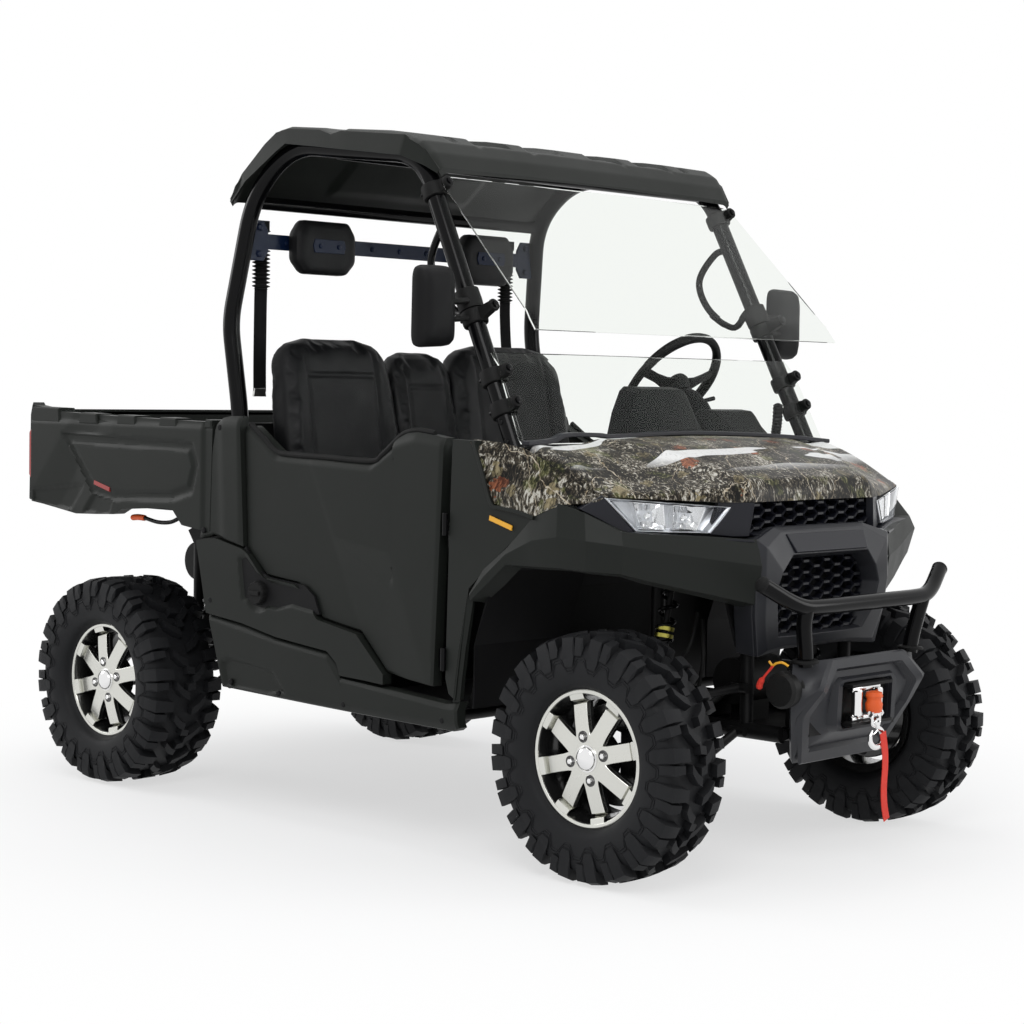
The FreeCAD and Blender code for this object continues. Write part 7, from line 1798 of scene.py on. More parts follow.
def seat_back_rings(y0, half, top):
    """A back rest in rings up its height: each a rounded box in x and y, its front bowed forward by the
    side bolsters, its top rounded over."""
    heights = np.linspace(0, 1, 34)
    turn = full_turn(72)
    foot, grow = 0.800, -0.004
    rings = []
    for h in heights:
        z = foot + (top - foot) * h
        lean = -0.243 - 0.085 * h ** 1.1
        cap = np.sqrt(max(1 - max((h - 0.80) / 0.20, 0) ** 2.4, 0.0))
        belly = 0.94 + 0.06 * math.sin(math.pi * min(h * 1.25, 1))
        wide = (half - 0.004 + grow) * (0.86 + 0.14 * cap) * belly
        wide *= (0.55 + 0.45 * cap)
        thick = 0.048 * (0.25 + 0.75 * cap) + grow
        c, s = np.cos(turn), np.sin(turn)
        x = np.sign(c) * np.abs(c) ** 0.55 * thick
        y = np.sign(s) * np.abs(s) ** 0.42 * wide
        edge = np.clip((np.abs(y) / wide - 0.55) / 0.35, 0, 1)
        bolster = 0.020 * edge * (c > 0) * math.sin(math.pi * min(h, 0.9))
        rings.append(np.stack([lean + x + bolster, y0 + y, np.full_like(x, z)], axis=-1))
    return np.array(rings)


def cushion_rings(y0, half, front=0.190, rear=-0.255):
    """A seat cushion in rings from the rear to its rounded front: each a rounded box in y and z with
    raised sides."""
    places = np.linspace(0, 1, 34)
    turn = full_turn(72)
    rings = []
    for p in places:
        cap = np.sqrt(max(1 - max((p - 0.84) / 0.16, 0) ** 2.2, 0.0))
        x = rear + (front - rear) * p
        wide = (half - 0.005) * (0.80 + 0.20 * cap)
        tall = 0.050 * (0.35 + 0.65 * cap)
        middle = 0.752 + 0.006 * math.sin(math.pi * p)
        c, s = np.cos(turn), np.sin(turn)
        y = np.sign(c) * np.abs(c) ** 0.42 * wide
        z = np.sign(s) * np.abs(s) ** 0.6 * tall
        bolster = 0.012 * np.clip((np.abs(y) / wide - 0.6) / 0.3, 0, 1) * (s > 0)
        rings.append(np.stack([np.full_like(y, x), y0 + y, middle + z + bolster], axis=-1))
    return np.array(rings)


CLOTH_FRAMES = 20


def points_of(item):
    """The places of a mesh's points (n, 3)."""
    points = np.empty(len(item.data.vertices) * 3)
    item.data.vertices.foreach_get("co", points)
    return points.reshape(-1, 3)


def inflate(item, voxel, pressure, reach):
    """Padding: the mesh is rebuilt in even cells and swelled by a cloth under inner pressure without
    gravity, each point is held within its reach of where it was, and the result is smoothed once."""
    remesh = item.modifiers.new("even", "REMESH")
    remesh.mode = "VOXEL"
    remesh.voxel_size = voxel
    apply_modifiers(item)
    start = points_of(item)
    cloth = item.modifiers.new("cloth", "CLOTH")
    settings = cloth.settings
    settings.quality = 4
    settings.mass = 0.25
    settings.tension_stiffness = settings.compression_stiffness = 12
    settings.shear_stiffness = 8
    settings.bending_stiffness = 1.2
    settings.use_pressure = True
    settings.uniform_pressure_force = pressure
    settings.effector_weights.gravity = 0.0
    cloth.collision_settings.use_collision = False
    cloth.collision_settings.use_self_collision = False
    cloth.point_cache.frame_start = 1
    cloth.point_cache.frame_end = CLOTH_FRAMES
    for number in range(1, CLOTH_FRAMES + 1):
        bpy.context.scene.frame_set(number)
    apply_modifiers(item)
    bpy.context.scene.frame_set(1)
    step = points_of(item) - start
    long = np.linalg.norm(step, axis=1, keepdims=True)
    moved = start + step * np.minimum(1, reach / np.maximum(long, 1e-9))
    item.data.vertices.foreach_set("co", moved.ravel())
    item.data.update()
    item.data.shade_smooth()


def apply_modifiers(item):
    """Replaces the mesh by its result under the live modifiers."""
    bpy.context.view_layer.update()
    result = bpy.data.meshes.new_from_object(item.evaluated_get(bpy.context.evaluated_depsgraph_get()))
    old = item.data
    item.modifiers.clear()
    item.data = result
    result.name = old.name
    bpy.data.meshes.remove(old)


def build_seats():
    """Three back rests and three cushions, swelled by cloth, with sewn channels pressed in after."""
    backs, pads = [], []
    for number, (y0, half, top) in enumerate(SEAT_PLACES):
        label = ("right", "centre", "left")[number]
        back = piece(f"seat_back_{label}", Skin().solid(seat_back_rings(y0, half, top)), "seat",
                     ["seat_backs"] if number == 0 else ())
        pad = piece(f"seat_cushion_{label}", Skin().solid(cushion_rings(y0, half)), "seat",
                    ["seat_cushions"] if number == 0 else ())
        backs.append(back)
        pads.append(pad)
    for item in backs + pads:
        inflate(item, 0.006, 3.5, 0.010)
        sew(item)
        modifier = item.modifiers.new("rounding", "SUBSURF")
        modifier.levels = modifier.render_levels = 0
        if not modifier.levels:
            item.modifiers.remove(modifier)


def sew(item):
    """Sewn channels: points near each seam line sink by 5 mm times exp(-(distance / 7 mm)^2) towards the
    pad's middle, and the cover puffs by a slow wave between them."""
    points = points_of(item)
    middle = points.mean(axis=0)
    low, high = points.min(axis=0), points.max(axis=0)
    half = (high[1] - low[1]) / 2
    across = np.abs(points[:, 1] - middle[1])
    depth = np.exp(-((across - half * 0.60) / 0.007) ** 2)
    # a back faces along x and its cross seam lies below its top,
    # a cushion faces up and its seam lies behind its front
    face, run, below = (0, 2, 0.105) if "back" in item.name else (2, 0, 0.11)
    band = np.exp(-((points[:, run] - (high[run] - below)) / 0.006) ** 2) * (across < half * 0.60)
    facing = points[:, face] > middle[face]
    sink = 0.005 * np.clip(depth + band, 0, 1) * facing
    direction = np.zeros(3)
    direction[face] = -1.0
    wave = 0.0012 * np.sin(points[:, 1] * 61.0) * np.sin(points[:, 2] * 47.0 + points[:, 0] * 31.0)
    points = points + direction * (sink + wave)[:, None]
    item.data.vertices.foreach_set("co", points.ravel())
    item.data.update()


def build_headrests():
    """Two head rests: eight-sided pads with rolled edges, a shell behind and a bolted plate in front."""
    for label, y0 in (("right", -0.345), ("left", 0.345)):
        outline = mirrored([(0.080, -0.078), (0.117, -0.040), (0.117, 0.040), (0.088, 0.080)])
        outline = rounded(outline + outline[:2], 0.013, 5)[1:-1]
        rings = []
        for depth, share in ((0.0, 0.88), (0.004, 0.96), (0.014, 1.0), (0.030, 1.0), (0.042, 0.985),
                             (0.049, 0.93), (0.053, 0.84), (0.055, 0.70), (0.0553, 0.45), (0.0555, 0.20)):
            rings.append([(-0.415 + depth, y0 + a * share, 1.631 + b * share) for a, b in outline])
        item = piece(f"headrest_{label}", Skin().solid(rings), "seat_side",
                     ["headrests"] if label == "right" else ())
        shell = Skin()
        prism(shell, mirrored([(0.060, 1.600), (0.072, 1.630), (0.060, 1.665)], y0), -0.4185, -0.412,
              axis="x", soft=0.002)
        piece(f"headrest_{label}_plate", shell, "trim")
        badge = Skin()
        prism(badge, mirrored([(0.058, 1.616), (0.064, 1.636), (0.058, 1.656)], y0), -0.3600, -0.3565,
              axis="x", soft=0.001)
        for reach in (-0.036, 0.036):
            turned(badge, [(0, 0), (0.0075, 0), (0.0075, 0.002), (0.005, 0.0036), (0, 0.0036)],
                   (-0.3565, y0 + reach, 1.636), (1, 0, 0), steps=16)
        piece(f"headrest_{label}_front", badge, "bar")


# where the belts hang, from the middle
BELT_OUT = 0.520


def build_belts():
    """Belts behind the outer seats: a ribbed boot at the pillar, the webbing down to the buckle, the
    tongue."""
    webbing, boots, buckles = Skin(), Skin(), Skin()
    for side in SIDES.values():
        ribs = 15
        steps = ribs * 6
        t = np.linspace(0, 1, steps)
        z = 1.678 - 0.173 * t
        fat = 0.021 + 0.0055 * np.sin(t * np.pi * 2 * ribs)
        rings = []
        for k in range(steps):
            rings.append([(-0.462 + 0.62 * fat[k] * math.cos(a),
                           side * BELT_OUT + 1.25 * fat[k] * math.sin(a), z[k])
                          for a in full_turn(20)])
        boots.solid(rings)
        line = smoothed([(-0.462, side * BELT_OUT, 1.515), (-0.462, side * 0.521, 1.46),
                         (-0.459, side * 0.524, 1.38), (-0.452, side * 0.530, 1.28),
                         (-0.446, side * 0.534, 1.205)], 40)
        ribbon(webbing, line, 0.047, 0.0022, (0, 1, 0))
        prism(buckles, [(side * 0.510, 1.190), (side * 0.560, 1.190), (side * 0.556, 1.215),
                        (side * 0.514, 1.215)],
              -0.4515, -0.4425, axis="x", soft=0.002)
        prism(boots, [(side * 0.500, 1.676), (side * 0.545, 1.676), (side * 0.545, 1.705),
                      (side * 0.500, 1.705)],
              -0.478, -0.446, axis="x", soft=0.003)
    piece("belt_webbing", webbing, "webbing", ["seat_belts"])
    piece("belt_boots", boots, "rubber")
    piece("belt_buckles", buckles, "steel")


MIRROR_MIDDLE = (0.500, 0.750, 1.435)


def build_mirrors():
    """The side mirrors: tapered shells with rolled rims, glass behind, ball arms and pillar clamps."""
    shells, glass, arms = Skin(), Skin(), Skin()
    for side in SIDES.values():
        base = np.array([MIRROR_MIDDLE[0], side * MIRROR_MIDDLE[1], MIRROR_MIDDLE[2]])
        outline = np.array([(-0.058, -0.102), (0.052, -0.108), (0.064, -0.090), (0.062, 0.085),
                            (0.050, 0.104), (-0.050, 0.106), (-0.064, 0.088), (-0.066, -0.085)])
        outline = rounded(np.concatenate([outline, outline[:2]]), 0.02, 5)[1:-1]
        rings = [[(base[0] + d, base[1] + side * a * share, base[2] + b * share) for a, b in outline]
                 for d, share in ((-0.020, 0.93), (-0.022, 0.985), (-0.016, 1.0), (0.0, 0.98), (0.014, 0.90),
                                  (0.024, 0.74), (0.029, 0.50), (0.030, 0.25))]
        shells.solid(rings)
        face = [[(base[0] - 0.0225 - d, base[1] + side * a * share, base[2] + b * share) for a, b in outline]
                for d, share in ((-0.002, 0.90), (0.0, 0.90), (0.0005, 0.6), (0.0005, 0.2))]
        glass.solid(face)
        pillar = sided(pillar_point(1.452), side)
        rod(arms, base + (0.020, -side * 0.02, 0.01), pillar + (0.020, side * 0.026, 0.0), 0.0085, 14)
        rod(arms, base + (0.014, -side * 0.02, -0.035), pillar + (0.030, side * 0.026, -0.045), 0.0075, 14)
        revolved(arms, [(0.0255, -0.030), (0.0335, -0.028), (0.0345, 0.0), (0.0335, 0.028), (0.0255, 0.030)],
                 pillar, np.subtract(*CAGE_PATH[1::-1]) * (1, side, 1), steps=32)
    piece("mirror_shells", shells, "trim", ["mirrors"])
    piece("mirror_glass", glass, "mirror")
    piece("mirror_arms", arms, "rubber", bevel=0.001)


# Front gear and running gear


# the winch cover from its rear rim round to the window's rear: x of the upper corners and of the lower ones,
# then the left corners from the top down as (across, up)
BUMPER_LOOPS = [
    (1.240, 1.226, [(0.266, 0.552), (0.274, 0.500), (0.274, 0.420), (0.196, 0.286)]),
    (1.336, 1.262, [(0.172, 0.559), (0.238, 0.492), (0.255, 0.415), (0.184, 0.283)]),
    (1.346, 1.268, [(0.160, 0.556), (0.226, 0.486), (0.243, 0.415), (0.177, 0.286)]),
    (1.350, 1.272, [(0.146, 0.534), (0.204, 0.478), (0.219, 0.416), (0.162, 0.314)]),
    (1.331, 1.262, [(0.141, 0.524), (0.193, 0.474), (0.207, 0.418), (0.154, 0.326)]),
    (1.333, 1.300, [(0.118, 0.508), (0.142, 0.490), (0.142, 0.384), (0.120, 0.366)]),
    (1.345, 1.338, [(0.112, 0.502), (0.130, 0.488), (0.130, 0.386), (0.112, 0.370)]),
    (1.345, 1.338, [(0.104, 0.496), (0.112, 0.488), (0.112, 0.386), (0.104, 0.376)]),
    (1.312, 1.305, [(0.104, 0.496), (0.112, 0.488), (0.112, 0.386), (0.104, 0.376)]),
]


def build_bumper():
    """The winch cover: loops of eight corners from the wall behind, out over the faceted sides, along the
    ridge, and in to the recessed middle with its raised frame round the window."""
    rings = []
    for upper, lower, left in BUMPER_LOOPS:
        ys, zs = np.array(mirrored(left)).T
        xs = lower + (upper - lower) * np.clip((zs - 0.30) / 0.185, 0, 1)
        xs = xs + (0.032 * np.clip((np.abs(ys) - 0.16) / 0.10, 0, 1) * (upper > 1.27) * (zs > 0.45))
        xs = np.minimum(xs, 1.377)
        if not rings:
            xs = np.interp(zs, [0.286, 0.42, 0.552], [1.251, 1.302, 1.300])
        rings.append(np.stack([xs, ys, zs], axis=-1))
    fine = np.array([along(np.concatenate([ring, ring[:1]]), np.linspace(0, 1, 97)) for ring in rings])
    rows = np.concatenate([np.linspace(0, 1, 5)[:-1] + k for k in range(len(fine) - 1)] + [[len(fine) - 1]])
    low = np.minimum(rows.astype(int), len(fine) - 2)
    share = (rows - low)[:, None, None]
    front = fine[low] * (1 - share) + fine[low + 1] * share
    inner = front - np.array([0.010, 0, 0]) - np.stack([np.zeros(front.shape[:2]), front[..., 1] * 0.03,
                                                        (front[..., 2] - 0.43) * 0.05], axis=-1)
    skin = Skin()
    n, m = front.shape[:2]
    skin.add(np.concatenate([front[:, :-1].reshape(-1, 3), inner[:, :-1].reshape(-1, 3)]),
             band_faces(n, m - 1))
    piece("bumper_cover", skin, "nose", ["bumper"], crisp=26.0, bevel=0.0022)
    grommets = Skin()
    for side in SIDES.values():
        revolved(grommets, [(0.0225, -0.003), (0.034, -0.003), (0.035, 0.001), (0.031, 0.005),
                            (0.0225, 0.006)],
                 (1.316, side * 0.236, 0.556), (0, 0.05 * side, 1), steps=32)
    piece("bumper_grommets", grommets, "rubber")


def band_faces(n, m):
    """Faces of a closed band: n rows round m columns outside and again inside, joined at both rims."""
    outside = strip_faces(n, m, across=True)
    size = n * m
    inside = [[number + size for number in face[::-1]] for face in outside]
    rims = []
    for j in range(m):
        k = (j + 1) % m
        rims.append([j, k, k + size, j + size])
        last = (n - 1) * m
        rims.append([last + k, last + j, last + j + size, last + k + size])
    return outside + inside + rims


def build_brush_guard():
    """The guard: a bar whose ends sweep up and back to rounded tips, on two legs that enter the cover."""
    skin, caps = Skin(), Skin()
    line = rounded([(1.298, -0.398, 0.757), (1.334, -0.292, 0.696), (1.338, -0.20, 0.6935),
                    (1.338, 0.20, 0.6935), (1.334, 0.292, 0.696), (1.298, 0.398, 0.757)], 0.075, 14)
    tube(skin, line, 0.0208, 28)
    for side in SIDES.values():
        leg = smoothed([(1.334, side * 0.262, 0.690), (1.324, side * 0.256, 0.645),
                        (1.318, side * 0.240, 0.585), (1.316, side * 0.234, 0.545)], 24)
        tube(skin, leg, 0.0200, 24)
        way = np.array([-0.032, side * 0.096, 0.055])
        turned(caps, [(0, -0.002), (0.0212, -0.002), (0.0214, 0.004), (0.018, 0.0095),
                      (0.010, 0.0125), (0, 0.0130)],
               (1.2985, side * 0.3965, 0.7561), way, steps=28)
    piece("guard_tube", skin, "tube", ["brush_guard"], crisp=50.0)
    piece("guard_caps", caps, "rubber")


WINCH_X, WINCH_Z = 1.280, 0.484
ROPE_RADIUS = 0.0042
ROPE_TURNS = 17


def build_winch():
    """The winch: ribbed motor and gearbox housings, the wound rope and a roller fairlead."""
    body, rope, rollers, plate = Skin(), Skin(), Skin(), Skin()
    for side, end in ((RIGHT, 0.298), (LEFT, 0.255)):
        profile = [(0, 0.094), (0.044, 0.094), (0.0465, 0.098)]
        for k in range(6 if side < 0 else 4):
            y = 0.11 + 0.028 * k
            profile += [(0.0465, y), (0.0415, y + 0.003), (0.0415, y + 0.011), (0.0465, y + 0.014)]
        profile += [(0.0465, end - 0.012), (0.040, end - 0.002), (0, end)]
        turned(body, profile, (WINCH_X, 0, WINCH_Z), (0, side, 0), steps=48)
        for k in range(6):
            angle = math.pi / 3 * k
            spot = (WINCH_X + 0.033 * math.cos(angle), side * (end - 0.003),
                    WINCH_Z + 0.033 * math.sin(angle))
            turned(body, [(0, 0), (0.0045, 0), (0.0045, 0.0025), (0, 0.003)], spot, (0, side, 0), steps=6)
    t = np.linspace(0, 2 * np.pi * ROPE_TURNS, ROPE_TURNS * 26)
    y = np.linspace(-0.084, 0.084, len(t))
    tube(rope, np.stack([WINCH_X + 0.0265 * np.cos(t), y, WINCH_Z + 0.0265 * np.sin(t)], axis=-1),
         ROPE_RADIUS, 8)
    tube(rope, smoothed([(1.316, -0.01, 0.478), (1.335, -0.012, 0.452), (1.365, -0.014, 0.447)], 14),
         ROPE_RADIUS, 10)
    for y0 in (-0.064, 0.027):
        turned(rollers, [(0, -0.034), (0.012, -0.034), (0.0145, -0.030), (0.0135, 0), (0.0145, 0.030),
                         (0.012, 0.034), (0, 0.034)], (1.356, y0, 0.440), (0, 0, 1), steps=28)
    for z0 in (0.398, 0.476):
        turned(rollers, [(0, -0.062), (0.010, -0.062), (0.0115, -0.058), (0.011, 0), (0.0115, 0.058),
                         (0.010, 0.062), (0, 0.062)], (1.344, -0.018, z0), (0, 1, 0), steps=28)
    prism(plate, [(-0.110, 0.379), (0.080, 0.379), (0.086, 0.386), (0.086, 0.490), (0.080, 0.496),
                  (-0.110, 0.496), (-0.116, 0.490), (-0.116, 0.386)], 1.319, 1.325, axis="x", soft=0.001)
    for z0 in (0.388, 0.487):
        prism(plate, [(-0.105, z0 - 0.004), (0.075, z0 - 0.004), (0.075, z0 + 0.004), (-0.105, z0 + 0.004)],
              1.325, 1.371, axis="x", soft=0.001)
    for y0 in (-0.095, 0.065):
        turned(plate, [(0, 0), (0.009, 0), (0.009, 0.004), (0.006, 0.006), (0, 0.006)], (1.325, y0, 0.437),
               (1, 0, 0), steps=6)
    piece("winch_housing", body, "iron", ["winch"], crisp=30.0)
    piece("winch_rope", rope, "steel")
    piece("fairlead_rollers", rollers, "chrome")
    piece("fairlead_frame", plate, "chassis", bevel=0.0008)


SHACKLE_X, HOOK_X = 1.384, 1.388


def build_hook():
    """The rubber stopper, the shackle and the hook: a bent bar that thins to its tip, with its latch."""
    y0 = sizes().hook_side
    stopper, metal = Skin(), Skin()
    turned(stopper, [(0, -0.022), (0.017, -0.022), (0.021, -0.016), (0.0225, 0.0), (0.019, 0.008),
                     (0.019, 0.014), (0.0225, 0.020), (0.020, 0.030), (0.010, 0.033), (0, 0.033)],
           (1.378, y0, 0.437), (0, 0, 1), steps=36)
    piece("hook_stopper", stopper, "orange")
    bow = smoothed([(SHACKLE_X, y0 - 0.013, 0.417), (SHACKLE_X, y0 - 0.0165, 0.400),
                    (SHACKLE_X, y0 - 0.013, 0.386), (SHACKLE_X, y0, 0.380), (SHACKLE_X, y0 + 0.013, 0.386),
                    (SHACKLE_X, y0 + 0.0165, 0.400), (SHACKLE_X, y0 + 0.013, 0.417)], 40)
    tube(metal, bow, 0.0048, 14)
    rod(metal, (SHACKLE_X, y0 - 0.024, 0.413), (SHACKLE_X, y0 + 0.024, 0.413), 0.0052, 16)
    for way in (-1, 1):
        turned(metal, [(0, 0), (0.0085, 0), (0.0085, 0.005), (0, 0.006)],
               (SHACKLE_X, y0 + way * 0.020, 0.413), (0, way, 0), steps=6)
    line = smoothed([(HOOK_X, y0 + 0.002, 0.392), (HOOK_X, y0 + 0.004, 0.378), (HOOK_X, y0 + 0.021, 0.366),
                     (HOOK_X, y0 + 0.028, 0.348), (HOOK_X, y0 + 0.016, 0.331), (HOOK_X, y0 - 0.009, 0.328),
                     (HOOK_X, y0 - 0.026, 0.341), (HOOK_X, y0 - 0.028, 0.358), (HOOK_X, y0 - 0.020, 0.371)],
                    60)
    fat = np.interp(np.linspace(0, 1, 60), [0, 0.1, 0.4, 0.6, 0.85, 1],
                    [0.0082, 0.0065, 0.0082, 0.0086, 0.0060, 0.0026])
    tube(metal, line, fat, 16)
    revolved(metal, [(0.005, -0.004), (0.0105, -0.004), (0.0105, 0.004), (0.005, 0.004)],
             (HOOK_X, y0 + 0.001, 0.391), (1, 0, 0), steps=24)
    tube(metal, smoothed([(HOOK_X, y0 + 0.006, 0.374), (HOOK_X, y0 - 0.004, 0.366),
                          (HOOK_X, y0 - 0.015, 0.361)], 10), 0.0026, 10)
    piece("hook_steel", metal, "chrome")


STRAP_ROUTE = [(1.399, -0.008, 0.364), (1.398, 0.001, 0.335), (1.397, 0.009, 0.305), (1.398, 0.008, 0.268),
               (1.399, 0.002, 0.228), (1.399, 0.004, 0.188), (1.398, 0.013, 0.155), (1.398, 0.020, 0.136)]


def build_strap():
    """The red pull strap: a flat band that follows the route's curve, sewn to a loop at its top and to a
    folded end, declared as a hanging cord of its own width."""
    data = bpy.data.curves.new("strap_route", "CURVE")
    data.dimensions = "3D"
    data.resolution_u = 12
    spline = data.splines.new("NURBS")
    spline.points.add(len(STRAP_ROUTE) - 1)
    spline.points.foreach_set("co", np.c_[np.array(STRAP_ROUTE), np.ones(len(STRAP_ROUTE))].ravel())
    spline.order_u = 3
    spline.use_endpoint_u = True
    holder = bpy.data.objects.new("strap_route", data)
    bpy.context.scene.collection.objects.link(holder)
    line = bpy.data.meshes.new_from_object(holder.evaluated_get(bpy.context.evaluated_depsgraph_get()))
    path = np.empty(len(line.vertices) * 3)
    line.vertices.foreach_get("co", path)
    path = path.reshape(-1, 3)
    bpy.data.objects.remove(holder)
    bpy.data.curves.remove(data)
    bpy.data.meshes.remove(line)
    skin = ribbon(Skin(), path, 0.025, 0.0022, (0, 1, 0))
    item = piece("hook_strap_band", skin, "strap", ["hook_strap"], crisp=50.0)


SHOCK_LINES = [((0.9235, 0.3922, 0.2637), (0.9235, 0.270, 0.7927)),
               ((-0.9235, 0.3920, 0.2637), (-0.9235, 0.270, 0.7427))]


def build_shocks():
    """Coil-over shocks: body and rod on one line, seats, and a coil that turns 9 times about it."""
    dampers, coils, seats, rings = Skin(), Skin(), Skin(), Skin()
    for foot, head in SHOCK_LINES:
        for side in SIDES.values():
            a, b = np.array(sided(foot, side), float).ravel(), np.array(sided(head, side), float).ravel()
            long = np.linalg.norm(b - a)
            run = (b - a) / long
            rod(dampers, a + run * 0.02, a + run * (long * 0.62), 0.0165, 24)
            rod(dampers, a + run * (long * 0.55), b, 0.0080, 18)
            for spot in (a + run * 0.012, b):
                rod(dampers, spot - np.array([0.012, 0, 0]), spot + np.array([0.012, 0, 0]), 0.0118, 20)
            for share, wide in ((0.10, 0.0262), (0.93, 0.0262)):
                revolved(seats, [(0.016, -0.006), (wide, -0.006), (wide, 0.0), (0.020, 0.006),
                                 (0.016, 0.006)],
                         a + run * long * share, run, steps=32)
            for share in (0.62, 0.655):
                revolved(rings, [(0.0165, -0.005), (0.0250, -0.005), (0.0250, 0.005), (0.0165, 0.005)],
                         a + run * long * share, run, steps=24)
            turns = 9.5
            t = np.linspace(0, 1, 300)
            middle = a + run * (long * (0.115 + 0.80 * t))[:, None]
            out = unit(np.cross(run, (1, 0, 0)))
            other = np.cross(run, out)
            angle = 2 * np.pi * turns * t
            tube(coils, middle + 0.0215 * (np.cos(angle)[:, None] * out + np.sin(angle)[:, None] * other),
                 0.0049, 10)
    piece("shock_dampers", dampers, "chassis", ["shocks"])
    piece("shock_rings", rings, "zinc_ring")
    piece("shock_springs", coils, "tube")
    piece("shock_seats", seats, "chassis")


def build_details():
    """Small things: hoses by the front shocks, dark liners by the rear arches and behind the sills, the fuel
    cap's ribbed grip, and the winch's clutch cord with its pull."""
    hoses = Skin()
    for side in SIDES.values():
        tube(hoses, smoothed([(1.02, side * 0.30, 0.66), (1.03, side * 0.34, 0.58), (1.00, side * 0.36, 0.52),
                              (0.99, side * 0.40, 0.45), (0.985, side * 0.455, 0.40)], 40), 0.0045, 10)
        tube(hoses, smoothed([(1.02, side * 0.28, 0.64), (1.05, side * 0.31, 0.55), (1.03, side * 0.30, 0.47),
                              (1.01, side * 0.27, 0.42)], 40), 0.0055, 10)
    piece("brake_hoses", hoses, "rubber")
    liners = Skin()
    for side in SIDES.values():
        slab(liners, [(-0.640, 0.790), (-0.470, 0.560), (-0.440, 0.560), (-0.440, 0.800), (-0.600, 0.808)],
             side, 0.640, 0.634)
    piece("rear_arch_liners", liners, "trim")
    pockets = Skin()
    for side in SIDES.values():
        slab(pockets, [(-0.335, 0.735), (-0.318, 0.606), (-0.164, 0.590), (0.012, 0.596), (-0.012, 0.645),
                       (-0.053, 0.672), (-0.202, 0.684), (-0.262, 0.705), (-0.305, 0.765)], side,
             0.6975, 0.690)
    piece("sill_pockets", pockets, "trim")
    cap = Skin()
    low, high = (np.array(corner, float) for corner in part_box("fuel_cap"))
    steps = 72
    middle = (low + high) / 2
    reach = float(min(high[0] - low[0], high[2] - low[2]) / 2)
    way = np.sign(middle[1])
    face = high[1] if way > 0 else low[1]
    turn = full_turn(steps)
    wave = 1 + 0.035 * np.sign(np.sin(turn * 12)) * np.abs(np.sin(turn * 12)) ** 0.5
    rings = []
    for back, share, wavy in ((0.030, 0.90, 0), (0.030, 0.93, 1), (0.010, 0.95, 1), (0.003, 0.92, 1),
                              (0.0, 0.84, 0), (0.0, 0.3, 0)):
        radius = reach * share * (wave if wavy else 1.0) * np.ones(steps)
        rings.append(np.stack([middle[0] + radius * np.cos(turn), np.full(steps, face - way * back),
                               middle[2] + radius * np.sin(turn)], axis=-1))
    cap.solid(rings)
    bar = [(middle[0] + a * reach * 0.62, middle[2] + b * 0.006) for a,
           b in ((-1, -1), (1, -1), (1, 1), (-1, 1))]
    prism(cap, bar, *sorted((face, face + way * 0.006)), soft=0.0015)
    piece("fuel_cap_grip", cap, "rubber", ["fuel_cap"])
    pull = Skin()
    cord = smoothed([(1.221, -0.300, 0.484), (1.226, -0.300, 0.500), (1.238, -0.301, 0.516),
                     (1.252, -0.301, 0.532), (1.264, -0.300, 0.546)], 30)
    tube(pull, cord, np.interp(np.linspace(0, 1, 30), [0, 0.06, 0.36, 0.46, 1],
                               [0.006, 0.0088, 0.0078, 0.0034, 0.0034]), 12)
    piece("winch_pull", pull, "strap")
    wire = Skin()
    tube(wire, smoothed([(1.252, -0.301, 0.556), (1.262, -0.300, 0.547), (1.274, -0.300, 0.553),
                         (1.290, -0.297, 0.556), (1.304, -0.290, 0.548)], 24), 0.0032, 10)
    piece("winch_pull_end", wire, "amber")


NODE_FINISHES = {
    "chassis": ["frame", "front_suspension", "rear_suspension", "knuckle_right", "knuckle_left",
                "tie_rod", "floor"],
    "iron": ["drive_shafts", "engine", "exhaust"],
    "trim": ["wheel_liners", "radiator"],
}


def build_nodes():
    """Finishes of the construction nodes that show as they are."""
    for kind, names in NODE_FINISHES.items():
        plain_nodes([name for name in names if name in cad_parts], kind)


# Studio


def bare_rays(tree):
    """1 for rays from the camera, off a reflection or through glass, 0 for the rest."""
    rays = node(tree, "ShaderNodeLightPath").outputs
    seen = maths(tree, "MAXIMUM", rays["Is Camera Ray"], rays["Is Glossy Ray"])
    return maths(tree, "MAXIMUM", seen, rays["Is Transmission Ray"])


# the lamps: place, aim, width and share of the key lamp's strength
LAMPS = {
    "key": ((3.2, -3.6, 4.2), (0.2, -0.2, 0.8), 2.6, 1.0),
    "fill": ((4.5, 2.8, 2.2), (0.3, 0.2, 0.8), 2.4, 0.55),
    "top": ((-0.6, 0.0, 5.0), (0.0, 0.0, 0.8), 3.2, 0.8),
    "back": ((-4.2, -2.2, 2.6), (-0.6, 0.0, 0.8), 2.2, 0.45),
}
FLOOR_RADIUS = 60.0
WHITE = (1, 1, 1, 1)


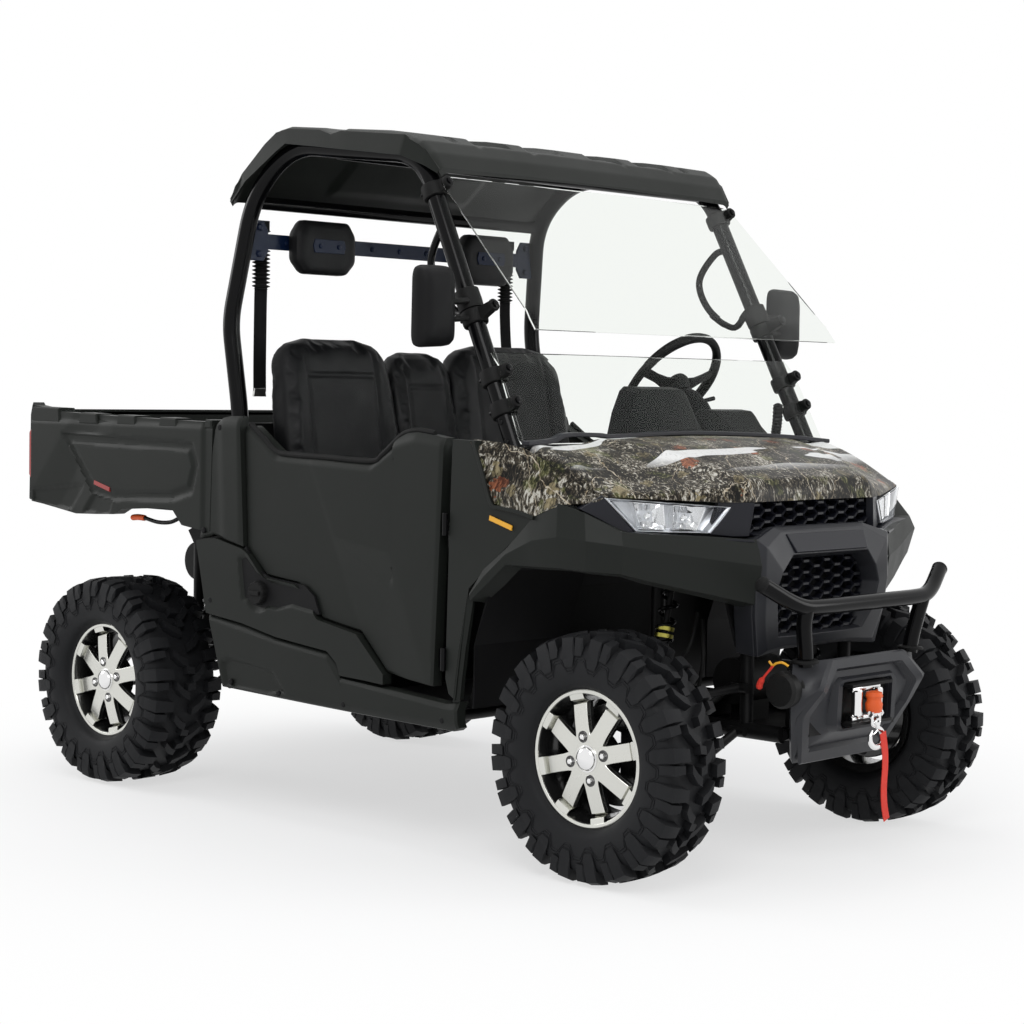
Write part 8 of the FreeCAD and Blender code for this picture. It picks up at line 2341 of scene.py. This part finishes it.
def build_floor():
    """The floor: a disc whose own shade fades to plain white between 0.9 and 2.5 m from the middle."""
    rounds, steps = 24, 72
    radius = np.geomspace(1.0, FLOOR_RADIUS, rounds)[:, None]
    turn = full_turn(steps)
    points = np.stack([radius * np.cos(turn), radius * np.sin(turn), np.zeros((rounds, steps))], axis=-1)
    faces = strip_faces(rounds, steps, across=True) + [list(range(steps))]
    mesh = bpy.data.meshes.new("studio_floor")
    mesh.from_pydata(points.reshape(-1, 3).tolist(), [], faces)
    mesh.validate()
    item = bpy.data.objects.new("studio_floor", mesh)
    bpy.context.scene.collection.objects.link(item)
    material, tree, shader = material_of("Studio floor", Base_Color=(*sizes().floor_colour, 1), Roughness=0.9,
                                         Specular_IOR_Level=0.0)
    place = node(tree, "ShaderNodeTexCoord").outputs["Object"]
    far = node(tree, "ShaderNodeVectorMath", [(0, place)], operation="LENGTH")
    fade = node(tree, "ShaderNodeMapRange", [("Value", far.outputs["Value"])],
                interpolation_type="SMOOTHSTEP", From_Min=0.9, From_Max=2.5, To_Min=0.62)
    share = maths(tree, "MULTIPLY", fade.outputs["Result"], bare_rays(tree))
    surface_mix(tree, tree.nodes["Material Output"], share, shader,
                node(tree, "ShaderNodeEmission", Color=WHITE))
    mesh.materials.append(material)


def build_stage():
    """A pale floor that fades to white away from the vehicle, soft lamps and a white surround."""
    build_floor()
    world = bpy.data.worlds.new("Studio")
    bpy.context.scene.world = world
    world.use_nodes = True
    tree = world.node_tree
    tree.nodes.clear()
    soft = node(tree, "ShaderNodeBackground", Color=(0.95, 0.97, 1.0, 1), Strength=0.50)
    surface_mix(tree, node(tree, "ShaderNodeOutputWorld"), bare_rays(tree), soft,
                node(tree, "ShaderNodeBackground", Color=WHITE))
    for name, (spot, aim, size, share) in LAMPS.items():
        lamp = bpy.data.lights.new(name, "AREA")
        lamp.shape = "DISK"
        lamp.size = size
        lamp.energy = sizes().lamp_strength * share
        holder = bpy.data.objects.new(name, lamp)
        holder.location = spot
        holder.rotation_euler = (Vector(aim) - Vector(spot)).to_track_quat("-Z", "Y").to_euler()
        bpy.context.scene.collection.objects.link(holder)
    bpy.context.scene.view_settings.view_transform = "Standard"


def build_camera():
    """The camera: an azimuth, an elevation and a small roll about the line of sight, with a slight shift."""
    turn, rise, roll = (math.radians(value) for value in (43.06, 2.73, 0.95))
    back = Vector((math.sin(turn) * math.cos(rise), -math.cos(turn) * math.cos(rise), math.sin(rise)))
    right = (-back).cross(Vector((0, 0, 1))).normalized()
    up = right.cross(-back)
    across = right * math.cos(roll) + up * math.sin(roll)
    upward = up * math.cos(roll) - right * math.sin(roll)
    data = bpy.data.cameras.new("photo_view")
    data.lens = 77.44
    data.sensor_width = 36.0
    data.shift_x = -0.01045
    data.shift_y = -0.0196
    data.clip_start = 0.05
    data.clip_end = 200.0
    camera = bpy.data.objects.new("photo_view", data)
    camera.matrix_world = Matrix(((across.x, upward.x, back.x, 4.539), (across.y, upward.y, back.y, -4.731),
                                  (across.z, upward.z, back.z, 1.231), (0, 0, 0, 1)))
    bpy.context.scene.collection.objects.link(camera)
    bpy.context.scene.camera = camera


# Operators


def operator(suffix, label, text, *builders):
    """An operator class that runs these builders."""

    def execute(self, context):
        for build in builders:
            build()
        return {"FINISHED"}

    return type(f"VEHICLE_OT_{suffix}", (bpy.types.Operator,),
                {"bl_idname": f"vehicle.{suffix}", "bl_label": label, "__doc__": text, "execute": execute})


def build_wheels():
    """All four tyres and rims."""
    for end in WHEEL_ENDS:
        for side_name in SIDES:
            build_tyre(end, side_name)
            build_rim(end, side_name)


OPERATORS = [
    operator("finishes", "Finishes", "Makes every material of the vehicle", build_finishes),
    operator("camera", "Camera", "Sets the camera at the photograph's viewing angle", build_camera),
    operator("strap", "Pull strap", "Makes the red strap that hangs from the hook", build_strap),
    operator("wheels", "Wheels", "Makes the lugged tyres and machined rims", build_wheels),
    operator("hood", "Hood", "Makes the printed hood and its sides", build_hood, build_hood_sides),
    operator("fenders", "Fenders", "Makes the front fenders with their flares", build_fenders),
    operator("fascia", "Fascia", "Makes the nose with its grilles", build_fascia),
    operator("headlamps", "Headlamps", "Makes the lamps between hood and nose", build_headlamps),
    operator("doors", "Doors", "Makes both doors", build_doors),
    operator("side_panels", "Side panels", "Makes quarters, sills and rockers", build_side_panels),
    operator("bed", "Dump bed", "Makes the bed, its tailgate, lamps and lever", build_bed, build_tailgate,
             build_tail_lamps, build_bed_latch),
    operator("roof", "Roof", "Makes the ribbed roof", build_roof),
    operator("cage", "Roll cage", "Makes the cage with its head bar and handles", build_cage),
    operator("windshields", "Windshields", "Makes the clear sheets and their clamps", build_windshields),
    operator("dash", "Dash", "Makes the dash with its cowls and the brake lever", build_dash),
    operator("steering", "Steering wheel", "Makes the steering wheel and its column", build_steering),
    operator("seats", "Seats", "Makes the padded seats by cloth pressure", build_seats),
    operator("headrests", "Head rests", "Makes the head rests on their bar", build_headrests),
    operator("belts", "Belts", "Makes the seat belts", build_belts),
    operator("mirrors", "Mirrors", "Makes the side mirrors", build_mirrors),
    operator("bumper", "Bumper", "Makes the winch cover and the guard", build_bumper, build_brush_guard),
    operator("winch", "Winch", "Makes the winch, its fairlead and hook", build_winch, build_hook),
    operator("shocks", "Shocks", "Makes the coil-over shocks", build_shocks),
    operator("details", "Details", "Makes hoses, reflectors and caps", build_details),
    operator("nodes", "Construction nodes", "Gives the construction nodes their finishes", build_nodes),
    operator("stage", "Studio", "Makes the floor, the lamps and the surround", build_stage),
]


class VEHICLE_PT_panel(bpy.types.Panel):
    """The vehicle's pieces as buttons."""

    bl_label = "Side by side vehicle"
    bl_idname = "VEHICLE_PT_panel"
    bl_space_type = "VIEW_3D"
    bl_region_type = "UI"
    bl_category = "Vehicle"

    def draw(self, context):
        for field in VehicleSizes.__annotations__:
            self.layout.prop(context.scene.vehicle_sizes, field)
        for each in OPERATORS:
            self.layout.operator(each.bl_idname)


CLASSES = [VehicleSizes, *OPERATORS, VEHICLE_PT_panel]


def register():
    """Adds the classes and the sizes."""
    for each in CLASSES:
        bpy.utils.register_class(each)
    bpy.types.Scene.vehicle_sizes = bpy.props.PointerProperty(type=VehicleSizes)


def unregister():
    """Takes the classes and the sizes away."""
    del bpy.types.Scene.vehicle_sizes
    for each in reversed(CLASSES):
        bpy.utils.unregister_class(each)


def main():
    """Makes every piece in order and writes the sizes down."""
    register()
    for each in OPERATORS:
        group, name = each.bl_idname.split(".")
        getattr(getattr(bpy.ops, group), name)()


if __name__ == "__main__":
    main()
